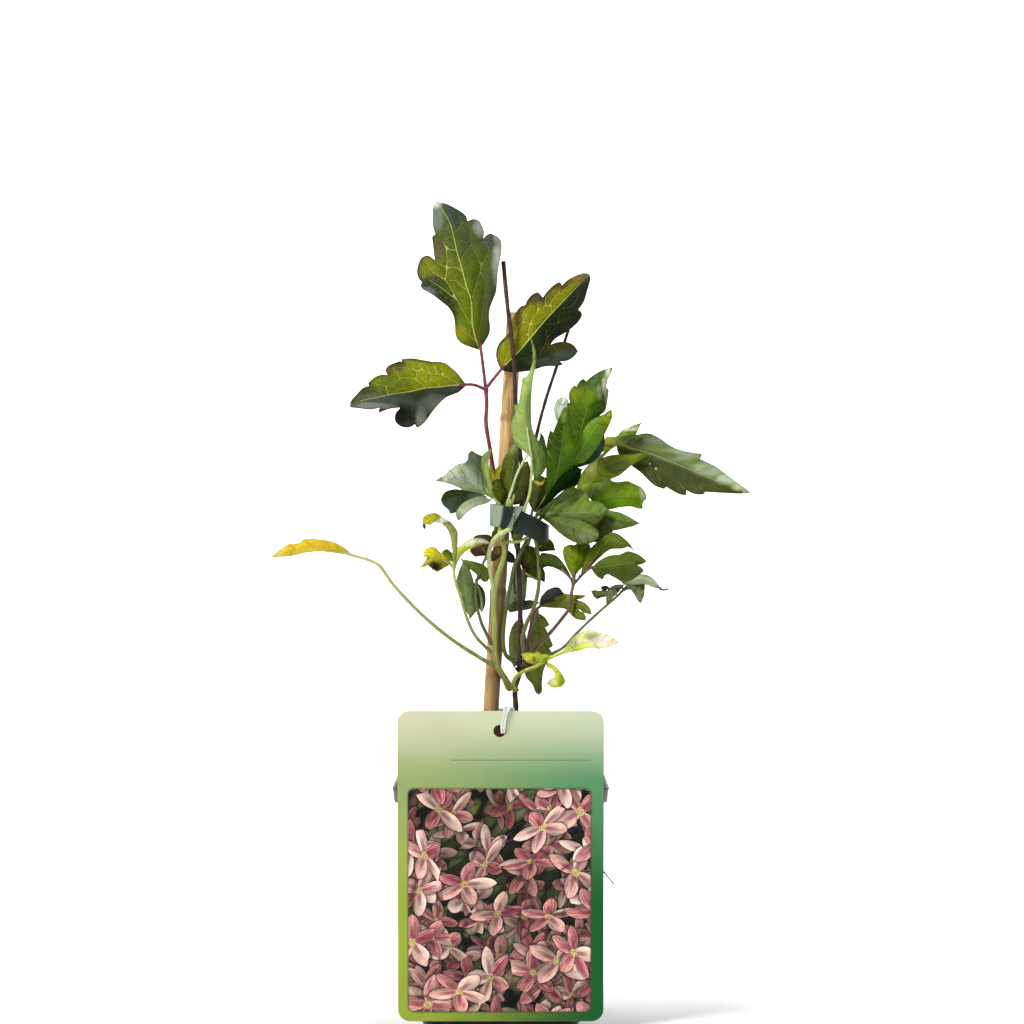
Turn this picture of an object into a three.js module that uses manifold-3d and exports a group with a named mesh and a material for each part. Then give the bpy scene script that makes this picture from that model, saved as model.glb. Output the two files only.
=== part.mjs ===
// A young clematis in its nursery pot, in millimetres. +Z is up, -Y is towards the viewer, and the origin is the
// centre of the pot's base, on the surface that the pot stands on.
import * as THREE from "three";
import { mergeVertices } from "three/addons/utils/BufferGeometryUtils.js";
import Module from "manifold-3d";

// Scale of the plant. A point of a leaf or a stem is given as it is seen: its column and row, and its depth.
const MM_PER_PIXEL = 0.4245;
const POT_COLUMN = 501;
const BASE_ROW = 1016;
const AXIS_COLUMN = 512;
const AXIS_ROW = 512;
const VIEW_DISTANCE = 1500;

// Driving dimensions.
const POT = {
  height: 100, base: 66, body: 85.6, rim: 90, rimDepth: 6.6, corner: 12, wall: 1.1, floor: 1.6,
  holeRadius: 4.5, holeOffset: 20,
};
const SOIL = { top: 89, gap: 0.35, dome: 2.5 };
const GAP = 0.3;
const CANE = { radius: 3.5, foot: 8, top: 299, lean: 0.0601, row: 512, column: 502.9 };
const LABEL = { width: 85, height: 129.5, thickness: 0.6, corner: 5, bottom: 3.2, holeRadius: 2.6, holeDrop: 8.3 };
const LABEL_FOOT_Y = -37.4;
const LABEL_HEAD_Y = -48.5;
const STRAP = { width: 3.4, thickness: 0.6 };
const TAPE = {
  centre: [8.2, -1], top: 217.6, halfWidth: 12.2, halfDepth: 8.8, height: 9.8, thickness: 0.6, power: 2.6,
  droop: [0.127, 0.0103], pinchFrom: 15, pinch: 0.045,
};
const STAPLE = { length: 5, wire: 0.6, x: 5.2, below: 4.6, turn: 0.18 };
const BLADE = 0.62;
const STALK_SIDES = 5;

const wasm = await Module();
wasm.setup();

// ---- Solids -------------------------------------------------------------------------------------------------

function toSolid(geometry) {
  const bare = geometry.index ? geometry.clone() : geometry;
  bare.deleteAttribute("normal");
  bare.deleteAttribute("uv");
  const merged = mergeVertices(bare, 1e-4);
  return new wasm.Manifold(
    new wasm.Mesh({
      numProp: 3,
      vertProperties: merged.attributes.position.array,
      triVerts: new Uint32Array(merged.index.array),
    }),
  );
}

function toGeometry(solid) {
  const mesh = solid.getMesh();
  const geometry = new THREE.BufferGeometry();
  geometry.setAttribute("position", new THREE.BufferAttribute(mesh.vertProperties, 3));
  geometry.setIndex(new THREE.BufferAttribute(mesh.triVerts, 1));
  return geometry;
}

function fuse(solids) {
  return solids.reduce((whole, next) => whole.add(next));
}

// A closed solid through rings of points that all have the same number of points, with a flat cap at each end.
function loft(rings) {
  const count = rings[0].length;
  const position = rings.flat().flatMap((p) => [p.x, p.y, p.z]);
  const index = [];
  for (let r = 0; r + 1 < rings.length; r++) {
    for (let i = 0; i < count; i++) {
      const j = (i + 1) % count;
      const low = r * count;
      const high = low + count;
      index.push(low + i, low + j, high + j, low + i, high + j, high + i);
    }
  }
  const last = (rings.length - 1) * count;
  for (let i = 1; i + 1 < count; i++) {
    index.push(0, i + 1, i, last, last + i, last + i + 1);
  }
  const geometry = new THREE.BufferGeometry();
  geometry.setAttribute("position", new THREE.Float32BufferAttribute(position, 3));
  geometry.setIndex(index);
  return geometry;
}

// A square ring with round corners, counter-clockwise seen from above.
function roundedSquare(side, corner, z, perCorner = 4) {
  const inset = side / 2 - corner;
  const ring = [];
  for (let quarter = 0; quarter < 4; quarter++) {
    const turn = (quarter * Math.PI) / 2;
    const centre = new THREE.Vector2(inset, inset).rotateAround(new THREE.Vector2(), turn);
    for (let k = 0; k <= perCorner; k++) {
      const angle = turn + (k / perCorner) * (Math.PI / 2);
      ring.push(new THREE.Vector3(centre.x + corner * Math.cos(angle), centre.y + corner * Math.sin(angle), z));
    }
  }
  return ring;
}

// ---- Plant parts --------------------------------------------------------------------------------------------

// The point seen at a column and row, at depth y behind the cane's plane.
function seen(column, row, y = 0) {
  const grow = (VIEW_DISTANCE + y) / VIEW_DISTANCE;
  const axisX = (AXIS_COLUMN - POT_COLUMN) * MM_PER_PIXEL;
  const axisZ = (BASE_ROW - AXIS_ROW) * MM_PER_PIXEL;
  return new THREE.Vector3(
    axisX + (column - AXIS_COLUMN) * MM_PER_PIXEL * grow,
    y,
    axisZ + (AXIS_ROW - row) * MM_PER_PIXEL * grow,
  );
}

// A stalk or stem through seen points, from one radius to another.
function stalk(startRadius, endRadius, points, sides = STALK_SIDES) {
  const path = new THREE.CatmullRomCurve3(points.map((p) => seen(...p)), false, "centripetal");
  const steps = Math.max(3, Math.min(28, Math.round(path.getLength() / 5)));
  const section = new THREE.Shape();
  for (let i = 0; i < sides; i++) {
    const angle = (i / sides) * 2 * Math.PI;
    const corner = [startRadius * Math.cos(angle), startRadius * Math.sin(angle)];
    if (i === 0) section.moveTo(...corner);
    else section.lineTo(...corner);
  }
  const geometry = new THREE.ExtrudeGeometry(section, { steps, extrudePath: path, curveSegments: 1 });
  const centres = path.getSpacedPoints(steps);
  const position = geometry.attributes.position;
  const point = new THREE.Vector3();
  for (let i = 0; i < position.count; i++) {
    point.fromBufferAttribute(position, i);
    let nearest = 0;
    centres.forEach((c, k) => {
      if (point.distanceTo(c) < point.distanceTo(centres[nearest])) nearest = k;
    });
    const radius = startRadius + (endRadius - startRadius) * (nearest / steps);
    point.sub(centres[nearest]).multiplyScalar(radius / startRadius).add(centres[nearest]);
    position.setXYZ(i, point.x, point.y, point.z);
  }
  return toSolid(geometry);
}

// Where a seen point lies along the rib, from 0 to 1, and how far from it in pixels.
function placeOnRib(rib, [column, row]) {
  const lengths = rib.slice(1).map((p, i) => Math.hypot(p[0] - rib[i][0], p[1] - rib[i][1]));
  const whole = lengths.reduce((a, b) => a + b);
  let best = { along: 0, off: Infinity };
  let walked = 0;
  lengths.forEach((length, i) => {
    const [ax, ay] = rib[i];
    const [bx, by] = rib[i + 1];
    const share = ((column - ax) * (bx - ax) + (row - ay) * (by - ay)) / (length * length);
    const held = Math.min(1, Math.max(0, share));
    const off = Math.hypot(column - ax - held * (bx - ax), row - ay - held * (by - ay));
    if (off < best.off) best = { along: (walked + held * length) / whole, off };
    walked += length;
  });
  return best;
}

// A blade's depth at a seen point: bowed along its rib, and slanted off it on each side.
function bladeDepth({ rib, depth, slant }, point, side) {
  const { along, off } = placeOnRib(rib, point);
  const [base, middle, tip] = depth;
  const bow = base * (1 - along) * (1 - 2 * along) + 4 * middle * along * (1 - along) + tip * along * (2 * along - 1);
  return bow + slant[side] * off * MM_PER_PIXEL;
}

// A leaf blade: its outline on both sides of the rib, split into triangles alike on both faces.
function blade(leaf) {
  const { rib, left, right } = leaf;
  const tip = rib[rib.length - 1];
  const points = [];
  const keys = new Map();
  const triangles = [];
  [left, right].forEach((edge, side) => {
    const outline = [rib[0], ...edge, tip, ...rib.slice(1, -1).reverse()];
    const numbers = outline.map((p) => {
      const key = p.join();
      if (!keys.has(key)) {
        keys.set(key, points.length);
        points.push(seen(...p, bladeDepth(leaf, p, side)));
      }
      return keys.get(key);
    });
    const flat = outline.map(([column, row]) => new THREE.Vector2(column, -row));
    THREE.ShapeUtils.triangulateShape(flat, []).forEach((corners) => {
      triangles.push(facing(points, corners.map((i) => numbers[i])));
    });
  });
  return thicken(points, triangles);
}

// The triangle with its corners in the order that faces the viewer, at -Y.
function facing(points, [a, b, c]) {
  const normal = new THREE.Vector3()
    .subVectors(points[b], points[a])
    .cross(new THREE.Vector3().subVectors(points[c], points[a]));
  return normal.y <= 0 ? [a, b, c] : [a, c, b];
}

function thicken(points, triangles) {
  const mean = new THREE.Vector3();
  triangles.forEach(([a, b, c]) => {
    const one = new THREE.Vector3().subVectors(points[b], points[a]);
    mean.add(one.cross(new THREE.Vector3().subVectors(points[c], points[a])));
  });
  const shift = mean.normalize().multiplyScalar(-BLADE);
  const count = points.length;
  const position = [];
  points.forEach((p) => position.push(p.x, p.y, p.z));
  points.forEach((p) => position.push(p.x + shift.x, p.y + shift.y, p.z + shift.z));
  const index = [];
  const edges = new Map();
  triangles.forEach(([a, b, c]) => {
    index.push(a, b, c, a + count, c + count, b + count);
    [[a, b], [b, c], [c, a]].forEach(([p, q]) => {
      if (!edges.delete(`${q},${p}`)) edges.set(`${p},${q}`, [p, q]);
    });
  });
  edges.forEach(([p, q]) => index.push(q, p, p + count, q, p + count, q + count));
  const geometry = new THREE.BufferGeometry();
  geometry.setAttribute("position", new THREE.Float32BufferAttribute(position, 3));
  geometry.setIndex(index);
  return toSolid(geometry);
}

// ---- Leaf outlines, each side of the rib from its base to its tip ---------------------------------------------

const TOP_MIDDLE = {
  rib: [[481, 350], [473, 299], [464, 270], [454.4, 236], [437, 201.5]],
  left: [[466, 346], [456, 338], [454, 323], [449, 309], [439.5, 298], [421, 286], [418, 273], [423, 256],
    [428, 255], [435, 259], [432, 245], [433, 215]],
  right: [[490, 334], [490, 311], [496.7, 289.5], [497.5, 264.6], [501, 248], [497.5, 238], [490, 233],
    [483.4, 238], [482.6, 228], [476, 218], [467.7, 220], [456, 208]],
  depth: [-5.5, -13, 12],
  slant: [-0.15, 0.25],
};
const TOP_LEFT = {
  rib: [[466, 384], [440, 387], [414.6, 389], [389.7, 394], [350, 405.5]],
  left: [[456, 370.7], [442.8, 361.6], [429.5, 360], [404.7, 358.3], [402, 361.6], [393, 363], [386.4, 370],
    [387.3, 374], [373, 378], [369.8, 385.7], [361.6, 389]],
  right: [[446, 397], [433, 409], [424.6, 422], [418, 427], [414.6, 423.8], [406, 427.4], [398, 424.6],
    [395.5, 417], [402, 405.5], [389.7, 409], [379.8, 409], [356.6, 408]],
  depth: [-8.5, -20, -34],
  slant: [0.5, 0.3],
};
const TOP_RIGHT = {
  rib: [[500, 370], [514, 353], [530.7, 337.6], [560, 305], [589, 272.6]],
  left: [[495.9, 355.8], [496.7, 344], [505.8, 336], [513, 321], [522, 306], [530.7, 296], [538, 292],
    [543, 297], [550.6, 288], [559.7, 283], [561.4, 285], [572, 276]],
  right: [[522, 372.4], [539, 368], [562, 365], [572, 358], [578, 351], [572, 343.4], [560.5, 341.7],
    [552, 342.5], [567, 331], [577, 322.6], [582, 314.4], [578.8, 309.4], [585.4, 301], [588.7, 289.5]],
  depth: [-6.4, -3, 20],
  slant: [0.05, 0.35],
};
const NARROW = {
  rib: [[534, 481], [532, 452], [526, 426], [527, 395], [531, 339.6]],
  left: [[530, 458], [516.7, 445], [511.9, 433], [512.3, 418], [514.8, 414], [513.8, 405.6], [518.6, 404],
    [521.5, 387], [522.4, 378], [526.3, 376]],
  right: [[547, 466], [543.5, 448.6], [532, 431], [530, 403], [532, 374], [535.8, 355]],
  depth: [-8, -14, -9],
  slant: [0.25, 0.25],
};
const BRIGHT_MIDDLE = {
  rib: [[540, 508], [556, 481], [575, 449], [591, 395], [612, 367.3]],
  left: [[550, 488], [560, 462], [566, 440], [569.3, 401], [569.3, 391], [575, 385.5], [583.7, 378.8],
    [600.9, 371]],
  right: [[560, 497], [579.8, 481], [580.8, 469.7], [599, 456], [605.7, 437], [611.4, 421.8], [612, 409.4],
    [605.7, 414], [607.6, 395], [608.5, 389.3]],
  depth: [-5, -14, -16],
  slant: [0.1, 0.35],
};
const BRIGHT_LEFT = {
  rib: [[544, 505], [555, 478], [560.7, 454], [565.5, 408]],
  left: [[547.3, 483], [546.4, 464], [546.4, 445], [551, 431], [561.7, 414]],
  right: [[562, 482], [575, 450], [574, 433], [568.4, 414]],
  depth: [-5.6, -16, -24],
  slant: [0.2, 0.1],
};
const FOLDED_BEHIND = {
  rib: [[531, 514], [540, 490], [547, 466]],
  left: [[528, 500], [529, 482], [538, 470]],
  right: [[541, 506], [548, 488], [549.5, 474]],
  depth: [-2, -4, -4.5],
  slant: [0.3, 0.2],
};
const DARK_TIP = {
  rib: [[536, 547], [545, 545], [555, 550.6]],
  left: [[541, 538], [549, 540], [554, 546]],
  right: [[541, 551], [548, 551]],
  depth: [-1, -2, -3],
  slant: [0.2, 0.3],
};
const DARK_LOW = {
  rib: [[524, 573], [534, 575], [544.4, 582]],
  left: [[532, 569], [541.7, 572]],
  right: [[527, 578], [537.5, 581]],
  depth: [-4, -4.5, -5],
  slant: [0.2, 0.2],
};
const DROOPING = {
  rib: [[616, 444], [648.5, 453], [687.6, 468.4], [720, 482], [751, 492.3]],
  left: [[637.7, 434.8], [648.5, 433.7], [659.4, 438], [670, 445.6], [682, 450.5], [702, 454], [699.5, 458.7],
    [714.7, 466], [731, 478]],
  right: [[618.7, 454], [632, 466], [641, 472.7], [655, 485.8], [664, 489], [666, 486.8], [679, 494],
    [685.4, 495], [686, 490], [702.8, 494.4], [705, 491.7], [720, 492.8], [741.8, 493.4]],
  depth: [3, -8, -32],
  slant: [0.4, -0.3],
};
const DROOPING_FOLD = {
  rib: [[610, 449], [626, 436.5], [641.5, 423]],
  left: [[606, 446], [610, 438], [621.4, 430], [635, 424]],
  right: [[621, 444], [635.5, 435]],
  depth: [3.4, 7, 13],
  slant: [0.1, -0.4],
};
const LIME_UPPER = {
  rib: [[592, 479], [607, 468], [624, 461], [648.5, 454.3]],
  left: [[594, 468], [602, 458.7], [619, 455.4], [633, 454]],
  right: [[603, 482], [620.4, 475], [630, 465.7], [642, 459.7]],
  depth: [3.5, 0, -8],
  slant: [0.3, 0.1],
};
const LIME_LOWER = {
  rib: [[583, 488], [605, 491], [628, 495], [646.4, 497.7]],
  left: [[584, 478], [592, 470], [607.3, 469.5], [612, 480], [628, 481.4], [638.8, 485.8], [644, 490]],
  right: [[590, 503], [609.5, 508.5], [631, 506.4], [643, 508], [643, 501]],
  depth: [3.5, 5, 4],
  slant: [0.3, -0.1],
};
const FAN = {
  rib: [[537.7, 514.6], [558, 514], [583, 514], [612, 519], [640, 523]],
  left: [[549.8, 503], [568.8, 489], [573.8, 486.8], [578.8, 489.3], [586, 494.7], [589, 500], [595.4, 500.5],
    [604.5, 504.6], [610.4, 510.8], [629.6, 515.6]],
  right: [[553, 523], [564.5, 534.7], [576, 542.4], [591, 542.4], [597, 538.5], [612.4, 531.8], [625.8, 528]],
  depth: [0.5, -5, -22],
  slant: [0.15, -0.3],
};
const GREY_UPPER = {
  rib: [[490.8, 498], [486, 489], [474, 481.7], [456, 477], [436.6, 481.7]],
  left: [[492, 481], [489.5, 465.7], [492, 448], [483.8, 453], [476.8, 454], [471.7, 450.7], [468, 459],
    [460.8, 463], [455.7, 466.4], [442, 476.6]],
  right: [[489.5, 494], [464, 491], [455.7, 485.5], [445.5, 482]],
  depth: [-4.8, -11, -24],
  slant: [0.1, -0.15],
};
const GREY_LOWER = {
  rib: [[492, 500], [470, 498], [441.5, 498.5]],
  left: [[478, 492], [464, 491], [452, 489.3], [445.5, 492]],
  right: [[483.8, 503], [475.5, 506], [467.8, 511.6], [457.6, 520], [452, 513.7], [445.5, 506.5]],
  depth: [-5, -14, -27],
  slant: [0.2, -0.35],
};
const UPRIGHT_OLIVE = {
  rib: [[507, 503], [512, 475], [514, 442.5]],
  left: [[502.5, 480], [502.3, 460.6], [508.6, 448.5]],
  right: [[516, 492], [519, 480], [518.8, 465], [517.6, 446]],
  depth: [-5.4, -8, -8.6],
  slant: [0.35, 0.3],
};
const OLIVE_BEHIND = {
  rib: [[512, 505], [518, 480], [521, 457]],
  left: [[508, 496], [509, 475], [514.5, 460]],
  right: [[522, 498], [525.5, 480], [525, 462]],
  depth: [-5, -5.6, -6],
  slant: [0.1, 0.1],
};
const OLIVE_LEFT = {
  rib: [[500, 505], [499, 488], [495, 465]],
  left: [[492.7, 498], [490, 480], [490, 468]],
  right: [[504.8, 496], [504, 484], [500.5, 470]],
  depth: [-5, -6.5, -6.5],
  slant: [0.2, 0.15],
};
const GOLDEN = {
  rib: [[352.8, 555.4], [335, 549.5], [315, 546], [295, 549.5], [270.8, 557.3]],
  left: [[346, 549], [335, 542.5], [325, 540], [303.4, 539.5], [300.4, 542.5], [287.6, 544.5]],
  right: [[339, 553.6], [323, 551.4], [307, 552.4], [289.5, 556.3]],
  depth: [-24, -28, -20],
  slant: [0.5, -0.3],
};
const CURLED_STRAP = {
  rib: [[453, 566], [455, 545], [454, 530], [442, 519], [430, 516], [423, 527.7]],
  left: [[449.5, 555], [451, 538], [448, 531], [441, 524], [432, 520.5], [427, 523]],
  right: [[457, 555], [459, 538], [458, 526], [444, 514], [431.9, 512], [422, 518]],
  depth: [-17, -24, -22],
  slant: [0.4, 0.4],
};
const SPOTTED = {
  rib: [[453.5, 566], [441, 559.5], [430, 557.5], [419, 568.2]],
  left: [[448, 556], [439.8, 551.4], [431.9, 547], [424, 548.4], [422.5, 557]],
  right: [[446, 569], [440, 571.5], [431, 571], [426, 566]],
  depth: [-17.2, -24, -32],
  slant: [0.3, -0.2],
};
const YELLOW_WING = {
  rib: [[454.5, 566], [461, 554], [472, 545], [490.5, 543.6]],
  left: [[453, 556], [454.5, 549.7], [465, 542.8], [472, 539], [482.8, 538.6]],
  right: [[458, 561], [464.5, 553.5], [472, 549], [479.8, 546.5]],
  depth: [-17, -14, -10],
  slant: [0.25, -0.2],
};
const SMALL_DARK = {
  rib: [[454, 566], [448.5, 555], [443, 549]],
  left: [[448.5, 562], [443.5, 556]],
  right: [[454, 557], [451, 551]],
  depth: [-16.6, -14, -14],
  slant: [0.2, 0.2],
};
const DRY = {
  rib: [[488.5, 556], [482, 547], [479, 534.4]],
  left: [[481, 556], [475, 556.6], [470, 552], [471, 543], [473.7, 537]],
  right: [[491, 548], [493.6, 540], [489.5, 535]],
  depth: [-5.4, -7, -6],
  slant: [0.3, -0.2],
};
const STRAP_UPPER = {
  rib: [[488, 581], [478, 567.5], [460.5, 559]],
  left: [[490, 571], [484, 565], [472, 561]],
  right: [[483, 582], [476, 574], [467, 567]],
  depth: [-6, -8, -8],
  slant: [0.2, 0.2],
};
const STRAP_HANGING = {
  rib: [[463, 562], [465, 588], [470.4, 618.6]],
  left: [[459, 571], [456.6, 582], [461.5, 595], [463.5, 606]],
  right: [[469, 568], [475.4, 589], [477.4, 608.7]],
  depth: [-8.6, -7.4, -5.4],
  slant: [0.1, 0.3],
};
const STRAP_SMALL = {
  rib: [[477, 582], [481, 598], [482, 613]],
  left: [[475.5, 590], [477.5, 605]],
  right: [[484, 590], [485.5, 603]],
  depth: [-6.2, -6.5, -6],
  slant: [0.2, 0.3],
};
const LOWER_BACK = {
  rib: [[573, 581], [560, 568], [539.5, 562]],
  left: [[562, 564.6], [557, 556.7], [551.6, 554], [542.7, 553]],
  right: [[561, 572], [553, 568.5], [547, 567.5], [541.8, 571]],
  depth: [-12, -8, -4],
  slant: [0.2, 0.2],
};
const LOWER_TOP = {
  rib: [[574.4, 579], [575, 566], [577, 555], [578, 541.5]],
  left: [[569.5, 568], [563.7, 557.5], [563, 550], [566, 546], [573, 543.5]],
  right: [[577.5, 574.5], [583, 564.6], [589, 552], [588, 543]],
  depth: [-12, -8, -3.5],
  slant: [0.2, 0.1],
};
const LOWER_WING = {
  rib: [[582, 574.5], [596, 556], [612, 541], [633.8, 551]],
  left: [[584.6, 563], [593.6, 549.5], [602.5, 539.6], [611.4, 532], [624, 538.8], [630, 544]],
  right: [[593.6, 561.5], [606, 554.8], [612, 548.6], [620, 547.7]],
  depth: [-12.2, -14, -24],
  slant: [0.3, -0.2],
};
const LOWER_FRONT = {
  rib: [[592.7, 567], [610, 566], [630, 562.5], [646.7, 561.5]],
  left: [[602.5, 558.4], [609.6, 555], [619.5, 554.4], [625.5, 550], [633.8, 553], [641.8, 557.5]],
  right: [[592.7, 573], [602.5, 579.6], [607.4, 574], [614, 577], [624, 582.5], [643.6, 571.8],
    [642.7, 568], [637, 564.6]],
  depth: [-13.4, -22, -32],
  slant: [0.2, -0.2],
};
const CURLED_PALE = {
  rib: [[624, 588], [634, 581.5], [646, 580.5], [665.9, 588.3]],
  left: [[625, 580], [633.8, 576], [643.6, 574], [651.6, 578], [658.8, 583.5]],
  right: [[634, 586], [647, 586.5]],
  depth: [13, 18, 24],
  slant: [0.2, -0.2],
};
const CURLED_HANGING = {
  rib: [[624.8, 588.5], [637, 590], [640.5, 603.5]],
  left: [[629, 594], [634.6, 598.5]],
  right: [[637, 585.5], [645, 585], [644.5, 592]],
  depth: [12.6, 10, 12],
  slant: [0.2, 0.2],
};
const CURLED_DARK = {
  rib: [[624.5, 586.5], [614, 592], [606.5, 604.8]],
  left: [[616, 585], [609.6, 589], [606, 597.7]],
  right: [[619, 594], [612, 600]],
  depth: [13, 9, 10],
  slant: [0.2, 0.2],
};
const CURLED_TIP = {
  rib: [[617, 594], [605, 593.5], [598, 595.5], [591, 591]],
  left: [[608, 588.5], [600.7, 590.5]],
  right: [[608, 596], [602.5, 598.5], [597, 599.5]],
  depth: [11.6, 12, 14],
  slant: [0.2, 0.2],
};
const CREAM = {
  rib: [[566, 651], [585, 642], [602, 640], [618.8, 643]],
  left: [[567.9, 644.6], [574, 635.7], [580.4, 632], [589.3, 629.5], [602.7, 633], [613.4, 637.5]],
  right: [[580, 649.5], [598, 648], [607, 648], [615, 645]],
  depth: [-16, -24, -34],
  slant: [0.3, -0.3],
};
const CREAM_LOBE = {
  rib: [[551, 657], [536, 658.5], [521.5, 655.5]],
  left: [[550, 653], [538.4, 651], [528, 652]],
  right: [[541, 664], [534, 665], [526, 662]],
  depth: [-12.2, -16, -20],
  slant: [0.3, -0.3],
};
const CREAM_CURL = {
  rib: [[546.5, 661], [557, 671], [560, 680], [554, 688]],
  left: [[547, 668], [553.6, 675], [553, 681], [546.4, 683]],
  right: [[557, 666], [564, 676], [566, 682], [562, 687]],
  depth: [-12, -18, -18],
  slant: [0.3, -0.2],
};
const HANGING = {
  rib: [[537, 612], [538, 640], [537, 665], [538.8, 695]],
  left: [[531, 622], [527, 640], [525, 660], [526, 675], [533, 684]],
  right: [[544.6, 617], [549, 625], [545, 627.7], [549, 635.7], [552.7, 643.8], [549, 646.4], [551.8, 652.7],
    [543.8, 669.6], [542, 680]],
  depth: [5.2, 10, 13],
  slant: [0.2, 0.35],
};
const HANGING_SIDE = {
  rib: [[521, 618], [518, 640], [514, 668]],
  left: [[516, 621], [510.7, 630], [508.5, 643], [509.8, 658]],
  right: [[525, 630], [525, 648], [520, 662]],
  depth: [6, 11, 15],
  slant: [0.3, 0.2],
};
const FINGERED = {
  rib: [[539, 607], [556, 600], [570, 601], [582, 606], [590.7, 614.5]],
  left: [[541, 599], [545.9, 591], [555, 587], [559.7, 588], [563.5, 592.7], [586.5, 595.5], [576.5, 599.6],
    [589.5, 607]],
  right: [[553.6, 608], [565, 609], [575.4, 618.7], [585, 620.6], [586, 617], [582.6, 612], [575.7, 607.5]],
  depth: [-5, -9, -17],
  slant: [0.15, 0.25],
};
const BACK_HANGING = {
  rib: [[518.4, 563.6], [517, 585], [508, 606.5]],
  left: [[513, 575], [508.5, 592]],
  right: [[526, 576], [526, 600], [518, 611], [512, 612.5]],
  depth: [5, 11, 13],
  slant: [0.2, 0.3],
};

// ---- Materials ------------------------------------------------------------------------------------------------

const finish = (color, roughness) => new THREE.MeshStandardMaterial({ color, roughness, metalness: 0 });
const FINISH = {
  pot: finish("#1d1e20", 0.45),
  soil: finish("#2b1e15", 0.95),
  cane: finish("#c79a62", 0.55),
  bark: finish("#3d2620", 0.7),
  tape: finish("#2f3c33", 0.5),
  wire: new THREE.MeshStandardMaterial({ color: "#b9bcc0", roughness: 0.3, metalness: 1 }),
  card: finish("#6fa56e", 0.35),
  strap: finish("#e8ecec", 0.3),
  dry: finish("#7d6248", 0.85),
  olive: finish("#7c8c30", 0.5),
  bright: finish("#5f8f2c", 0.45),
  grey: finish("#6e8a5a", 0.55),
  lime: finish("#a9c44a", 0.5),
  gold: finish("#d9b52a", 0.55),
  cream: finish("#dfd99a", 0.55),
  dark: finish("#3f5a14", 0.5),
};

const plant = new THREE.Group();

function part(name, solids, material) {
  const mesh = new THREE.Mesh(toGeometry(fuse(solids)), material);
  mesh.name = name;
  plant.add(mesh);
}

// ---- Pot, soil and cane ---------------------------------------------------------------------------------------

// The pot's outer side at a height under the rim.
const potSide = (z) => POT.base + ((POT.body - POT.base) * z) / (POT.height - POT.rimDepth);

function upright(radius, x, y, low, high, sides = 16) {
  const pin = new THREE.CylinderGeometry(radius, radius, high - low, sides);
  pin.rotateX(Math.PI / 2);
  pin.translate(x, y, (low + high) / 2);
  return toSolid(pin);
}

function potSolid() {
  const ledge = POT.height - POT.rimDepth;
  const inner = (z) => potSide(z) - 2 * POT.wall;
  const outside = loft([
    roundedSquare(POT.base, POT.corner, 0),
    roundedSquare(potSide(ledge), POT.corner, ledge),
    roundedSquare(POT.rim - 1.4, POT.corner, ledge + 0.4),
    roundedSquare(POT.rim, POT.corner, POT.height),
  ]);
  const inside = loft([
    roundedSquare(inner(POT.floor), POT.corner - POT.wall, POT.floor),
    roundedSquare(inner(ledge), POT.corner - POT.wall, ledge + 1),
    roundedSquare(POT.rim - 2 * POT.wall - 0.6, POT.corner - POT.wall, ledge + 2.2),
    roundedSquare(POT.rim - 2 * POT.wall, POT.corner - POT.wall, POT.height + 1),
  ]);
  let pot = toSolid(outside).subtract(toSolid(inside));
  for (const x of [-1, 0, 1]) {
    for (const y of [-1, 0, 1]) {
      if (x === 0 && y === 0) continue;
      pot = pot.subtract(upright(POT.holeRadius, x * POT.holeOffset, y * POT.holeOffset, -1, POT.floor + 1));
    }
  }
  return pot;
}

// The cane's centre at a height: it leans to the right on its way up.
function caneCentre(z) {
  const row = BASE_ROW - z / MM_PER_PIXEL;
  return (CANE.column - POT_COLUMN + (CANE.row - row) * CANE.lean) * MM_PER_PIXEL;
}

function caneSolid(radius, low, high, sides) {
  const pin = new THREE.CylinderGeometry(radius, radius, 1, sides);
  pin.rotateX(Math.PI / 2);
  const position = pin.attributes.position;
  for (let i = 0; i < position.count; i++) {
    const z = position.getZ(i) > 0 ? high : low;
    position.setXYZ(i, position.getX(i) + caneCentre(z), position.getY(i), z);
  }
  return toSolid(pin);
}

const WOODY_FOOT = [[517.5, 830, 0], [516.5, 760, 0], [516, 709, 0], [515.2, 689, 0], [521, 670, 0]];

function soilSolid() {
  const side = (z) => potSide(z) - 2 * POT.wall - 2 * SOIL.gap;
  const corner = POT.corner - POT.wall;
  const bottom = POT.floor + SOIL.gap;
  const block = toSolid(
    loft([
      roundedSquare(side(bottom), corner, bottom),
      roundedSquare(side(SOIL.top), corner, SOIL.top),
      roundedSquare(side(SOIL.top) * 0.72, corner, SOIL.top + SOIL.dome * 0.7),
      roundedSquare(side(SOIL.top) * 0.35, corner, SOIL.top + SOIL.dome),
    ]),
  );
  return block
    .subtract(caneSolid(CANE.radius + GAP, CANE.foot - GAP, POT.height + 5, 12))
    .subtract(stalk(1.3 + GAP, 1.2 + GAP, [[517.7, 842, 0], ...WOODY_FOOT.slice(0, 3)], 8));
}

part("pot", [potSolid()], FINISH.pot);
part("soil", [soilSolid()], FINISH.soil);
part("cane", [caneSolid(CANE.radius, CANE.foot, CANE.top, 12)], FINISH.cane);

// ---- Stems ----------------------------------------------------------------------------------------------------

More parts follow.
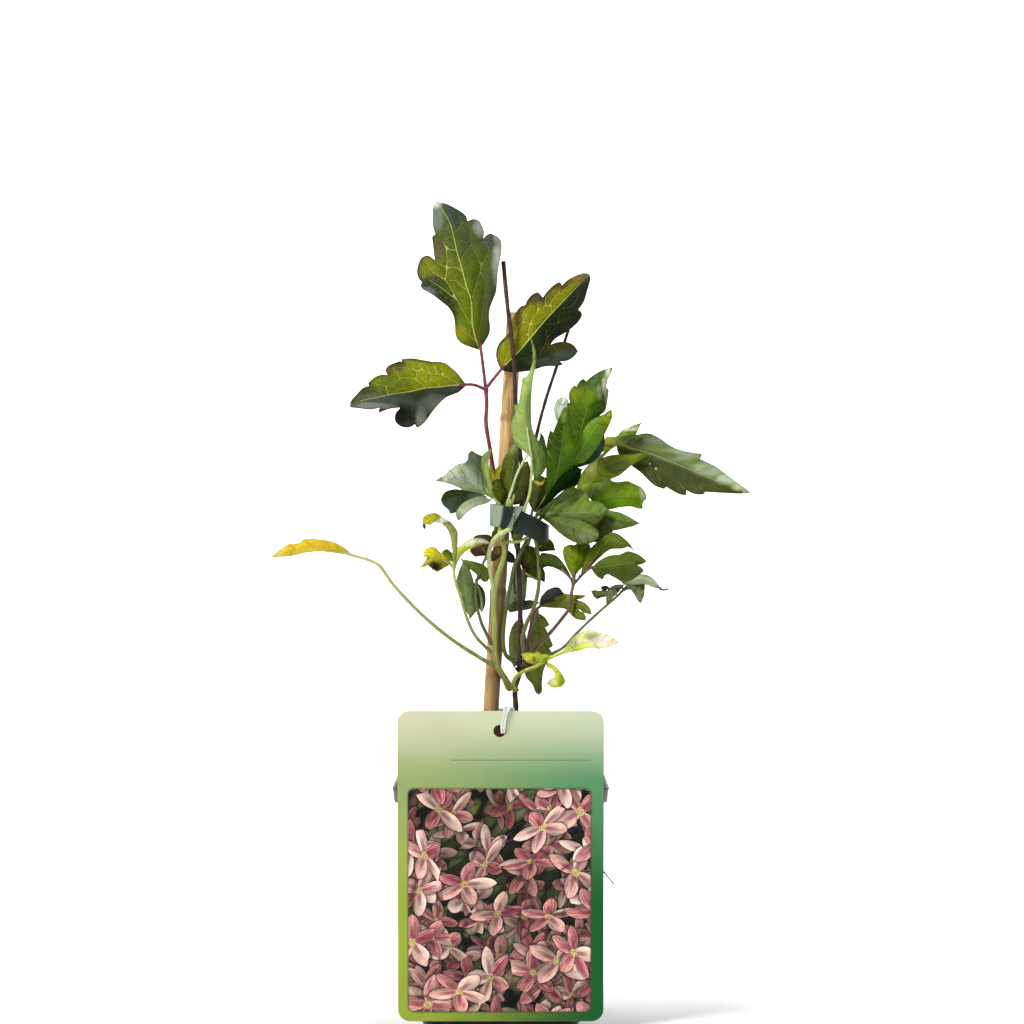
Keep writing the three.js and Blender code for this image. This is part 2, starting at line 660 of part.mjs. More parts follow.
part(
  "main_stem",
  [
    stalk(1.3, 1.1, WOODY_FOOT, 7),
    stalk(1.7, 1.5, [[513.6, 690, 0], [517.4, 687.5, 0]], 7),
    stalk(1.6, 2, [[517, 671.5, 0], [523, 667, 0], [532, 664, 0]], 7),
    stalk(1.4, 1.2, [[523, 669, 0], [516.5, 661, 0]], 7),
    stalk(1.05, 0.9, [[519.5, 665, 0], [519.6, 640, 0], [520.3, 604, 0], [518, 552, 0], [519.5, 520, -0.8],
      [522.4, 496.5, -1.6], [522.4, 471.6, -2.8], [519.6, 448.6, -4.8], [515.7, 404.6, -7],
      [514.1, 364, -9.2], [511.6, 339, -9.8], [507.5, 306, -8.8], [503.3, 261.6, -4.5]], 6),
    stalk(0.8, 0.65, [[519.5, 528, -0.5], [525, 505, 0.6], [530.5, 475, 1], [535.8, 439, 1.6],
      [545.4, 401, 3.6], [556.9, 366, 7], [568.4, 330, 12]]),
  ],
  FINISH.bark,
);

// ---- Tape, staple, label and its loop ---------------------------------------------------------------------------

// A flat band's outline: an oval with squarish ends.
function oval(halfWidth, halfDepth, steps = 28) {
  const outline = [];
  for (let i = 0; i < steps; i++) {
    const angle = (i / steps) * 2 * Math.PI;
    const round = (value) => Math.sign(value) * Math.abs(value) ** (2 / TAPE.power);
    outline.push(new THREE.Vector2(halfWidth * round(Math.cos(angle)), halfDepth * round(Math.sin(angle))));
  }
  return outline;
}

// The band hangs lower and is pinched narrower towards its right end.
function onTape(x, y, below) {
  const right = x + TAPE.halfWidth;
  const droop = TAPE.droop[0] * right + TAPE.droop[1] * right * right;
  const narrow = 1 - TAPE.pinch * Math.max(0, right - TAPE.pinchFrom);
  return [x + TAPE.centre[0], y + TAPE.centre[1], TAPE.top - droop - below * narrow];
}

function tapeSolid() {
  const band = new THREE.Shape(oval(TAPE.halfWidth, TAPE.halfDepth));
  band.holes.push(new THREE.Path(oval(TAPE.halfWidth - TAPE.thickness, TAPE.halfDepth - TAPE.thickness)));
  const wrap = new THREE.ExtrudeGeometry(band, { depth: TAPE.height, bevelEnabled: false });
  const tail = new THREE.BoxGeometry(9, TAPE.thickness, TAPE.height * 0.9, 3, 1, 1);
  tail.rotateY(-0.1);
  tail.translate(-1.5, -TAPE.halfDepth - TAPE.thickness * 0.4, TAPE.height / 2);
  return [wrap, tail].map((geometry) => {
    const position = geometry.attributes.position;
    for (let i = 0; i < position.count; i++) {
      position.setXYZ(i, ...onTape(position.getX(i), position.getY(i), TAPE.height - position.getZ(i)));
    }
    return toSolid(geometry);
  });
}

part("tie_tape", tapeSolid(), FINISH.tape);

function stapleSolid() {
  const front = -TAPE.halfDepth - TAPE.thickness * 0.9 - GAP - STAPLE.wire / 2;
  const bar = new THREE.BoxGeometry(STAPLE.wire, STAPLE.wire, STAPLE.length);
  bar.rotateY(STAPLE.turn);
  bar.translate(...onTape(STAPLE.x - TAPE.centre[0], front, STAPLE.below));
  return toSolid(bar);
}

part("staple", [stapleSolid()], FINISH.wire);

const LABEL_LEAN = Math.atan2(LABEL_HEAD_Y - LABEL_FOOT_Y, LABEL.height);

// The card's middle plane leans forward on the pot's rim: x across, height up the card, off in front of it.
function onLabel(x, height, off = 0) {
  return new THREE.Vector3(
    x,
    LABEL_FOOT_Y + height * Math.sin(LABEL_LEAN) - off * Math.cos(LABEL_LEAN),
    LABEL.bottom + height * Math.cos(LABEL_LEAN) - off * Math.sin(LABEL_LEAN) * -1,
  );
}

function labelSolid() {
  const w = LABEL.width / 2;
  const r = LABEL.corner;
  const card = new THREE.Shape();
  card.moveTo(-w + r, 0);
  card.lineTo(w - r, 0);
  card.absarc(w - r, r, r, -Math.PI / 2, 0, false);
  card.absarc(w - r, LABEL.height - r, r, 0, Math.PI / 2, false);
  card.absarc(-w + r, LABEL.height - r, r, Math.PI / 2, Math.PI, false);
  card.absarc(-w + r, r, r, Math.PI, 1.5 * Math.PI, false);
  const hole = new THREE.Path();
  hole.absarc(-0.4, LABEL.height - LABEL.holeDrop, LABEL.holeRadius, 0, 2 * Math.PI, true);
  card.holes.push(hole);
  const sheet = new THREE.ExtrudeGeometry(card, { depth: LABEL.thickness, bevelEnabled: false, curveSegments: 5 });
  sheet.translate(0, 0, -LABEL.thickness / 2);
  sheet.rotateX(Math.PI / 2 - LABEL_LEAN);
  sheet.translate(0, LABEL_FOOT_Y, LABEL.bottom);
  return toSolid(sheet);
}

part("hang_label", [labelSolid()], FINISH.card);

// A flat strap through stations, each a point and the direction of the strap's width there.
function strap(stations, steps) {
  const path = new THREE.CatmullRomCurve3(stations.map(([point]) => point), false, "centripetal");
  const widths = new THREE.CatmullRomCurve3(stations.map(([, width]) => width), false, "centripetal");
  const rings = [];
  for (let i = 0; i <= steps; i++) {
    const along = path.getTangent(i / steps);
    const width = widths.getPoint(i / steps);
    width.addScaledVector(along, -width.dot(along)).setLength(STRAP.width / 2);
    const thick = new THREE.Vector3().crossVectors(along, width).setLength(STRAP.thickness / 2);
    const centre = path.getPoint(i / steps);
    rings.push(
      [[1, 1], [-1, 1], [-1, -1], [1, -1]].map(([w, t]) =>
        centre.clone().addScaledVector(width, w).addScaledVector(thick, t),
      ),
    );
  }
  return toSolid(loft(rings));
}

// The flat loop: out of the punched hole, up the card's face, over its top edge, back round cane and stem,
// and forward again to the back of the hole. Its two ends meet in a small button behind the cane.
function labelTieSolids() {
  const hole = LABEL.height - LABEL.holeDrop;
  const up = new THREE.Vector3(0, 0, 1);
  const across = new THREE.Vector3(1, 0, 0);
  const between = new THREE.Vector3(0.7, 0, 0.7);
  const at = (x, y, z) => new THREE.Vector3(x, y, z);
  const stations = [
    [at(2, 8.4, 128), up],
    [at(9.5, 7, 128.4), up],
    [at(12.5, 0, 129.4), up],
    [at(9, -20, 131), between],
    [at(5, -38, 132.6), across],
    [onLabel(3.4, LABEL.height + 1.3, -1.4), across],
    [onLabel(2.6, LABEL.height + 1.3, 0.6), across],
    [onLabel(1.6, LABEL.height - 1, 1.3), across],
    [onLabel(0.6, hole + 3.5, 1.2), across],
    [onLabel(-0.2, hole + 0.7, 0.9), across],
    [onLabel(-0.4, hole - 0.2, -0.6), across],
    [onLabel(-0.8, hole - 0.2, -2.4), across],
    [at(-4.4, -36, 123.6), across],
    [at(-8.5, -20, 125.2), between.clone().multiply(at(-1, 1, 1))],
    [at(-11, -2, 126.8), up],
    [at(-8.6, 7, 127.6), up],
    [at(-0.8, 8.4, 128), up],
  ];
  const button = new THREE.BoxGeometry(6, 2, 4.4);
  button.translate(0.6, 8.4, 128);
  return [strap(stations, 60), toSolid(button)];
}

part("label_tie", labelTieSolids(), FINISH.strap);
part("dry_stalk", [stalk(0.4, 0.32, [[572, 832, -42.7], [590, 852, -42.3], [605.3, 873.7, -41.7], [613.6, 883.6, -41]])],
  FINISH.dry);

// ---- Leaves above the tape ---------------------------------------------------------------------------------------

part(
  "leaf_top",
  [
    stalk(1, 0.85, [[517.5, 548, 2.6], [510, 524, 4.8], [506, 508, 4.9], [499, 491, 4.8], [493, 467, 0.6], [489.5, 446, -2.6],
      [485.9, 422, -5], [486.7, 405.6, -6], [485.9, 388, -6.5]]),
    stalk(0.75, 0.6, [[486, 392, -6.5], [483.4, 369, -5.8], [480, 343, -6.4]]),
    stalk(0.75, 0.6, [[486.5, 390, -6.5], [474.3, 385, -7.4], [460, 384.6, -9.6]]),
    stalk(0.75, 0.6, [[485.5, 389, -6.5], [493.4, 379, -6.4], [504, 366, -6.1]]),
    blade(TOP_MIDDLE),
    blade(TOP_LEFT),
    blade(TOP_RIGHT),
  ],
  FINISH.olive,
);
part(
  "leaf_narrow",
  [
    stalk(0.8, 0.6, [[520.5, 531, -3.6], [521.5, 521, -6], [525, 508, -7.2], [530, 492.6, -7.8], [533.5, 474, -8]]),
    stalk(0.7, 0.6, [[507, 511, -7.5], [509.5, 500, -8.4], [514.9, 484, -10.6], [520.7, 467, -11.4],
      [530, 450, -9.6]]),
    blade(NARROW),
  ],
  FINISH.bright,
);
part(
  "shoot_left_upper",
  [
    stalk(1.4, 0.9, [[509.3, 687.5, -1.6], [505, 679, -3.4], [498, 667, -4.8], [495, 650, -5.2], [495, 628.5, -5.1],
      [494, 603, -5.1], [497, 579, -5.1], [504, 555, -5.4], [503, 541.7, -5.6], [500.5, 520, -5.4], [499, 504, -5.2], [488, 490, -5.2]]),
    stalk(0.85, 0.75, [[494.5, 655, -5.1], [492.8, 630, -4.9], [488.6, 600, -3.2], [488.4, 562, -2.6],
      [491, 549, -3.8], [497.2, 540.5, -5.3], [505.8, 533, -5.8], [511.6, 526, -5.9], [508, 500, -5.6]]),
    stalk(0.6, 0.6, [[504, 538, -5.6], [499.5, 516, -5.6], [500, 494, -5.4]]),
    stalk(0.6, 0.6, [[510.5, 530, -5.8], [511, 512, -5.4], [514, 494, -5]]),
    blade(GREY_UPPER),
    blade(GREY_LOWER),
    blade(UPRIGHT_OLIVE),
    blade(OLIVE_BEHIND),
    blade(OLIVE_LEFT),
  ],
  FINISH.grey,
);
part(
  "shoot_right_front",
  [
    stalk(0.9, 0.75, [[525, 657.5, -3], [522.5, 639, -3], [526.8, 623, -2.6], [533.7, 608, -2.2], [538.3, 589, -1.8],
      [539, 566, -1.4], [536.5, 545, -2], [533, 528, -3.4], [541, 506, -4.9], [555, 482, -8.4]]),
    stalk(0.6, 0.55, [[534.5, 532, -2.6], [531.5, 515, -1.8], [539, 492, -3.6]]),
    stalk(0.55, 0.5, [[538.5, 556, -1.4], [535.5, 548, -1], [541, 545.5, -1]]),
    stalk(0.55, 0.5, [[538.7, 580, -1.6], [530, 576, -3.4], [526, 573.5, -3.8]]),
    blade(BRIGHT_MIDDLE),
    blade(BRIGHT_LEFT),
    blade(FOLDED_BEHIND),
    blade(DARK_TIP),
    blade(DARK_LOW),
  ],
  FINISH.bright,
);
part(
  "shoot_right_back",
  [
    stalk(0.85, 0.7, [[524.3, 590, 1.3], [525.5, 575, 3], [525, 560, 3.6], [530, 538, 3.4], [540, 519, 3.2], [556, 502, 3.8],
      [580, 480, 4.4], [604, 454, 3.8], [617, 444.5, 3.2], [636, 450, 1.4]]),
    stalk(0.7, 0.6, [[578, 482, 4.4], [590, 483, 4.2], [604, 490, 3.4]]),
    stalk(0.6, 0.5, [[584, 476, 4.4], [594, 478, 3.8], [606, 468.5, 2.6]]),
    stalk(0.6, 0.5, [[604, 454, 3.9], [612, 447, 4.2], [622, 439, 5.8]]),
    blade(DROOPING),
    blade(DROOPING_FOLD),
    blade(LIME_UPPER),
    blade(LIME_LOWER),
  ],
  FINISH.lime,
);
part(
  "leaf_fan",
  [
    stalk(0.9, 0.75, [[513.5, 661, -4], [506, 655, -5], [503, 640, -5], [507, 603, -3.6], [510.7, 583.5, -2.8],
      [514.5, 566, -2.8], [520.7, 552, -3], [526.5, 541, -1], [531, 530, 0], [538, 514.6, 0.7], [556, 514, -0.6]]),
    blade(FAN),
  ],
  FINISH.grey,
);

// ---- Leaves below the tape ----------------------------------------------------------------------------------------

part(
  "leaf_yellow_long",
  [
    stalk(0.9, 0.6, [[492.2, 665, -6.6], [467.5, 650, -10.5], [447.7, 636.4, -14], [424, 616.6, -18],
      [408, 601, -20.4], [392, 583, -22.4], [378.5, 565, -23.6], [368.6, 560, -24.2], [352.8, 555.4, -24.3],
      [338, 550.5, -26]]),
    blade(GOLDEN),
  ],
  FINISH.gold,
);
part(
  "leaf_yellow_small",
  [
    stalk(0.75, 0.6, [[490.5, 652, -6.8], [486, 647.5, -8], [475.4, 636, -11], [466.8, 618, -14],
      [460, 595.6, -16], [455, 580, -17], [453, 563, -17.4]]),
    stalk(0.5, 0.45, [[454, 570, -17.2], [457, 561, -16.8], [463, 552, -15.2]]),
    stalk(0.5, 0.45, [[454, 570, -17.2], [450, 564, -17.6], [441, 559.5, -20]]),
    blade(CURLED_STRAP),
    blade(SPOTTED),
    blade(YELLOW_WING),
    blade(SMALL_DARK),
  ],
  FINISH.gold,
);
part(
  "leaf_dry",
  [stalk(0.5, 0.45, [[490.6, 561, -4.6], [489, 556.5, -5.2], [483, 549, -6.6]]), blade(DRY)],
  FINISH.dry,
);
part(
  "leaf_strap",
  [
    stalk(0.75, 0.6, [[490.8, 643, -5.6], [486, 633, -5.6], [481.3, 622.6, -5.8], [476.4, 603, -6.6],
      [475.6, 587, -7], [479.3, 573, -7], [486, 557, -6.2]]),
    stalk(0.55, 0.5, [[476.5, 580, -7], [482, 576, -7.2], [478, 567.5, -7.6], [464, 561, -7.9], [464, 572, -7.6]]),
    stalk(0.5, 0.45, [[475.5, 584, -6.9], [478.5, 590, -6.4], [480, 596, -6.3]]),
    blade(STRAP_UPPER),
    blade(STRAP_HANGING),
    blade(STRAP_SMALL),
  ],
  FINISH.grey,
);
part(
  "leaf_right_lower",
  [
    stalk(0.85, 0.7, [[529.5, 659.5, -3.4], [535.7, 648, -6], [550, 633, -9], [564, 616, -11.6], [569.6, 608, -12.4],
      [571.3, 594, -12.6], [574.4, 580, -12]]),
    stalk(0.55, 0.5, [[573.6, 584, -12.1], [574.5, 577, -11.6], [575, 566, -10]]),
    stalk(0.55, 0.5, [[573, 585, -12.2], [571, 579, -11.6], [562, 570, -9.8]]),
    stalk(0.6, 0.5, [[573, 585, -12.2], [583, 573.6, -12], [592, 561, -12.4]]),
    stalk(0.55, 0.5, [[580, 576.5, -12.1], [592.7, 567, -13.2], [606, 566.2, -16]]),
    blade(LOWER_BACK),
    blade(LOWER_TOP),
    blade(LOWER_WING),
    blade(LOWER_FRONT),
  ],
  FINISH.bright,
);
part(
  "leaf_right_curled",
  [
    stalk(0.7, 0.55, [[536.5, 661.5, 1], [550, 654.5, 4], [562.5, 648, 6.4], [576.8, 633, 9.2], [594.6, 616, 11.6],
      [607, 605, 12.4], [618.6, 595, 12.8], [625, 588, 13.2], [634, 582, 14.6]]),
    stalk(0.5, 0.45, [[621, 592, 13], [628, 588.6, 12.2], [635, 590, 10.8]]),
    stalk(0.5, 0.45, [[623, 590, 13.1], [622, 587, 12.6], [614, 592, 10]]),
    stalk(0.45, 0.45, [[617, 596.5, 12.8], [616, 594, 11.8], [606, 593.6, 11.6]]),
    blade(CURLED_PALE),
    blade(CURLED_HANGING),
    blade(CURLED_DARK),
    blade(CURLED_TIP),
  ],
  FINISH.grey,
);
part(
  "leaf_pale",
  [
    stalk(0.85, 0.6, [[515.2, 690, -2.3], [514.4, 684, -4], [516, 677, -5.6], [525, 670.5, -7.6],
      [535.7, 666.5, -10], [550, 658, -12.6], [562.5, 652.7, -15], [580, 644.5, -19.2]]),
    stalk(0.5, 0.45, [[546, 660.5, -12], [540, 658.4, -13.8], [534, 658.6, -16]]),
    stalk(0.5, 0.45, [[545, 661, -11.8], [550, 664.5, -13.4], [557, 671, -16.4]]),
    blade(CREAM),
    blade(CREAM_LOBE),
    blade(CREAM_CURL),
  ],
  FINISH.cream,
);
part(
  "leaf_hanging",
  [
    stalk(0.75, 0.6, [[524.5, 661, 3], [528, 640, 4.6], [534, 618, 5], [537, 609.5, 5.4], [538, 622, 7.4]]),
    stalk(0.6, 0.5, [[526.5, 648, 4.2], [523, 626, 5], [520.6, 616, 5.8], [519.5, 630, 8.6]]),
    blade(HANGING),
    blade(HANGING_SIDE),
  ],
  FINISH.dark,
);
part(
  "leaf_fingered",
  [
    stalk(0.75, 0.6, [[527, 654, -5.2], [528, 640, -5.4], [530.6, 627, -5.2], [533, 616, -5], [539, 607, -5.1],
      [554, 600.5, -6.8]]),
    blade(FINGERED),
  ],
  FINISH.olive,
);
part(
  "leaf_back",
  [
    stalk(0.6, 0.5, [[515.4, 593, 1], [514, 580, 3.6], [516, 566, 4.8], [518.4, 562.5, 5], [518, 574, 7.4]]),
    blade(BACK_HANGING),
  ],
  FINISH.grey,
);

export default plant;
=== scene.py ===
"""A young clematis in its nursery pot, tied to a cane and carrying a printed hang label.

Lengths are in millimetres until a piece is finished, when its points go over to Blender's metres.
"""

import functools
import logging
import math
import random
from collections.abc import Callable, Mapping, Sequence
from dataclasses import dataclass
from enum import Enum

import bpy
import numpy as np
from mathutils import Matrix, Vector, geometry, noise


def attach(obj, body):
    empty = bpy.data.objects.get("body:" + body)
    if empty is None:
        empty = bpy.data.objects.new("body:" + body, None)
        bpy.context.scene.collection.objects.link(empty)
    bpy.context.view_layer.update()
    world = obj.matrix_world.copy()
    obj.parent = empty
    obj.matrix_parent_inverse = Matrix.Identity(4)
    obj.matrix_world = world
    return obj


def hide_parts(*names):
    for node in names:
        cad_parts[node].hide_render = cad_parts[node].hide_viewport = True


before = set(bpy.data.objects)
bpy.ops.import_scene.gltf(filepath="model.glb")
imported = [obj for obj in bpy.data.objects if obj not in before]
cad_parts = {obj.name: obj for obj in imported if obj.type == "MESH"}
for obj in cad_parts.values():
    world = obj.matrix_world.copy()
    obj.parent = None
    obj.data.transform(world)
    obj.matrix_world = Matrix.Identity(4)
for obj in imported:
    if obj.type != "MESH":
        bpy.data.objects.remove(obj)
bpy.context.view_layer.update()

LOG = logging.getLogger("potted_clematis")

METRE = 0.001
MM_PER_PIXEL = 0.4245
AXIS_COLUMN = 512
AXIS_ROW = 512
POT_COLUMN = 501
BASE_ROW = 1016
IMAGE_SIDE = 1024
VIEW_DISTANCE = 1500
AXIS_X = (AXIS_COLUMN - POT_COLUMN) * MM_PER_PIXEL
AXIS_Z = (BASE_ROW - AXIS_ROW) * MM_PER_PIXEL

Colour = tuple[float, float, float, float]
Spot = tuple[float, ...]
Line = tuple[Spot, ...]
Vein = tuple[np.ndarray, float, float]


# ---- Shader expressions ----


def paint(code: str) -> Colour:
    """Turn a #rrggbb colour into linear light.

    Args:
        code: The colour as seven characters.

    Returns:
        Red, green, blue and an alpha of one.
    """
    shares = [int(code[i : i + 2], 16) / 255 for i in (1, 3, 5)]
    linear = [s / 12.92 if s <= 0.04045 else ((s + 0.055) / 1.055) ** 2.4 for s in shares]
    return (linear[0], linear[1], linear[2], 1.0)


class Signal:
    """A value that runs through a material, with Python's arithmetic."""

    def __init__(self, shader: "Shader", socket: bpy.types.NodeSocket) -> None:
        """Keep the material and the socket that gives the value."""
        self.shader = shader
        self.socket = socket

    def maths(self, operation: str, *values: "Signal | float") -> "Signal":
        """Put values through one Math node.

        Args:
            operation: Blender's name of the operation.
            *values: Its operands in order.

        Returns:
            The result.
        """
        return self.shader.node("ShaderNodeMath", {"operation": operation}, dict(enumerate(values)))

    def __add__(self, other: "Signal | float") -> "Signal":
        """Sum."""
        return self.maths("ADD", self, other)

    __radd__ = __add__

    def __sub__(self, other: "Signal | float") -> "Signal":
        """Difference."""
        return self.maths("SUBTRACT", self, other)

    def __rsub__(self, other: "Signal | float") -> "Signal":
        """Difference from a number."""
        return self.maths("SUBTRACT", other, self)

    def __mul__(self, other: "Signal | float") -> "Signal":
        """Product."""
        return self.maths("MULTIPLY", self, other)

    __rmul__ = __mul__

    def __truediv__(self, other: "Signal | float") -> "Signal":
        """Quotient."""
        return self.maths("DIVIDE", self, other)

    def __pow__(self, other: "Signal | float") -> "Signal":
        """Power."""
        return self.maths("POWER", self, other)

    def __abs__(self) -> "Signal":
        """Size without its sign."""
        return self.maths("ABSOLUTE", self)

    def under(self, other: "Signal | float") -> "Signal":
        """The smaller of the two."""
        return self.maths("MINIMUM", self, other)

    def over(self, other: "Signal | float") -> "Signal":
        """The larger of the two."""
        return self.maths("MAXIMUM", self, other)

    def rise(self, start: float, end: float) -> "Signal":
        """Go softly from 0 to 1 between two values.

        Args:
            start: Where the result is 0.
            end: Where it is 1, which may be below the start.

        Returns:
            The soft step.
        """
        if end < start:
            return 1 - self.rise(end, start)
        values = {"Value": self, "From Min": start, "From Max": end}
        return self.shader.node("ShaderNodeMapRange", {"interpolation_type": "SMOOTHSTEP"}, values)

    def parts(self) -> "tuple[Signal, Signal, Signal]":
        """Split a vector into its three numbers."""
        split = self.shader.node("ShaderNodeSeparateXYZ", {}, {"Vector": self})
        outputs = split.socket.node.outputs
        return (split, Signal(self.shader, outputs[1]), Signal(self.shader, outputs[2]))


class Shader:
    """One material under construction, around a Principled shader."""

    def __init__(self, name: str, **constants: float) -> None:
        """Start a material.

        Args:
            name: The material's name.
            **constants: Values that are the same all over, by socket name with underscores for spaces.
        """
        self.material = bpy.data.materials.new(name)
        self.material.use_nodes = True
        self.tree = self.material.node_tree
        self.surface = self.tree.nodes["Principled BSDF"]
        for socket, value in constants.items():
            self.surface.inputs[socket.replace("_", " ")].default_value = value

    def node(
        self,
        kind: str,
        settings: Mapping[str, object],
        values: "Mapping[str | int, Signal | float | Sequence[float]]",
        output: str | int = 0,
    ) -> Signal:
        """Add a node.

        Args:
            kind: The node's type.
            settings: Its properties, set first.
            values: Numbers, colours or signals for its sockets.
            output: The socket that is handed back.

        Returns:
            The chosen output.
        """
        made = self.tree.nodes.new(kind)
        for name, value in settings.items():
            setattr(made, name, value)
        for key, value in values.items():
            if isinstance(value, Signal):
                self.tree.links.new(value.socket, made.inputs[key])
            else:
                made.inputs[key].default_value = value
        return Signal(self, made.outputs[output])

    def feed(self, socket: str, value: "Signal | Colour") -> None:
        """Give one of the surface's sockets a signal or a colour."""
        if isinstance(value, Signal):
            self.tree.links.new(value.socket, self.surface.inputs[socket])
        else:
            self.surface.inputs[socket].default_value = value

    def mix(self, first: "Signal | Colour", second: "Signal | Colour", share: "Signal | float") -> Signal:
        """Blend two colours.

        Args:
            first: The colour where the share is 0.
            second: The colour where the share is 1.
            share: How much of the second.

        Returns:
            The blend.
        """
        return self.node("ShaderNodeMix", {"data_type": "RGBA"}, {0: share, 6: first, 7: second}, 2)

    def shade(self, colour: "Signal | Colour", light: "Signal | float") -> Signal:
        """Make a colour lighter or darker by a factor."""
        return self.node("ShaderNodeVectorMath", {"operation": "SCALE"}, {0: bare(colour), "Scale": light})

    def vector(self, operation: str, first: Signal, second: "Signal | Spot") -> Signal:
        """Put two vectors through one Vector Math node."""
        return self.node("ShaderNodeVectorMath", {"operation": operation}, {0: first, 1: second})

    def turned(self, spot: Signal, angle: "Signal | float") -> Signal:
        """Turn a place about the third axis."""
        settings = {"rotation_type": "Z_AXIS"}
        return self.node("ShaderNodeVectorRotate", settings, {"Vector": spot, "Angle": angle})

    def joined(self, x: Signal, y: Signal, z: "Signal | float" = 0.0) -> Signal:
        """Join three numbers into a vector."""
        return self.node("ShaderNodeCombineXYZ", {}, {"X": x, "Y": y, "Z": z})

    def named(self, name: str) -> Signal:
        """A vector that the mesh carries at its points."""
        return self.node("ShaderNodeAttribute", {"attribute_name": name}, {}, "Vector")

    def where(self, stretch: Spot = (1.0, 1.0, 1.0)) -> Signal:
        """The place on the piece in millimetres, stretched along each axis."""
        spot = self.node("ShaderNodeTexCoord", {}, {}, "Object")
        return self.vector("MULTIPLY", spot, tuple(s / METRE for s in stretch))

    def grain(self, spot: Signal, size: float, detail: float = 3.0) -> Signal:
        """Soft random clouds.

        Args:
            spot: The place in millimetres.
            size: The size of one cloud.
            detail: How many finer layers it has.

        Returns:
            A value about 0.5.
        """
        return self.node("ShaderNodeTexNoise", {}, {"Vector": spot, "Scale": 1 / size, "Detail": detail})

    def net(self, spot: Signal, size: float) -> Signal:
        """Distance from the threads of a net with cells of the given size, in cells."""
        settings = {"feature": "DISTANCE_TO_EDGE"}
        return self.node("ShaderNodeTexVoronoi", settings, {"Vector": spot, "Scale": 1 / size})

    def relief(self, height: Signal, depth: float) -> None:
        """Raise the surface by a height between 0 and 1, whose full step is the given depth."""
        values = {"Height": height, "Strength": 1.0, "Distance": depth * METRE}
        self.feed("Normal", self.node("ShaderNodeBump", {}, values))


def bare(colour: "Signal | Colour") -> "Signal | Spot":
    """A colour as a vector socket takes it, without its alpha."""
    return colour if isinstance(colour, Signal) else colour[:3]


# ---- Finishes ----


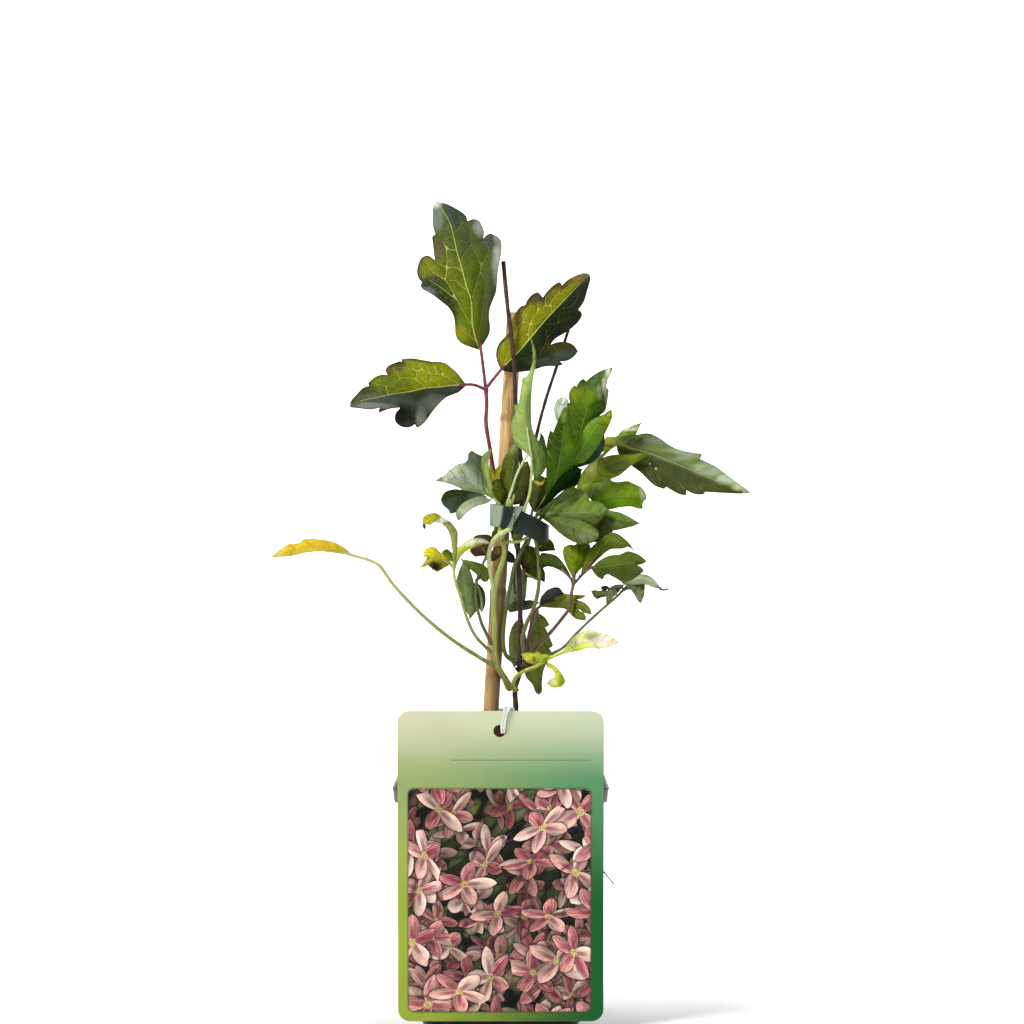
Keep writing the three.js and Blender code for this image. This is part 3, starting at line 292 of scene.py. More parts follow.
@dataclass(frozen=True)
class LeafFinish:
    """The looks of one leaf blade.

    Attributes:
        name: The material's name.
        left: The left half's colour, partly the leaf's own and partly painted light and shade.
        right: The right half's colour, the same mix; on most blades the half painted in shade.
        margin: The colour of the thin line along the edge.
        vein: The veins' colour.
        glow: A painted backlit glow beside the rib, as wide as the reach in millimetres.
        rim: A darker colour along the edge, as wide as its reach: partly the margin's bronze tint, partly
            painted shade.
        vein_strength: How much the veins show.
        net_strength: How much the net between them shows.
        tip: The tip's colour, from a share of the way along.
        foot: The foot's colour, to a share of the way along.
        patch: The colour of patches, and their size.
        under: The colour of the back.
        gloss: How strongly the surface mirrors light.
        dark_veins: How much the veins show on the right half, mostly the half painted in shade.
        touches: Soft ovals of colour, each a column, a row, half sizes and a colour; they paint highlights,
            sheens and shadows as well as the leaf's own markings.
    """

    name: str
    left: str
    right: str
    margin: str
    vein: str
    glow: str = ""
    glow_reach: float = 6.0
    margin_width: float = 0.7
    rim: str = ""
    rim_reach: float = 4.5
    vein_strength: float = 0.6
    net_strength: float = 0.25
    tip: str = ""
    tip_from: float = 0.7
    foot: str = ""
    foot_to: float = 0.25
    patch: str = ""
    patch_size: float = 9.0
    under: str = "#8c9c78"
    roughness: float = 0.42
    gloss: float = 0.07
    dark_veins: float = 0.35
    touches: tuple[tuple[float, float, float, float, str], ...] = ()

    CLOUD_SIZE = 7.0
    FINE_SIZE = 0.9
    CELL_SIZE = 1.7
    NET_SIZE = 4.4

    @functools.cache
    def material(self) -> bpy.types.Material:
        """Build the material once.

        Returns:
            The material with halves, veins, net, margin, tip and patches.
        """
        shader = Shader(self.name, Specular_IOR_Level=self.gloss)
        along, across, edge = shader.named("place").parts()
        rib, vein, below = shader.named("veins").parts()
        spot = shader.where()
        cloud = shader.grain(spot, self.CLOUD_SIZE, 4.0)
        fine = shader.grain(spot, self.FINE_SIZE, 2.0)
        # The halves' colours paint one half lit and the other in shade, together with the leaf's own tint.
        half = (across + (cloud - 0.5) * 0.8).rise(-0.5, 0.5)
        colour = shader.mix(paint(self.left), paint(self.right), half)
        # Painted light: a backlit glow along the rib.
        if self.glow:
            near = (abs(across) / self.glow_reach).rise(1.0, 0.0) * 0.85
            colour = shader.mix(colour, paint(self.glow), near)
        for code, start, end in ((self.foot, self.foot_to, 0.0), (self.tip, self.tip_from, 1.0)):
            if code:
                way = along + (cloud - 0.5) * 0.3
                colour = shader.mix(colour, paint(code), way.rise(start, end))
        if self.patch:
            patches = shader.grain(spot, self.patch_size, 2.0).rise(0.495, 0.62)
            colour = shader.mix(colour, paint(self.patch), patches * 0.8)
        # The rim is partly the margin's own bronze tint and partly painted shade towards the edge.
        if self.rim:
            band = (edge + (cloud - 0.5) * self.rim_reach).rise(self.rim_reach, 0.0)
            colour = shader.mix(colour, paint(self.rim), band * 0.9)
        colour = self._touched(shader, colour, cloud)
        # Painted light and shade: random clouds of lighter and darker tone, and lighter swellings between the
        # veins that are darker beside them.
        swell = vein.under(rib * 1.5).rise(0.5, 6.0)
        colour = shader.shade(colour, 0.44 + cloud * 0.62 + fine * 0.16 + swell * 0.16)
        cells = shader.net(spot, self.CELL_SIZE)
        coarse = shader.net(spot, self.NET_SIZE).rise(0.055, 0.015) * (self.net_strength * 0.45)
        threads = (cells.rise(0.13, 0.02) * (self.net_strength * 0.3)).over(coarse)
        lines = vein.rise(1.15, 0.4) * self.vein_strength * 0.85
        middle = rib.rise(0.8, 0.35) * min(1.0, self.vein_strength * 1.3)
        drawn = threads.over(lines) * (1 - half * (1 - self.dark_veins))
        if self.rim:
            drawn = drawn * (edge.rise(0.0, self.rim_reach * 1.4) * 0.6 + 0.4)
        drawn = drawn.over(middle)
        colour = shader.mix(colour, paint(self.vein), drawn)
        border = (edge + (fine - 0.5) * 0.5).rise(self.margin_width, 0.0) * 0.6
        colour = shader.mix(colour, paint(self.margin), border)
        backside = shader.mix(paint(self.under), paint(self.vein), drawn * 0.4)
        shader.feed("Base Color", shader.mix(colour, backside, below))
        shader.feed("Roughness", self.roughness + (fine - 0.5) * 0.2 + drawn * 0.1)
        raised = cells.under(0.3) * 0.9 + vein.under(2.0) * 0.25 + fine * 0.25
        shader.relief(raised, 0.4)
        return shader.material

    def _touched(self, shader: Shader, colour: Signal, cloud: Signal) -> Signal:
        """Lay the soft touches over the blade, each an oval given by its middle and half sizes."""
        right, down, _ = shader.named("drawing").parts()
        # The touches paint highlights, sheens and shadows as well as markings.
        for column, row, wide, high, code in self.touches:
            aside = (right + (cloud - 0.5) * wide - column) / wide
            below = (down + (cloud - 0.5) * high - row) / high
            near = (aside * aside + below * below).rise(1.8, 0.0)
            colour = shader.mix(colour, paint(code), near * 0.9)
        return colour


@dataclass(frozen=True)
class StalkFinish:
    """A leaf stalk or stem that changes colour from its foot to its end."""

    name: str
    foot: str
    end: str
    fleck: str
    roughness: float = 0.5

    RIDGES = 6

    @functools.cache
    def material(self) -> bpy.types.Material:
        """Build the material once.

        Returns:
            The material with fine lengthwise ridges and flecks.
        """
        shader = Shader(self.name, Specular_IOR_Level=0.4)
        along, around, _ = shader.named("place").parts()
        cloud = shader.grain(shader.where((1.0, 1.0, 0.35)), 1.6, 3.0)
        stripes = around.maths("SINE", around * (2 * math.pi * self.RIDGES)) * 0.5 + 0.5
        colour = shader.mix(paint(self.foot), paint(self.end), along)
        colour = shader.mix(colour, paint(self.fleck), cloud.rise(0.52, 0.75) * 0.6)
        shader.feed("Base Color", shader.shade(colour, 0.8 + stripes * 0.25 + cloud * 0.15))
        shader.feed("Roughness", self.roughness + (cloud - 0.5) * 0.25)
        hairs = shader.grain(shader.where(), 0.3, 1.0)
        shader.relief(stripes * 0.6 + hairs * 0.4, 0.12)
        return shader.material


class Bark:
    """Dark maroon vine, with a rougher and browner foot."""

    @staticmethod
    @functools.cache
    def material() -> bpy.types.Material:
        """Build the vine's material."""
        shader = Shader("vine_bark", Specular_IOR_Level=0.35)
        fibres = shader.grain(shader.where((3.0, 3.0, 0.4)), 1.6, 4.0)
        patches = shader.grain(shader.where(), 3.0, 3.0)
        colour = shader.mix(paint("#34221c"), paint("#523830"), patches.rise(0.35, 0.7))
        colour = shader.mix(colour, paint("#8a6f5c"), fibres.rise(0.58, 0.78) * 0.5)
        _, _, height = shader.where().parts()
        woody = height.rise(165.0, 125.0)
        wood = shader.mix(paint("#2e2018"), paint("#66503e"), fibres.rise(0.4, 0.7))
        shader.feed("Base Color", shader.mix(colour, wood, woody))
        shader.feed("Roughness", 0.5 + woody * 0.3)
        shader.relief(fibres, 0.35)
        return shader.material


class CutWood:
    """The pale pith of a cut stem."""

    @staticmethod
    @functools.cache
    def material() -> bpy.types.Material:
        """Build the cut face's material."""
        shader = Shader("cut_wood", Roughness=0.8)
        rings = shader.grain(shader.where(), 0.5, 3.0)
        shader.feed("Base Color", shader.mix(paint("#a8896a"), paint("#d9c6a2"), rings))
        shader.relief(rings, 0.1)
        return shader.material


class Bamboo:
    """A split-looking ochre cane with fine fibres, darker knots, a darker foot and painted shade below the
    leaves.
    """

    @staticmethod
    @functools.cache
    def material() -> bpy.types.Material:
        """Build the cane's material."""
        shader = Shader("bamboo_cane", Specular_IOR_Level=0.45, Coat_Roughness=0.35)
        _, _, length = shader.named("place").parts()
        fibres = shader.grain(shader.where((4.0, 4.0, 0.12)), 2.2, 5.0)
        stains = shader.grain(shader.where((1.0, 1.0, 0.3)), 9.0, 4.0)
        colour = shader.mix(paint("#b4864a"), paint("#dfba80"), fibres.rise(0.3, 0.7))
        colour = shader.mix(colour, paint("#7d5427"), stains.rise(0.52, 0.76) * 0.55)
        knot = Bamboo._knots(length).rise(2.6, 0.4)
        colour = shader.mix(colour, paint("#6a4722"), knot * 0.5)
        # The cane is darker towards its foot.
        dark_foot = (length + (stains - 0.5) * 12).rise(Cane.DARK_FOOT_TO, Cane.DARK_FOOT_TO - 8.0)
        colour = shader.mix(colour, paint("#3c2617"), dark_foot * 0.85)
        # Painted shade: below the leaves the cane is darkened, most on its right side.
        x, _, z = shader.where().parts()
        shaded = (x - Cane().centre(0.0) - z * Cane.lean).rise(-2.0, 3.4) * 0.6 + 0.25
        colour = shader.mix(colour, paint("#66401e"), shaded * z.rise(250.0, 185.0))
        shader.feed("Base Color", colour)
        shader.feed("Roughness", 0.42 + fibres * 0.25)
        shader.feed("Coat Weight", 0.15 * (1 - knot))
        shader.relief(fibres * 0.6 + stains * 0.4, 0.18)
        return shader.material

    @staticmethod
    def _knots(length: Signal) -> Signal:
        """Distance from the nearest knot in millimetres."""
        first = abs(length - Cane.KNOTS[0])
        for knot in Cane.KNOTS[1:]:
            first = first.under(abs(length - knot))
        return first


class PotPlastic:
    """Thin black moulded plastic with soil dust."""

    @staticmethod
    @functools.cache
    def material() -> bpy.types.Material:
        """Build the pot's material."""
        shader = Shader("black_pot_plastic", Specular_IOR_Level=0.5)
        spot = shader.where()
        dust = shader.grain(spot, 18.0, 5.0)
        fine = shader.grain(spot, 0.8, 2.0)
        flow = shader.grain(shader.where((1.0, 1.0, 0.1)), 3.0, 2.0)
        colour = shader.mix(paint("#17181a"), paint("#2c2b2a"), dust.rise(0.45, 0.75) * 0.8)
        colour = shader.mix(colour, paint("#5c5046"), (dust * fine).rise(0.28, 0.55) * 0.3)
        shader.feed("Base Color", colour)
        shader.feed("Roughness", 0.34 + dust * 0.25)
        shader.relief(fine * 0.6 + flow * 0.4, 0.1)
        return shader.material


class Peat:
    """Moist potting soil."""

    @staticmethod
    @functools.cache
    def material() -> bpy.types.Material:
        """Build the soil's material."""
        shader = Shader("peat_soil", Specular_IOR_Level=0.25)
        spot = shader.where()
        clods = shader.grain(spot, 4.0, 6.0)
        grit = shader.grain(spot, 0.7, 3.0)
        colour = shader.mix(paint("#1d130c"), paint("#4a3424"), clods.rise(0.35, 0.7))
        colour = shader.mix(colour, paint("#8a6a4a"), grit.rise(0.62, 0.75) * 0.6)
        shader.feed("Base Color", colour)
        shader.feed("Roughness", 0.8 + grit * 0.15)
        shader.relief(clods * 0.5 + grit * 0.5, 0.6)
        return shader.material


class Perlite:
    """White mineral crumbs in the soil."""

    @staticmethod
    @functools.cache
    def material() -> bpy.types.Material:
        """Build the crumbs' material."""
        shader = Shader("perlite_crumbs", Roughness=0.85)
        pores = shader.grain(shader.where(), 0.4, 3.0)
        shader.feed("Base Color", shader.mix(paint("#b9b2a4"), paint("#eeeae0"), pores.rise(0.35, 0.6)))
        shader.relief(pores, 0.2)
        return shader.material


class TapePlastic:
    """Stretchy slate-green tie tape with a soft sheen."""

    @staticmethod
    @functools.cache
    def material(lapped: bool) -> bpy.types.Material:
        """Build the tape's material.

        Args:
            lapped: Whether it is the lapped end, painted much lighter, instead of the darker band.

        Returns:
            The material.
        """
        shader = Shader("tie_tape_lap" if lapped else "tie_tape", Specular_IOR_Level=0.2)
        creases = shader.grain(shader.where((1.0, 1.0, 0.35)), 2.6, 4.0)
        cloud = shader.grain(shader.where(), 7.0, 2.0)
        across, _, _ = shader.named("place").parts()
        dark, light = (paint("#1c2820"), paint("#8f9d86")) if lapped else (paint("#1a241e"), paint("#2c3a31"))
        # Painted light and shade: the light share comes from each place's first number, with creases and
        # clouds.
        lit = (across + (creases - 0.5) * 0.5 + (cloud - 0.5) * 0.4).rise(0.25, 1.05)
        colour = shader.mix(dark, light, lit)
        shader.feed("Base Color", colour)
        shader.feed("Roughness", 0.4 + creases * 0.2)
        shader.relief(creases, 0.25)
        return shader.material


class StapleWire:
    """Bright drawn wire."""

    @staticmethod
    @functools.cache
    def material() -> bpy.types.Material:
        """Build the wire's material."""
        shader = Shader("staple_wire", Metallic=1.0)
        scratches = shader.grain(shader.where((6.0, 6.0, 1.0)), 0.5, 3.0)
        shader.feed("Base Color", shader.mix(paint("#a9abad"), paint("#e2e3e4"), scratches))
        shader.feed("Roughness", 0.22 + scratches * 0.2)
        shader.relief(scratches, 0.03)
        return shader.material


class LoopPlastic:
    """Milky flexible plastic of the label's loop."""

    @staticmethod
    @functools.cache
    def material() -> bpy.types.Material:
        """Build the loop's material."""
        shader = Shader("milky_loop", Specular_IOR_Level=0.5, Coat_Weight=0.3, Coat_Roughness=0.15)
        _, around, _ = shader.named("place").parts()
        haze = shader.grain(shader.where(), 2.4, 3.0)
        # Painted highlight: the strap is lighter at its edges and greyer across its middle.
        middle = around.rise(0.15, 0.4) * around.rise(0.85, 0.6)
        colour = shader.mix(paint("#eef0ec"), paint("#c3cbbd"), middle * 0.7)
        shader.feed("Base Color", shader.shade(colour, 0.88 + haze * 0.2))
        shader.feed("Roughness", 0.25 + haze * 0.15)
        shader.relief(haze, 0.08)
        return shader.material


class DryStem:
    """A withered grey-brown stalk."""

    @staticmethod
    @functools.cache
    def material() -> bpy.types.Material:
        """Build the dry stalk's material."""
        shader = Shader("dry_stem", Roughness=0.85)
        fibres = shader.grain(shader.where((3.0, 3.0, 0.6)), 1.2, 4.0)
        shader.feed("Base Color", shader.mix(paint("#4c3a2a"), paint("#a58b6c"), fibres.rise(0.3, 0.7)))
        shader.relief(fibres, 0.25)
        return shader.material


@dataclass(frozen=True)
class CardPrint:
    """The hang label's print: a green ground, a thin rule and a framed picture of pink blossoms."""

    picture_left: float = -38.2
    picture_right: float = 37.2
    picture_low: float = 4.0
    picture_high: float = 97.3
    picture_corner: float = 2.6
    rule_height: float = 109.1
    rule_start: float = -20.6
    rule_end: float = 36.7
    layers: tuple[Spot, ...] = (
        (18.0, 0.4, 3.0, 5, 0.4), (20.0, 1.9, 40.0, 4, 0.6), (21.0, 2.3, 160.0, 5, 0.75),
        (22.0, 2.7, 77.0, 4, 0.9), (23.0, 1.3, 201.0, 5, 1.05), (25.0, 0.9, 121.0, 4, 1.15),
        (24.0, 0.2, 303.0, 5, 1.25),
    )

    @functools.cache
    def material(self) -> bpy.types.Material:
        """Build the printed card's material."""
        shader = Shader("printed_card", Specular_IOR_Level=0.12, Coat_Weight=0.03, Coat_Roughness=0.2)
        across, up, back = shader.named("place").parts()
        inside = self._inside(across, up)
        picture = self._picture(shader, across, up)
        colour = shader.mix(self._ground(shader, across, up), picture, inside.rise(-0.15, 0.15))
        frame_line = abs(inside).rise(0.7, 0.3) * 0.45
        colour = shader.mix(colour, paint("#2b4a2c"), frame_line)
        rule = abs(up - self.rule_height).rise(0.3, 0.16)
        rule = rule * (across - self.rule_start).rise(-0.1, 0.1) * (self.rule_end - across).rise(-0.1, 0.1)
        colour = shader.mix(colour, paint("#6f8a63"), rule * 0.8)
        plain = shader.mix(paint("#e4e6da"), paint("#d2d6c4"), shader.grain(shader.where(), 12.0))
        shader.feed("Base Color", shader.mix(colour, plain, back))
        fibre = shader.grain(shader.where(), 1.1, 4.0)
        shader.feed("Roughness", 0.3 + fibre * 0.12)
        shader.relief(fibre, 0.03)
        return shader.material

    def _inside(self, across: Signal, up: Signal) -> Signal:
        """How far a place lies inside the picture's rounded frame, in millimetres."""
        middle_x = (self.picture_left + self.picture_right) / 2
        middle_z = (self.picture_low + self.picture_high) / 2
        reach_x = (self.picture_right - self.picture_left) / 2 - self.picture_corner
        reach_z = (self.picture_high - self.picture_low) / 2 - self.picture_corner
        beyond_x = abs(across - middle_x) - reach_x
        beyond_z = abs(up - middle_z) - reach_z
        corner = (beyond_x.over(0.0) ** 2 + beyond_z.over(0.0) ** 2) ** 0.5
        return self.picture_corner - corner - beyond_x.over(beyond_z).under(0.0)

    def _ground(self, shader: Shader, across: Signal, up: Signal) -> Signal:
        """The card's green, pale at the top and deep at the lower right."""
        right = (across / Label.width + 0.5).rise(0.0, 1.0)
        top = shader.mix(paint("#d6d6b4"), paint("#d2dcba"), right)
        head = shader.mix(paint("#9cae6c"), paint("#5e9668"), right)
        foot = shader.mix(paint("#a0b440"), paint("#135e2e"), right)
        upper = shader.mix(head, top, (up / Label.height).rise(0.76, 1.0))
        low = shader.mix(foot, upper, (up / Label.height).rise(0.35, 0.8))
        blotch = shader.grain(shader.where(), 22.0, 3.0)
        return shader.shade(low, 0.93 + blotch * 0.14)

    def _picture(self, shader: Shader, across: Signal, up: Signal) -> Signal:
        """Dark leafy ground with layers of blossoms."""
        spot = shader.joined(across, up)
        colour = self._foliage(shader, spot)
        for layer in self.layers:
            colour = self._blossoms(shader, colour, spot, *layer)
        mottle = shader.grain(spot, 1.6, 5.0)
        light = shader.grain(spot, 16.0, 2.0)
        return shader.shade(colour, (0.6 + mottle * 0.64) * (0.3 + light * 1.4))

    def _foliage(self, shader: Shader, spot: Signal) -> Signal:
        """Overlapping olive and green leaves that fade into shadow."""
        turned = self._turned(shader, spot, 0.7, 11.0)
        stretched = shader.vector("MULTIPLY", turned, (1.0, 0.4, 1.0))
        settings = {"voronoi_dimensions": "2D", "feature": "F1"}
        cells = shader.node("ShaderNodeTexVoronoi", settings, {"Vector": stretched, "Scale": 0.2}, "Color")
        away = Signal(shader, cells.socket.node.outputs["Distance"])
        red, green, blue = cells.parts()
        colour = shader.mix(paint("#1a2212"), paint("#64703a"), red.rise(0.3, 1.0))
        colour = shader.mix(colour, paint("#5a4438"), green.rise(0.7, 0.85))
        colour = shader.mix(colour, paint("#a8aa82"), blue.rise(0.85, 1.0) * 0.6)
        ribs = shader.grain(shader.vector("MULTIPLY", turned, (2.4, 0.2, 1.0)), 1.0)
        colour = shader.shade(colour, 0.55 + ribs * 0.9)
        return shader.mix(colour, paint("#0c0d07"), away.rise(0.25, 0.62))

    def _turned(self, shader: Shader, spot: Signal, turn: float, shift: float) -> Signal:
        """The place turned by an angle and moved."""
        return shader.turned(shader.vector("ADD", spot, (shift, shift * 0.37, 0.0)), turn)

    def _blossoms(
        self,
        shader: Shader,
        behind: Signal,
        spot: Signal,
        size: float,
        turn: float,
        shift: float,
        petals: int,
        light: float,
    ) -> Signal:
        """Lay one layer of blossoms over a colour.

        Args:
            shader: The card's material.
            behind: The colour below the blossoms.
            spot: The place on the card.
            size: Distance between blossoms.
            turn: How the layer is turned.
            shift: How it is moved.
            petals: Petals in a blossom.
            light: How bright the layer is.

        Returns:
            The colour with the blossoms.
        """
        turned = self._turned(shader, spot, turn, shift)
        settings = {"voronoi_dimensions": "2D", "feature": "F1"}
        values = {"Vector": turned, "Scale": 1 / size, "Randomness": 0.7}
        chance = shader.node("ShaderNodeTexVoronoi", settings, values, "Color")
        centre = Signal(shader, chance.socket.node.outputs["Position"])
        luck, lean, tone = chance.parts()
        x, y, _ = shader.turned(shader.vector("SUBTRACT", turned, centre), tone * 6.28).parts()
        y = y * (1 + lean * 0.75)
        angle = x.maths("ARCTAN2", y, x) / (2 * math.pi) + luck * 3
        sector = angle * petals
        number = sector.maths("FLOOR", sector)
        bend = sector - number - 0.5
        kind = shader.node("ShaderNodeTexWhiteNoise", {"noise_dimensions": "1D"}, {"W": number + luck * 50})
        swing = bend * (2 * math.pi / petals) + (kind - 0.5) * 0.25
        radius = (x * x + y * y) ** 0.5 / ((0.5 + kind * 0.1) * size)
        along = radius * swing.maths("COSINE", swing)
        aside = radius * swing.maths("SINE", swing)
        width = 0.95 * along.over(0.0) ** 0.8 * (1 - along).over(0.0) ** 0.72
        gap = width * 0.72 - abs(aside)
        streaks = shader.grain(shader.joined(along * 2.5, aside * 26, kind * 40), 1.0, 3.0)
        pink = shader.mix(paint("#96384c"), paint("#e09c92"), (streaks + kind * 0.35).rise(0.36, 0.8))
        pink = shader.mix(pink, paint("#f8d8c4"), (streaks * 0.7 + kind * 0.8).rise(0.7, 1.2))
        middle_line = (abs(aside) - 0.04).rise(0.06, 0.0) * along.rise(0.75, 0.35) * 0.7
        pink = shader.mix(pink, paint("#8a2c4c"), middle_line)
        pink = shader.mix(pink, paint("#f4dcd2"), gap.rise(0.05, 0.0) * 0.35)
        pink = shader.shade(pink, (0.68 + aside * 1.7 + along * 0.34) * light)
        shown = luck.rise(0.16, 0.18) if light < 1 else luck.rise(0.5, 0.52)
        shadow = (gap + 0.13).rise(0.0, 0.15) * 0.85
        colour = shader.mix(behind, paint("#120c0a"), shadow * shown)
        colour = shader.mix(colour, pink, gap.rise(-0.008, 0.012) * shown)
        dust = shader.grain(spot, 0.45, 2.0)
        heart = shader.mix(paint("#e8d488"), paint("#6e5a2c"), dust.rise(0.4, 0.62))
        middle = (radius + (dust - 0.5) * 0.2).rise(0.16, 0.1) * shown
        return shader.mix(colour, shader.shade(heart, light), middle)


# ---- Curves and meshes ----


def lengths_along(line: np.ndarray) -> np.ndarray:
    """How far along a line each of its points lies."""
    return np.concatenate([[0.0], np.cumsum(np.linalg.norm(np.diff(line, axis=0), axis=1))])


def evenly(points: np.ndarray, spacing: float) -> np.ndarray:
    """Spread points along a line of points.

    Args:
        points: The line.
        spacing: The wished distance between points.

    Returns:
        Points at equal steps, both ends kept.
    """
    walked = lengths_along(points)
    count = max(2, round(walked[-1] / spacing)) + 1
    at = np.linspace(0.0, walked[-1], count)
    return np.stack([np.interp(at, walked, points[:, k]) for k in range(points.shape[1])], axis=1)


def curve_through(points: Sequence[Sequence[float]], spacing: float) -> np.ndarray:
    """Run a smooth curve through points.

    Args:
        points: Points of two or three numbers.
        spacing: Distance between the curve's points.

    Returns:
        The curve's points at equal steps.
    """
    given = np.asarray(points, float)
    given = np.vstack([2 * given[0] - given[1], given, 2 * given[-1] - given[-2]])
    run = []
    for a, b, c, d in zip(given, given[1:], given[2:], given[3:]):
        gaps = [math.sqrt(np.linalg.norm(q - p)) for p, q in ((a, b), (b, c), (c, d))]
        knots = np.concatenate([[0.0], np.cumsum(gaps)])
        k0, k1, k2, k3 = np.maximum.accumulate(knots + np.arange(4) * 1e-9)
        count = max(3, math.ceil(2 * np.linalg.norm(c - b) / spacing))
        t = np.linspace(k1, k2, count, endpoint=False)[:, None]
        low = (k1 - t) / (k1 - k0) * a + (t - k0) / (k1 - k0) * b
        mid = (k2 - t) / (k2 - k1) * b + (t - k1) / (k2 - k1) * c
        top = (k3 - t) / (k3 - k2) * c + (t - k2) / (k3 - k2) * d
        first = (k2 - t) / (k2 - k0) * low + (t - k0) / (k2 - k0) * mid
        second = (k3 - t) / (k3 - k1) * mid + (t - k1) / (k3 - k1) * top
        run.append((k2 - t) / (k2 - k1) * first + (t - k1) / (k2 - k1) * second)
    run.append(given[-2:-1])
    return evenly(np.vstack(run), spacing)


def in_picture(points: Sequence[Sequence[float]]) -> np.ndarray:
    """Columns and rows as millimetres right of and above the view's axis, at the cane's depth."""
    given = np.asarray(points, float)
    return np.stack([given[:, 0] - AXIS_COLUMN, AXIS_ROW - given[:, 1]], axis=1) * MM_PER_PIXEL


def at_depth(flat: np.ndarray, depth: np.ndarray) -> np.ndarray:
    """Places in the picture plane, moved along their lines of sight to a depth behind the cane.

    Args:
        flat: Millimetres right of and above the view's axis.
        depth: Millimetres behind the cane's plane.

    Returns:
        Points in millimetres.
    """
    grow = (VIEW_DISTANCE + depth) / VIEW_DISTANCE
    return np.stack([AXIS_X + flat[:, 0] * grow, depth, AXIS_Z + flat[:, 1] * grow], axis=1)


def seen(column: float, row: float, depth: float = 0.0) -> np.ndarray:
    """The point seen at a column and row, at a depth behind the cane's plane."""
    return at_depth(in_picture([(column, row)]), np.array([depth]))[0]


def distance_to_line(points: np.ndarray, line: np.ndarray) -> tuple[np.ndarray, np.ndarray, np.ndarray]:
    """Measure points against a line.

    Args:
        points: Places in the picture plane.
        line: The line's points.

    Returns:
        Each point's distance, its share of the way along, and the side it lies on.
    """
    start = line[:-1]
    step = np.diff(line, axis=0)
    length = np.linalg.norm(step, axis=1)
    walked = lengths_along(line)
    gap = points[:, None, :] - start[None]
    share = np.clip((gap * step[None]).sum(2) / np.maximum(length**2, 1e-12), 0, 1)
    foot = gap - share[..., None] * step[None]
    far = np.linalg.norm(foot, axis=2)
    nearest = far.argmin(axis=1)
    rows = np.arange(len(points))
    along = (walked[nearest] + share[rows, nearest] * length[nearest]) / walked[-1]
    near_step = step[nearest]
    near_gap = gap[rows, nearest]
    side = np.sign(near_step[:, 0] * near_gap[:, 1] - near_step[:, 1] * near_gap[:, 0])
    return far[rows, nearest], along, side


def inside_outline(points: np.ndarray, outline: np.ndarray) -> np.ndarray:
    """Tell which points lie inside a closed outline."""
    ax, ay = outline.T
    bx, by = np.roll(outline, -1, axis=0).T
    x, y = points[:, 0:1], points[:, 1:2]
    crosses = (ay > y) != (by > y)
    reach = (bx - ax) * (y - ay) / np.where(by == ay, 1e-12, by - ay) + ax
    return ((crosses & (x < reach)).sum(axis=1) % 2).astype(bool)


def put(name: str, data: bpy.types.ID) -> bpy.types.Object:
    """Put a mesh, a lamp or a camera into the scene."""
    made = bpy.data.objects.new(name, data)
    bpy.context.scene.collection.objects.link(made)
    return made


class Piece:
    """One piece under construction, in millimetres."""

    CREASE = math.radians(40)

    def __init__(self, name: str, slot: str, *nodes: str) -> None:
        """Start an empty piece.

        Args:
            name: The piece's name.
            slot: A material slot's name; not used.
            *nodes: The solids it stands for.
        """
        self.name = name
        self.slot = slot
        self.nodes = nodes
        self.points: list[np.ndarray] = []
        self.faces: list[Sequence[int]] = []
        self.finish_of: list[int] = []
        self.finishes: list[bpy.types.Material] = []
        self.place: list[np.ndarray] = []
        self.veins: list[np.ndarray] = []
        self.drawing: list[np.ndarray] = []
        self.count = 0

    def add(
        self,
        points: np.ndarray,
        faces: Sequence[Sequence[int]],
        finish: bpy.types.Material,
        place: np.ndarray | None = None,
        veins: np.ndarray | None = None,
        drawing: np.ndarray | None = None,
    ) -> None:
        """Add a body to the piece.

        Args:
            points: Its points.
            faces: Its faces, as numbers of its own points.
            finish: Its material.
            place: A vector a point that the material reads.
            veins: A second vector a point.
            drawing: Each point's column and row.
        """
        if finish not in self.finishes:
            self.finishes.append(finish)
        nothing = np.zeros((len(points), 3))
        self.points.append(points)
        self.faces += [[i + self.count for i in face] for face in faces]
        self.finish_of += [self.finishes.index(finish)] * len(faces)
        self.place.append(nothing if place is None else place)
        self.veins.append(nothing if veins is None else veins)
        self.drawing.append(nothing if drawing is None else drawing)
        self.count += len(points)

    def build(self) -> bpy.types.Object:
        """Finish the piece.

        Returns:
            The object, riding on the plant and standing for its solids.
        """
        mesh = bpy.data.meshes.new(self.name)
        mesh.from_pydata((np.vstack(self.points) * METRE).tolist(), [], self.faces)
        for finish in self.finishes:
            mesh.materials.append(finish)
        mesh.polygons.foreach_set("material_index", self.finish_of)
        mesh.polygons.foreach_set("use_smooth", [True] * len(self.faces))
        for name, values in (("place", self.place), ("veins", self.veins), ("drawing", self.drawing)):
            layer = mesh.attributes.new(name, "FLOAT_VECTOR", "POINT")
            layer.data.foreach_set("vector", np.vstack(values).astype(np.float32).ravel())
        mesh.set_sharp_from_angle(angle=self.CREASE)
        mesh.update()
        made = put(self.name, mesh)
        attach(made, "root")
        if self.nodes:
            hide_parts(*self.nodes)
        LOG.info("%s: %d points, %d faces", self.name, len(mesh.vertices), len(mesh.polygons))
        return made


def ring_faces(rings: int, sides: int, closed: bool = False) -> list[list[int]]:
    """Faces between rings of points.

    Args:
        rings: How many rings.
        sides: Points in a ring.
        closed: Whether the last ring joins the first instead of both being capped.

    Returns:
        The faces.
    """
    faces = []
    for r in range(rings if closed else rings - 1):
        low, high = r * sides, ((r + 1) % rings) * sides
        for i in range(sides):
            j = (i + 1) % sides
            faces.append([low + i, low + j, high + j, high + i])
    if not closed:
        faces.append(list(range(sides))[::-1])
        faces.append([(rings - 1) * sides + i for i in range(sides)])
    return faces


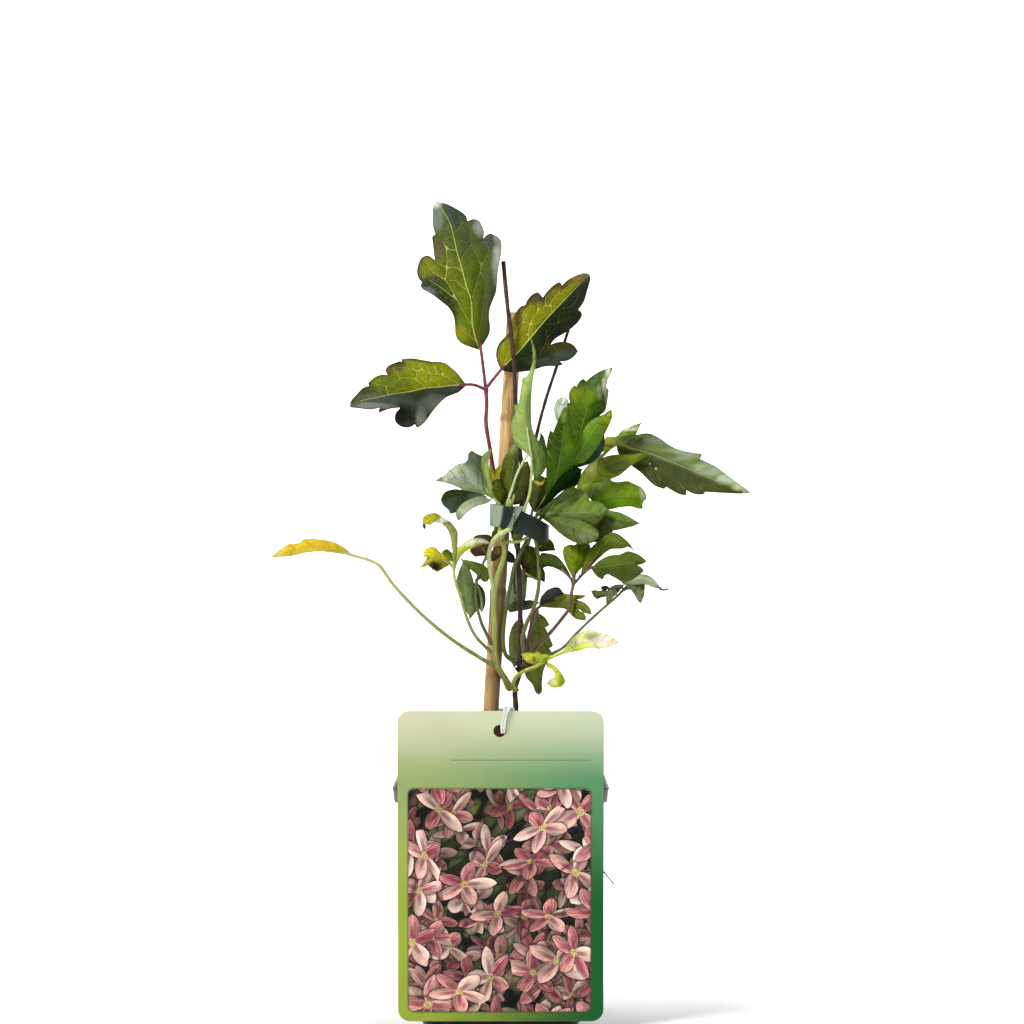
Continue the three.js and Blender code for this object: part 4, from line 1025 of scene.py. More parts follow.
def tube(
    path: np.ndarray, radius: Callable[[np.ndarray], np.ndarray], sides: int = 12, round_ends: bool = True
) -> tuple[np.ndarray, list[list[int]], np.ndarray]:
    """Sweep a round section along a path.

    Args:
        path: The path's points.
        radius: The radius for each share of the way along.
        sides: Points around.
        round_ends: Whether the ends are rounded off.

    Returns:
        Points, faces, and for each point the share along, the share around and the length from the foot.
    """
    walked = lengths_along(path)
    share = walked / walked[-1]
    size = radius(share)
    tangent = np.gradient(path, axis=0)
    tangent /= np.linalg.norm(tangent, axis=1)[:, None]
    if round_ends:
        caps = [(0.95, 0.3), (0.6, 0.75), (0.2, 0.98)]
        head = [(path[0] - tangent[0] * size[0] * out, size[0] * keep) for keep, out in caps[::-1]]
        tail = [(path[-1] + tangent[-1] * size[-1] * out, size[-1] * keep) for keep, out in caps]
        path = np.vstack([[p for p, _ in head], path, [p for p, _ in tail]])
        size = np.concatenate([[r for _, r in head], size, [r for _, r in tail]])
        tangent = np.vstack([[tangent[0]] * 3, tangent, [tangent[-1]] * 3])
        share = np.concatenate([[0.0] * 3, share, [1.0] * 3])
        walked = np.concatenate([[0.0] * 3, walked, [walked[-1]] * 3])
    normal = np.cross(tangent[0], (0.31, 0.91, 0.23))
    angles = np.arange(sides) / sides * 2 * math.pi
    points, place = [], []
    for centre, along, r, part, far in zip(path, tangent, size, share, walked):
        normal = normal - along * (normal @ along)
        normal /= np.linalg.norm(normal)
        other = np.cross(along, normal)
        points.append(centre + r * (np.cos(angles)[:, None] * normal + np.sin(angles)[:, None] * other))
        place.append(np.stack([np.full(sides, part), angles / (2 * math.pi), np.full(sides, far)], axis=1))
    return np.vstack(points), ring_faces(len(path), sides), np.vstack(place)


@dataclass(frozen=True)
class Stalk:
    """A stalk from one radius to another through seen points, each a column, a row and a depth."""

    start: float
    end: float
    points: Line
    finish: StalkFinish | None = None

    def path(self, spacing: float = 0.7) -> np.ndarray:
        """Its smooth path in millimetres."""
        return curve_through([seen(*p) for p in self.points], spacing)

    def taper(self, share: np.ndarray) -> np.ndarray:
        """Its plain radius at shares of the way along."""
        return self.start + (self.end - self.start) * share

    def grow(self, piece: Piece, finish: StalkFinish) -> None:
        """Add the stalk to a piece, a little thicker where it starts."""
        wave = random.Random(len(self.points)).random()

        def radius(share: np.ndarray) -> np.ndarray:
            return self.taper(share) * (1 + 0.25 * np.exp(-share * 25) + 0.04 * np.sin(share * 31 + wave * 6))

        points, faces, place = tube(self.path(), radius)
        piece.add(points, faces, (self.finish or finish).material(), place)


@dataclass(frozen=True)
class Blade:
    """A leaf blade, drawn in columns and rows of the view.

    Attributes:
        finish: Its looks.
        depth: How far behind the cane its base, middle and tip lie.
        slant: How steeply its left and right halves fall back.
        rib: The midrib from base to tip.
        left: The left edge between base and tip.
        right: The right edge between base and tip.
        veins: The veins, where they aren't led to the teeth.
    """

    finish: LeafFinish
    depth: Spot
    slant: Spot
    rib: Line
    left: Line
    right: Line
    veins: tuple[Line, ...] = ()

    THICKNESS = 0.42
    SHARP = math.radians(50)
    BULGE = 0.09
    FOLD = 0.9
    CURL = 1.3
    RUFFLE = 0.9
    SWELLING = 0.5
    STEPS_ACROSS = 34
    FINEST_STEP = 0.32
    COARSEST_STEP = 0.95
    VEIN_STEP = 0.9
    FAR_AWAY = 20.0

    def grow(self, piece: Piece) -> None:
        """Add the blade to a piece as a thin closed sheet with its veins as lines of its mesh."""
        rib_rough = in_picture(self.rib)
        base, tip = self.rib[0], self.rib[-1]
        rough = [in_picture([base, *edge, tip]) for edge in (self.left, self.right)]
        size = math.sqrt(abs(self._area(np.vstack([rough[0], rough[1][-2:0:-1]]))))
        step = float(np.clip(size / self.STEPS_ACROSS, self.FINEST_STEP, self.COARSEST_STEP))
        rib = curve_through(rib_rough, step)
        edges = [self._edge(side, step) for side in rough]
        outline = np.vstack([edges[0], edges[1][-2:0:-1]])
        veins = self._veins(rib, rough, size)
        flat, faces = self._triangles(outline, rib, veins, step)
        far, along, side = distance_to_line(flat, rib)
        third = len(edges[0]) // 3
        side = side * -np.sign(distance_to_line(edges[0][third : third + 2], rib)[2].mean())
        edge_far = distance_to_line(flat, np.vstack([outline, outline[:1]]))[0]
        vein_ratio, vein_far = self._vein_field(flat, veins)
        depth = self._depth(along, far, side, vein_far, edge_far)
        front = at_depth(flat, depth)
        rib_ratio = far / (np.clip(0.5 - 0.4 * along, 0.12, 1) * self._vein_size(size))
        place = np.stack([along, far * side, edge_far], axis=1)
        ratios = np.stack([rib_ratio, vein_ratio, np.zeros(len(flat))], axis=1)
        points, sheet = self._thicken(front, faces)
        below = ratios.copy()
        below[:, 2] = 1.0
        column, row = AXIS_COLUMN + flat[:, 0] / MM_PER_PIXEL, AXIS_ROW - flat[:, 1] / MM_PER_PIXEL
        drawing = np.column_stack([column, row, far * 0])
        both = (np.vstack(v) for v in ([place] * 2, [ratios, below], [drawing] * 2))
        piece.add(points, sheet, self.finish.material(), *both)

    @staticmethod
    def _area(outline: np.ndarray) -> float:
        """Signed area of an outline."""
        x, y = outline.T
        return float((x * np.roll(y, -1) - np.roll(x, -1) * y).sum() / 2)

    @staticmethod
    def _vein_size(size: float) -> float:
        """Veins are finer on a smaller blade."""
        return float(np.clip(size / 30, 0.35, 1.1))

    def _edge(self, rough: np.ndarray, step: float) -> np.ndarray:
        """Round an edge between its teeth and notches, and keep those sharp."""
        legs = np.diff(rough, axis=0)
        heading = np.arctan2(legs[:, 1], legs[:, 0])
        turn = np.abs((np.diff(heading) + math.pi) % (2 * math.pi) - math.pi)
        breaks = [0, *(np.flatnonzero(turn > self.SHARP) + 1), len(rough) - 1]
        outward = np.sign(self._area(rough))
        runs = []
        for low, high in zip(breaks, breaks[1:]):
            corners = rough[low : high + 1]
            if len(corners) == 2:
                leg = corners[1] - corners[0]
                middle = corners.mean(axis=0) + outward * np.array([leg[1], -leg[0]]) * self.BULGE
                corners = np.array([corners[0], middle, corners[1]])
            run = curve_through(corners, step * 0.8)
            runs.append(run[:-1])
        runs.append(rough[-1:])
        return np.vstack(runs)

    def _veins(self, rib: np.ndarray, rough: list[np.ndarray], size: float) -> list[Vein]:
        """Lead a vein from the rib to each tooth, with a branch towards the next.

        Args:
            rib: The rib's points.
            rough: Both edges as given.
            size: The blade's size.

        Returns:
            Each vein's points and its half width at its start and end.
        """
        length = np.linalg.norm(np.diff(rib, axis=0), axis=1).sum()
        scale = self._vein_size(size)
        if self.veins:
            lines = [curve_through(in_picture(vein), self.VEIN_STEP) for vein in self.veins]
            return [(line, 0.22 * scale, 0.12 * scale) for line in lines]
        veins = []
        for edge in rough:
            ends = self._teeth(edge, rib, max(1.6, size / 9))
            for number, end in enumerate(ends):
                far, along, _ = distance_to_line(end[None], rib)
                leave = float(np.clip(along[0] - 0.8 * far[0] / length, 0.02, 0.94))
                start = rib[round(leave * (len(rib) - 1))]
                ahead = rib[min(len(rib) - 1, round(leave * (len(rib) - 1)) + 2)] - start
                reach = np.linalg.norm(end - start)
                if reach < 1.0:
                    continue
                bow = (start + end) / 2 - ahead / max(np.linalg.norm(ahead), 1e-6) * reach * 0.14
                bend = curve_through([start, bow, start + (end - start) * 0.96], self.VEIN_STEP)
                veins.append((bend, 0.3 * scale, 0.12 * scale))
                if number + 1 < len(ends) and reach > 5:
                    fork = bend[len(bend) // 2]
                    goal = fork + ((end + ends[number + 1]) / 2 - fork) * 0.8
                    middle = (fork + goal) / 2 + (end - goal) * 0.12
                    branch = curve_through([fork, middle, goal], self.VEIN_STEP)
                    veins.append((branch, 0.18 * scale, 0.1 * scale))
        return veins

    @staticmethod
    def _teeth(edge: np.ndarray, rib: np.ndarray, apart: float) -> list[np.ndarray]:
        """The edge's outward corners, kept a distance apart."""
        _, along, _ = distance_to_line(edge, rib)
        middle = edge[1:-1]
        before, after = middle - edge[:-2], edge[2:] - middle
        cross = before[:, 0] * after[:, 1] - before[:, 1] * after[:, 0]
        turn = np.abs(np.arctan2(cross, (before * after).sum(1)))
        outward = np.sign(Blade._area(np.vstack([edge, rib[::-1]])))
        order = sorted(range(len(middle)), key=lambda i: -turn[i] if cross[i] * outward > 0 else 1.0)
        kept: list[int] = []
        for i in order:
            clear = all(np.linalg.norm(middle[i] - middle[k]) > apart for k in kept)
            if clear and cross[i] * outward > 0 and 0.04 < along[i + 1] < 0.97:
                kept.append(i)
        return [middle[i] for i in sorted(kept)]

    @staticmethod
    def _vein_field(flat: np.ndarray, veins: list[Vein]) -> tuple[np.ndarray, np.ndarray]:
        """Each point's distance to the nearest vein, in half widths and in millimetres."""
        ratio = np.full(len(flat), Blade.FAR_AWAY)
        nearest = ratio.copy()
        for bend, start, end in veins:
            far, along, _ = distance_to_line(flat, bend)
            ratio = np.minimum(ratio, far / (start + (end - start) * along))
            nearest = np.minimum(nearest, far)
        return ratio, nearest

    def _triangles(
        self, outline: np.ndarray, rib: np.ndarray, veins: list[Vein], step: float
    ) -> tuple[np.ndarray, list[list[int]]]:
        """Fill the outline with triangles that keep the rib and the veins as edges.

        Args:
            outline: The closed outline.
            rib: The rib's points.
            veins: The veins.
            step: The wished triangle size.

        Returns:
            Points in the picture plane, and faces that look at the viewer.
        """
        lines = [np.vstack([outline, outline[:1]]), rib, *(v[0] for v in veins)]
        grid = self._grid(outline, step)
        for line in lines:
            grid = grid[distance_to_line(grid, line)[0] > step * 0.55]
        points: list[np.ndarray] = [outline]
        joins = [(i, (i + 1) % len(outline)) for i in range(len(outline))]
        count = len(outline)
        for line in lines[1:]:
            points.append(line)
            joins += [(count + i, count + i + 1) for i in range(len(line) - 1)]
            count += len(line)
        points.append(grid)
        every = [tuple(map(float, p)) for p in np.vstack(points)]
        found = geometry.delaunay_2d_cdt(every, joins, [], 0, 1e-4, False)
        flat = np.array([tuple(p) for p in found[0]])
        faces = np.array([list(f) for f in found[2] if len(f) == 3])
        centres = flat[faces].mean(axis=1)
        faces = faces[inside_outline(centres, outline)]
        used, faces = np.unique(faces, return_inverse=True)
        flat = flat[used]
        faces = faces.reshape(-1, 3)
        a, b, c = (flat[faces[:, k]] for k in range(3))
        turn = (b[:, 0] - a[:, 0]) * (c[:, 1] - a[:, 1]) - (b[:, 1] - a[:, 1]) * (c[:, 0] - a[:, 0])
        faces[turn < 0] = faces[turn < 0][:, ::-1]
        return flat, faces.tolist()

    @staticmethod
    def _grid(outline: np.ndarray, step: float) -> np.ndarray:
        """A field of points in rows, as on a honeycomb, inside the outline."""
        low, high = outline.min(axis=0), outline.max(axis=0)
        rows = np.arange(low[1], high[1], step * math.sqrt(3) / 2)
        columns = np.arange(low[0], high[0], step)
        grid = np.array([(x + (k % 2) * step / 2, y) for k, y in enumerate(rows) for x in columns])
        return grid[inside_outline(grid, outline)]

    def _depth(
        self, along: np.ndarray, far: np.ndarray, side: np.ndarray, vein_far: np.ndarray, edge_far: np.ndarray
    ) -> np.ndarray:
        """Bow and slant the blade, fold it at the rib, curl its edge and swell it between the veins.

        Args:
            along: Each point's share of the way along.
            far: Its distance from the rib.
            side: -1 left of the rib and 1 right of it.
            vein_far: Its distance from the nearest vein.
            edge_far: Its distance from the edge.

        Returns:
            Each point's depth in millimetres.
        """
        base, middle, tip = self.depth
        rest = 1 - along
        bow = base * rest * (1 - 2 * along) + 4 * middle * along * rest + tip * along * (2 * along - 1)
        off = np.sqrt(far**2 + self.FOLD**2) - self.FOLD
        share = (side + 1) / 2
        slant = (self.slant[0] * (1 - share) + self.slant[1] * share) * off
        wide = max(float(far.max()), 1.0)
        near_edge = np.exp(-edge_far / (0.18 * wide + 0.4))
        scale = min(1.0, wide / 9)
        phase = sum(self.rib[0]) % 6.28
        ruffle = self.RUFFLE * scale * near_edge * np.sin(along * 17 + side * 1.7 + phase)
        curl = self.CURL * scale * near_edge
        swelling = self.SWELLING * scale * (1 - np.exp(-((np.minimum(vein_far, far) / 1.7) ** 2)))
        return bow + slant + ruffle + curl - swelling

    def _thicken(self, front: np.ndarray, faces: list[list[int]]) -> tuple[np.ndarray, list[list[int]]]:
        """Close the sheet with a back face and a rim.

        Args:
            front: The front's points.
            faces: The front's faces.

        Returns:
            All points, front first, and all faces.
        """
        corners = np.array(faces)
        a, b, c = (front[corners[:, k]] for k in range(3))
        across = np.cross(b - a, c - a)
        normal = np.zeros_like(front)
        for k in range(3):
            np.add.at(normal, corners[:, k], across)
        normal /= np.maximum(np.linalg.norm(normal, axis=1), 1e-9)[:, None]
        count = len(front)
        points = np.vstack([front, front - normal * self.THICKNESS])
        sides: dict[tuple[int, int], None] = {}
        for face in faces:
            for p, q in zip(face, face[1:] + face[:1]):
                if (q, p) in sides:
                    del sides[q, p]
                else:
                    sides[p, q] = None
        back = [[i + count for i in face[::-1]] for face in faces]
        rim = [[q, p, p + count, q + count] for p, q in sides]
        return points, [*faces, *back, *rim]


# ---- Leaf finishes ----

# Its touches paint whitish sheens at the tip and along the right edge, and dark shaded patches.
TOP_MIDDLE_LEAF = LeafFinish(
    "leaf_top_middle", "#4a5a0c", "#4c5c16", "#2a1e1a", "#bcc45c", vein_strength=0.8, net_strength=0.25,
    under="#8d9a80", rim="#2a3418", rim_reach=1.6,
    touches=((466, 318, 14, 36, "#647608"), (452, 268, 12, 30, "#5a640c"), (462, 230, 24, 28, "#44522c"),
             (492, 300, 9, 46, "#4c5834"), (453, 214, 14, 12, "#323f38"), (436, 214, 7, 16, "#6a7870"),
             (434, 200, 8, 7, "#e4e8e6"), (482, 226, 8, 11, "#98a292"), (492, 242, 11, 10, "#42483f"),
             (499, 262, 7, 24, "#a8b0a6"), (429, 268, 10, 10, "#727418"), (437, 250, 8, 12, "#5c5034"),
             (432, 284, 14, 8, "#1c2820"), (444, 299, 13, 9, "#1e2a1a"), (452, 314, 7, 12, "#2a3818"),
             (425, 291, 9, 4, "#66727c"), (461, 335, 10, 8, "#8a8c0a")),
)
# The upper half is painted lit and the lower half in shade; touches paint grey-white sheens on the lower half
# and the near-black shaded lower lobe.
TOP_LEFT_LEAF = LeafFinish(
    "leaf_top_left", "#7c8608", "#424c3c", "#2b1c18", "#c4cc60", vein_strength=0.75, net_strength=0.3,
    dark_veins=0.05, roughness=0.38, rim="#3c2c1a", rim_reach=2.0,
    touches=((368, 393, 26, 10, "#2a3818"), (392, 385, 20, 10, "#5c6a14"), (440, 372, 26, 10, "#8a9004"),
             (388, 366, 16, 7, "#54462a"), (384, 399, 34, 6, "#5a6458"), (370, 406, 26, 3.4, "#9a9e92"),
             (424, 396, 26, 6, "#343e2a"), (434, 403, 16, 9, "#747c6c"), (403, 416, 12, 13, "#10120a"),
             (421, 417, 5, 11, "#8e9486")),
)
# Its right half is painted in shade; touches paint slate-grey sheens on the lower lobe and dark shaded
# patches.
TOP_RIGHT_LEAF = LeafFinish(
    "leaf_top_right", "#7e8008", "#26321c", "#3a221c", "#ccd05c", vein_strength=0.75, net_strength=0.3,
    dark_veins=0.2, roughness=0.38, rim="#3c2a1c", rim_reach=2.2,
    touches=((535, 295, 17, 9, "#4a3628"), (555, 285, 14, 5, "#5a4428"), (582, 278, 16, 6, "#94722c"),
             (514, 318, 7, 16, "#6e5c1c"), (562, 346, 18, 6, "#4c4818"), (568, 355, 15, 6, "#525c50"),
             (550, 363, 20, 5, "#4a5448"), (587, 296, 7, 26, "#2c3028"), (552, 330, 14, 12, "#1c2616")),
)
NARROW_LEAF = LeafFinish(
    "leaf_narrow_green", "#94ac5a", "#7c984c", "#4d6a2c", "#b7cc84", vein_strength=0.5, net_strength=0.12,
    tip="#9ab860", tip_from=0.5,
)
# Its near-black foot and darkest touch are painted shade; its pale touches along the right edge are painted
# highlights.
BRIGHT_LEAF = LeafFinish(
    "leaf_bright_green", "#5e7608", "#42600a", "#1f3a08", "#8fb040", glow="#708e0c", glow_reach=4.0,
    vein_strength=0.5, net_strength=0.18, foot="#16280a", foot_to=0.4, rim="#27450a", rim_reach=3.0,
    roughness=0.4, gloss=0.1,
    touches=((573, 392, 6, 9, "#7b8909"), (596, 381, 12, 9, "#3b592d"), (608.6, 374, 3.2, 8, "#dfe8c4"),
             (604.6, 385, 2.8, 9, "#c4d0a8"), (599, 392, 2.6, 7, "#8ea078"), (607, 398, 2.2, 9, "#8c9c78"),
             (580, 422, 9, 18, "#334f06"), (566, 474, 10, 14, "#0d2005"), (597, 408, 10, 7, "#3e5c13")),
)
BRIGHT_SIDE_LEAF = LeafFinish(
    "leaf_bright_side", "#2c4604", "#3c6208", "#2f4a0c", "#7e993e",
    touches=((569, 441, 6, 16, "#5a7808"), (564, 414, 4, 8, "#799029"), (551, 470, 6, 20, "#355406")),
)
# The dark olive touch just above the rib is a painted shadow.
DROOPING_LEAF = LeafFinish(
    "leaf_drooping_grey", "#67793a", "#363e0c", "#3c4a24", "#a0ad76", glow="#5c6a30", glow_reach=2.0,
    vein_strength=0.5, net_strength=0.12,
    touches=((632, 441, 16, 6, "#4b5634"), (621, 444, 7, 3, "#7a8818"), (657, 439, 14, 5, "#8c9a80"),
             (684, 454, 22, 6, "#93a27e"), (664, 455.5, 15, 4, "#505a2c"), (710, 469, 18, 7, "#98a882"),
             (728, 480, 12, 5, "#b0bf9c"), (740, 487, 9, 3.5, "#b4c29c"), (749, 492, 6, 3, "#c4ccac"),
             (672, 477, 26, 11, "#3e461a"), (704, 487, 26, 6, "#464c1c"), (650, 464, 0.9, 1.2, "#b4bc9c"),
             (656, 468.6, 1.2, 1.2, "#bcc4a4")),
)
WHITE_EDGED_LEAF = LeafFinish(
    "leaf_folded_bright", "#86a83a", "#8fae3c", "#7c8c3c", "#a8b86c",
    touches=((609, 441, 8, 5, "#9ea919"), (629, 428.5, 12, 3, "#eaf0d0"), (633, 433.5, 7, 3, "#6f8d13"),
             (612, 446, 9, 2, "#5d4f22")),
)
LIME_UPPER_LEAF = LeafFinish(
    "leaf_lime_upper", "#6a7c18", "#6f8414", "#54641e", "#b6c46e", vein_strength=0.3,
    touches=((592, 467, 6, 10, "#929450"), (615, 466, 16, 7, "#5c6730"), (636, 457.5, 13, 3, "#7b8917"),
             (585, 484, 5, 7, "#829032")),
)
LIME_LOWER_LEAF = LeafFinish(
    "leaf_lime_lower", "#7c9a26", "#688618", "#46600e", "#a8c05c", vein_strength=0.5, net_strength=0.12,
    touches=((603, 480, 8, 8, "#7d8b54"), (592, 492, 8, 8, "#5a682f"), (628, 487, 14, 6, "#789b17"),
             (644, 492, 5, 7, "#bccc98"), (622, 503, 18, 5, "#6a920b")),
)
FAN_LEAF = LeafFinish(
    "leaf_fan_grey", "#687e26", "#424c18", "#36421c", "#94a864", glow="#65803a", glow_reach=3.0,
    vein_strength=0.5, net_strength=0.15, gloss=0.12,
    touches=((564, 500, 14, 8, "#617440"), (579, 491, 8, 4, "#718630"), (600, 504, 8, 4, "#617f25"),
             (575, 520, 24, 6, "#4f5d2a")),
)
BRIGHT_LOBE_LEAF = LeafFinish(
    "leaf_bright_lobe", "#5f8a08", "#4f7c08", "#2f5208", "#b0c850", vein_strength=0.5, gloss=0.2,
    touches=((608, 417, 5, 8, "#99a719"), (601, 429, 6, 8, "#617d05"), (586, 452, 9, 10, "#4f6d05")),
)
SHADOW_LOBE_LEAF = LeafFinish(
    "leaf_shadow_lobe", "#1f3c08", "#183208", "#142a08", "#567828", vein_strength=0.4, tip="#33503a",
    tip_from=0.5,
)
PALE_BACK_LEAF = LeafFinish(
    "leaf_pale_back", "#a9bf9c", "#dfe8d4", "#88a07c", "#e4ecd8", vein_strength=0.4, foot="#5f8050",
)
TINY_GREY_LEAF = LeafFinish("leaf_tiny_grey", "#86a060", "#5f7a40", "#4a6430", "#a8b888")
STRIP_LEAF = LeafFinish(
    "leaf_lit_strip", "#7c9440", "#a6b866", "#65802c", "#c4d088", tip="#6f8a5a", tip_from=0.7,
)
YELLOW_TUFT_LEAF = LeafFinish("leaf_yellow_tuft", "#c4b024", "#d2bc2c", "#8a7a18", "#e4d870", foot="#7c7c10")
TUFT_PRONG_LEAF = LeafFinish("leaf_tuft_prong", "#8a8c24", "#9c9a2c", "#6c6418", "#c8c450")
DARK_OLIVE_LEAF = LeafFinish(
    "leaf_dark_olive", "#4a540e", "#3a440a", "#242c08", "#78823c", vein_strength=0.4,
    touches=((524, 567, 6, 9, "#3c281e"), (530, 560, 6, 6, "#565c14")),
)
OLIVE_BROWN_LEAF = LeafFinish(
    "leaf_olive_brown", "#545a2c", "#42461c", "#2c2414", "#7c8050", patch="#4a4a24", patch_size=4.0,
)
BLACK_GREEN_LEAF = LeafFinish("leaf_black_green", "#1e2a22", "#161e18", "#0c120e", "#3c4a40", gloss=0.3)
BUD_LEAF = LeafFinish("leaf_bud", "#bcc45c", "#9aa240", "#6c742c", "#d8dc8c")
FAN_BACK_LEAF = LeafFinish("leaf_fan_back", "#465214", "#3c4810", "#28320c", "#6c7838", vein_strength=0.35)
DARK_LOBE_LEAF = LeafFinish(
    "leaf_dark_lobe", "#28420f", "#43553c", "#1c2c10", "#6c8260", vein_strength=0.4, foot="#7f8f74",
    foot_to=0.5, gloss=0.25,
)
PALE_LOBE_LEAF = LeafFinish(
    "leaf_pale_lobe", "#bac6a2", "#ccd6b0", "#55663c", "#dce4c8", tip="#6c7a54", tip_from=0.75, gloss=0.25,
)
YELLOW_STALK = StalkFinish("stalk_yellow", "#8f9c34", "#d2da52", "#e4ea8c", 0.4)
BLACK_STALK = StalkFinish("stalk_black", "#1a1614", "#221c18", "#3c342c", 0.6)
FAN_LOBE_LEAF = LeafFinish(
    "leaf_fan_lobe", "#5e7424", "#4c5a20", "#36421c", "#94a864", vein_strength=0.5, net_strength=0.2,
    gloss=0.12,
    touches=((588, 536, 11, 6, "#6d794b"), (600, 527, 8, 6, "#37410c"), (625, 514, 13, 5, "#51740e"),
             (613, 527, 10, 4, "#5a6824"), (560, 524, 16, 6, "#4c5822")),
)
# A leaf in deep shade: its near-black greens are painted shade.
SHADED_GREEN_LEAF = LeafFinish(
    "leaf_shaded_green", "#081e02", "#061a02", "#0a1a04", "#2f4a18", vein_strength=0.3, gloss=0.02,
    roughness=0.6,
)
GREY_UPPER_LEAF = LeafFinish(
    "leaf_grey_upper", "#bccca4", "#c4d0a8", "#4d6040", "#c2cca4", vein_strength=0.55, net_strength=0.2,
    patch="#c8d2b0", patch_size=7.0,
    touches=((478, 459, 15, 12, "#64785a"), (484, 474, 9, 14, "#66785c"), (482, 490, 14, 5, "#a8c088"),
             (450, 477, 14, 6, "#dce6d0"), (468, 480, 10, 7, "#bed0ae")),
)
UPRIGHT_OLIVE_LEAF = LeafFinish(
    "leaf_upright_olive", "#546014", "#42522a", "#49552a", "#9aa668", vein_strength=0.5, tip="#8b9a52",
)
OLIVE_LEAF = LeafFinish("leaf_olive_behind", "#66742e", "#4a5528", "#3a441f", "#8c9858", vein_strength=0.4)
GOLD_LEAF = LeafFinish(
    "leaf_golden", "#d4b41a", "#c8b034", "#a88c2a", "#ecdf86", margin_width=0.5, vein_strength=0.4,
    net_strength=0.15, tip="#d9a928", tip_from=0.8, foot="#c9cf86", foot_to=0.18, patch="#e4d67a",
    patch_size=6.0,
)
CURLED_YELLOW_LEAF = LeafFinish(
    "leaf_curled_yellow", "#c8ca34", "#b4b01c", "#7d7a24", "#d8da5c", tip="#4c4012", tip_from=0.86,
)
CURLED_STRIP_LEAF = LeafFinish("leaf_curled_strip", "#a0a062", "#94965a", "#747440", "#b4b478")
# Its near-white colour paints the highlight along the curl.
CURLED_FOLD_LEAF = LeafFinish("leaf_curled_fold", "#ecead0", "#e8e8ca", "#c4c488", "#f4f2e0")
SPOTTED_LEAF = LeafFinish(
    "leaf_spotted_yellow", "#f0ea30", "#d2c83c", "#8a6a20", "#e8e060", net_strength=0.1,
    touches=((444, 563, 5, 4, "#9c902c"), (434.6, 567, 8, 5.6, "#341a0c"),
             (434.6, 567.4, 6.4, 4.4, "#1c0c06")),
)
# Its near-white touches are a painted highlight band.
YELLOW_WING_LEAF = LeafFinish(
    "leaf_yellow_wing", "#e6ea4c", "#ccd23a", "#98a030", "#e4e878", vein_strength=0.4, net_strength=0.1,
    touches=((480, 541, 19, 5, "#f8f9e0"), (465, 543.5, 7, 3.5, "#e6eabc"), (484, 545.5, 10, 3, "#8c9440")),
)
BROWN_LEAF = LeafFinish(
    "leaf_dry_brown", "#6a5834", "#5c462c", "#2e1c12", "#8a7450", patch="#4a3020", patch_size=3.0,
    roughness=0.75,
    touches=((476, 553, 12, 6, "#38221a"), (497, 558, 7, 4, "#4a302a"), (497, 550, 5, 4, "#8a7444")),
)
WITHERED_LEAF = LeafFinish("leaf_withered", "#3a281c", "#4a3626", "#20140c", "#5e4834", under="#3a281c")
STRAP_LEAF = LeafFinish(
    "leaf_strap_green", "#64743a", "#788a54", "#46582c", "#a9b68a", glow="#7d8f50", glow_reach=1.5,
)
STRAP_FRESH_LEAF = LeafFinish("leaf_strap_fresh", "#5c741e", "#6c822a", "#3c4c14", "#8ca050")
STRAP_SMALL_LEAF = LeafFinish(
    "leaf_strap_small", "#2f4020", "#3a4a26", "#1f2c14", "#9aa87c", glow="#b4be98", glow_reach=0.7,
)
LOWER_TOP_LEAF = LeafFinish(
    "leaf_lower_top", "#687a04", "#566606", "#3a5210", "#8fae4c", vein_strength=0.5, net_strength=0.2,
)
LOWER_BACK_LEAF = LeafFinish(
    "leaf_lower_back", "#36440e", "#2a3810", "#222e10", "#6a7c40", vein_strength=0.4,
)
LOWER_WING_LEAF = LeafFinish(
    "leaf_lower_wing", "#546406", "#42520a", "#33480f", "#8faa54", tip="#1c2412", tip_from=0.86,
    vein_strength=0.45,
)
LOWER_FRONT_LEAF = LeafFinish(
    "leaf_lower_front", "#4e5c14", "#48561c", "#33480f", "#8c9c5a", vein_strength=0.5,
    touches=((610, 560, 14, 5, "#56661c"), (628, 572, 14, 6, "#3c4a16"), (604, 572, 7, 5, "#404c12")),
)
PALE_CURLED_LEAF = LeafFinish(
    "leaf_curled_pale", "#e4ecca", "#bcc894", "#5f7048", "#c9d2b4", tip="#23281a", tip_from=0.85,
)
CURLED_SHADE_LEAF = LeafFinish(
    "leaf_curled_shade", "#6a7848", "#3f4a28", "#2c3418", "#96a278", patch="#9fae84", patch_size=4.0,
)
CREAM_LEAF = LeafFinish(
    "leaf_cream", "#dedcae", "#e2e09c", "#c9b98c", "#e0e2b0", margin_width=0.5, vein_strength=0.15,
    net_strength=0.05, tip="#ead0bc", tip_from=0.72, foot="#c6d03c", foot_to=0.42, under="#dcd9a8",
    roughness=0.48,
    touches=((572, 641, 5, 9, "#a9b67c"), (583, 637, 7, 4, "#dfe594"), (593, 637, 8, 3.5, "#96965a"),
             (580, 647, 12, 3, "#dbe340"), (604, 641, 12, 6, "#f2e6d4"), (614, 643, 5, 5, "#ecdca4")),
)
CREAM_LOBE_LEAF = LeafFinish(
    "leaf_cream_lobe", "#c6d230", "#aeb93a", "#95a02c", "#e2e88c", tip="#d8dc60", under="#c9cf70",
    touches=((528, 656, 10, 5, "#f2f448"), (534, 659, 2, 3, "#7c7e18"), (553, 683, 6, 2.5, "#d8e0a8"),
             (562, 680, 4, 7, "#8c9818")),
)
DARK_HANGING_LEAF = LeafFinish(
    "leaf_hanging_dark", "#828c40", "#6e7830", "#232e0e", "#75864a", vein_strength=0.45, net_strength=0.2,
)
HANGING_SIDE_LEAF = LeafFinish(
    "leaf_hanging_side", "#7c8648", "#868f62", "#3f4c24", "#9aa67a", vein_strength=0.4,
)
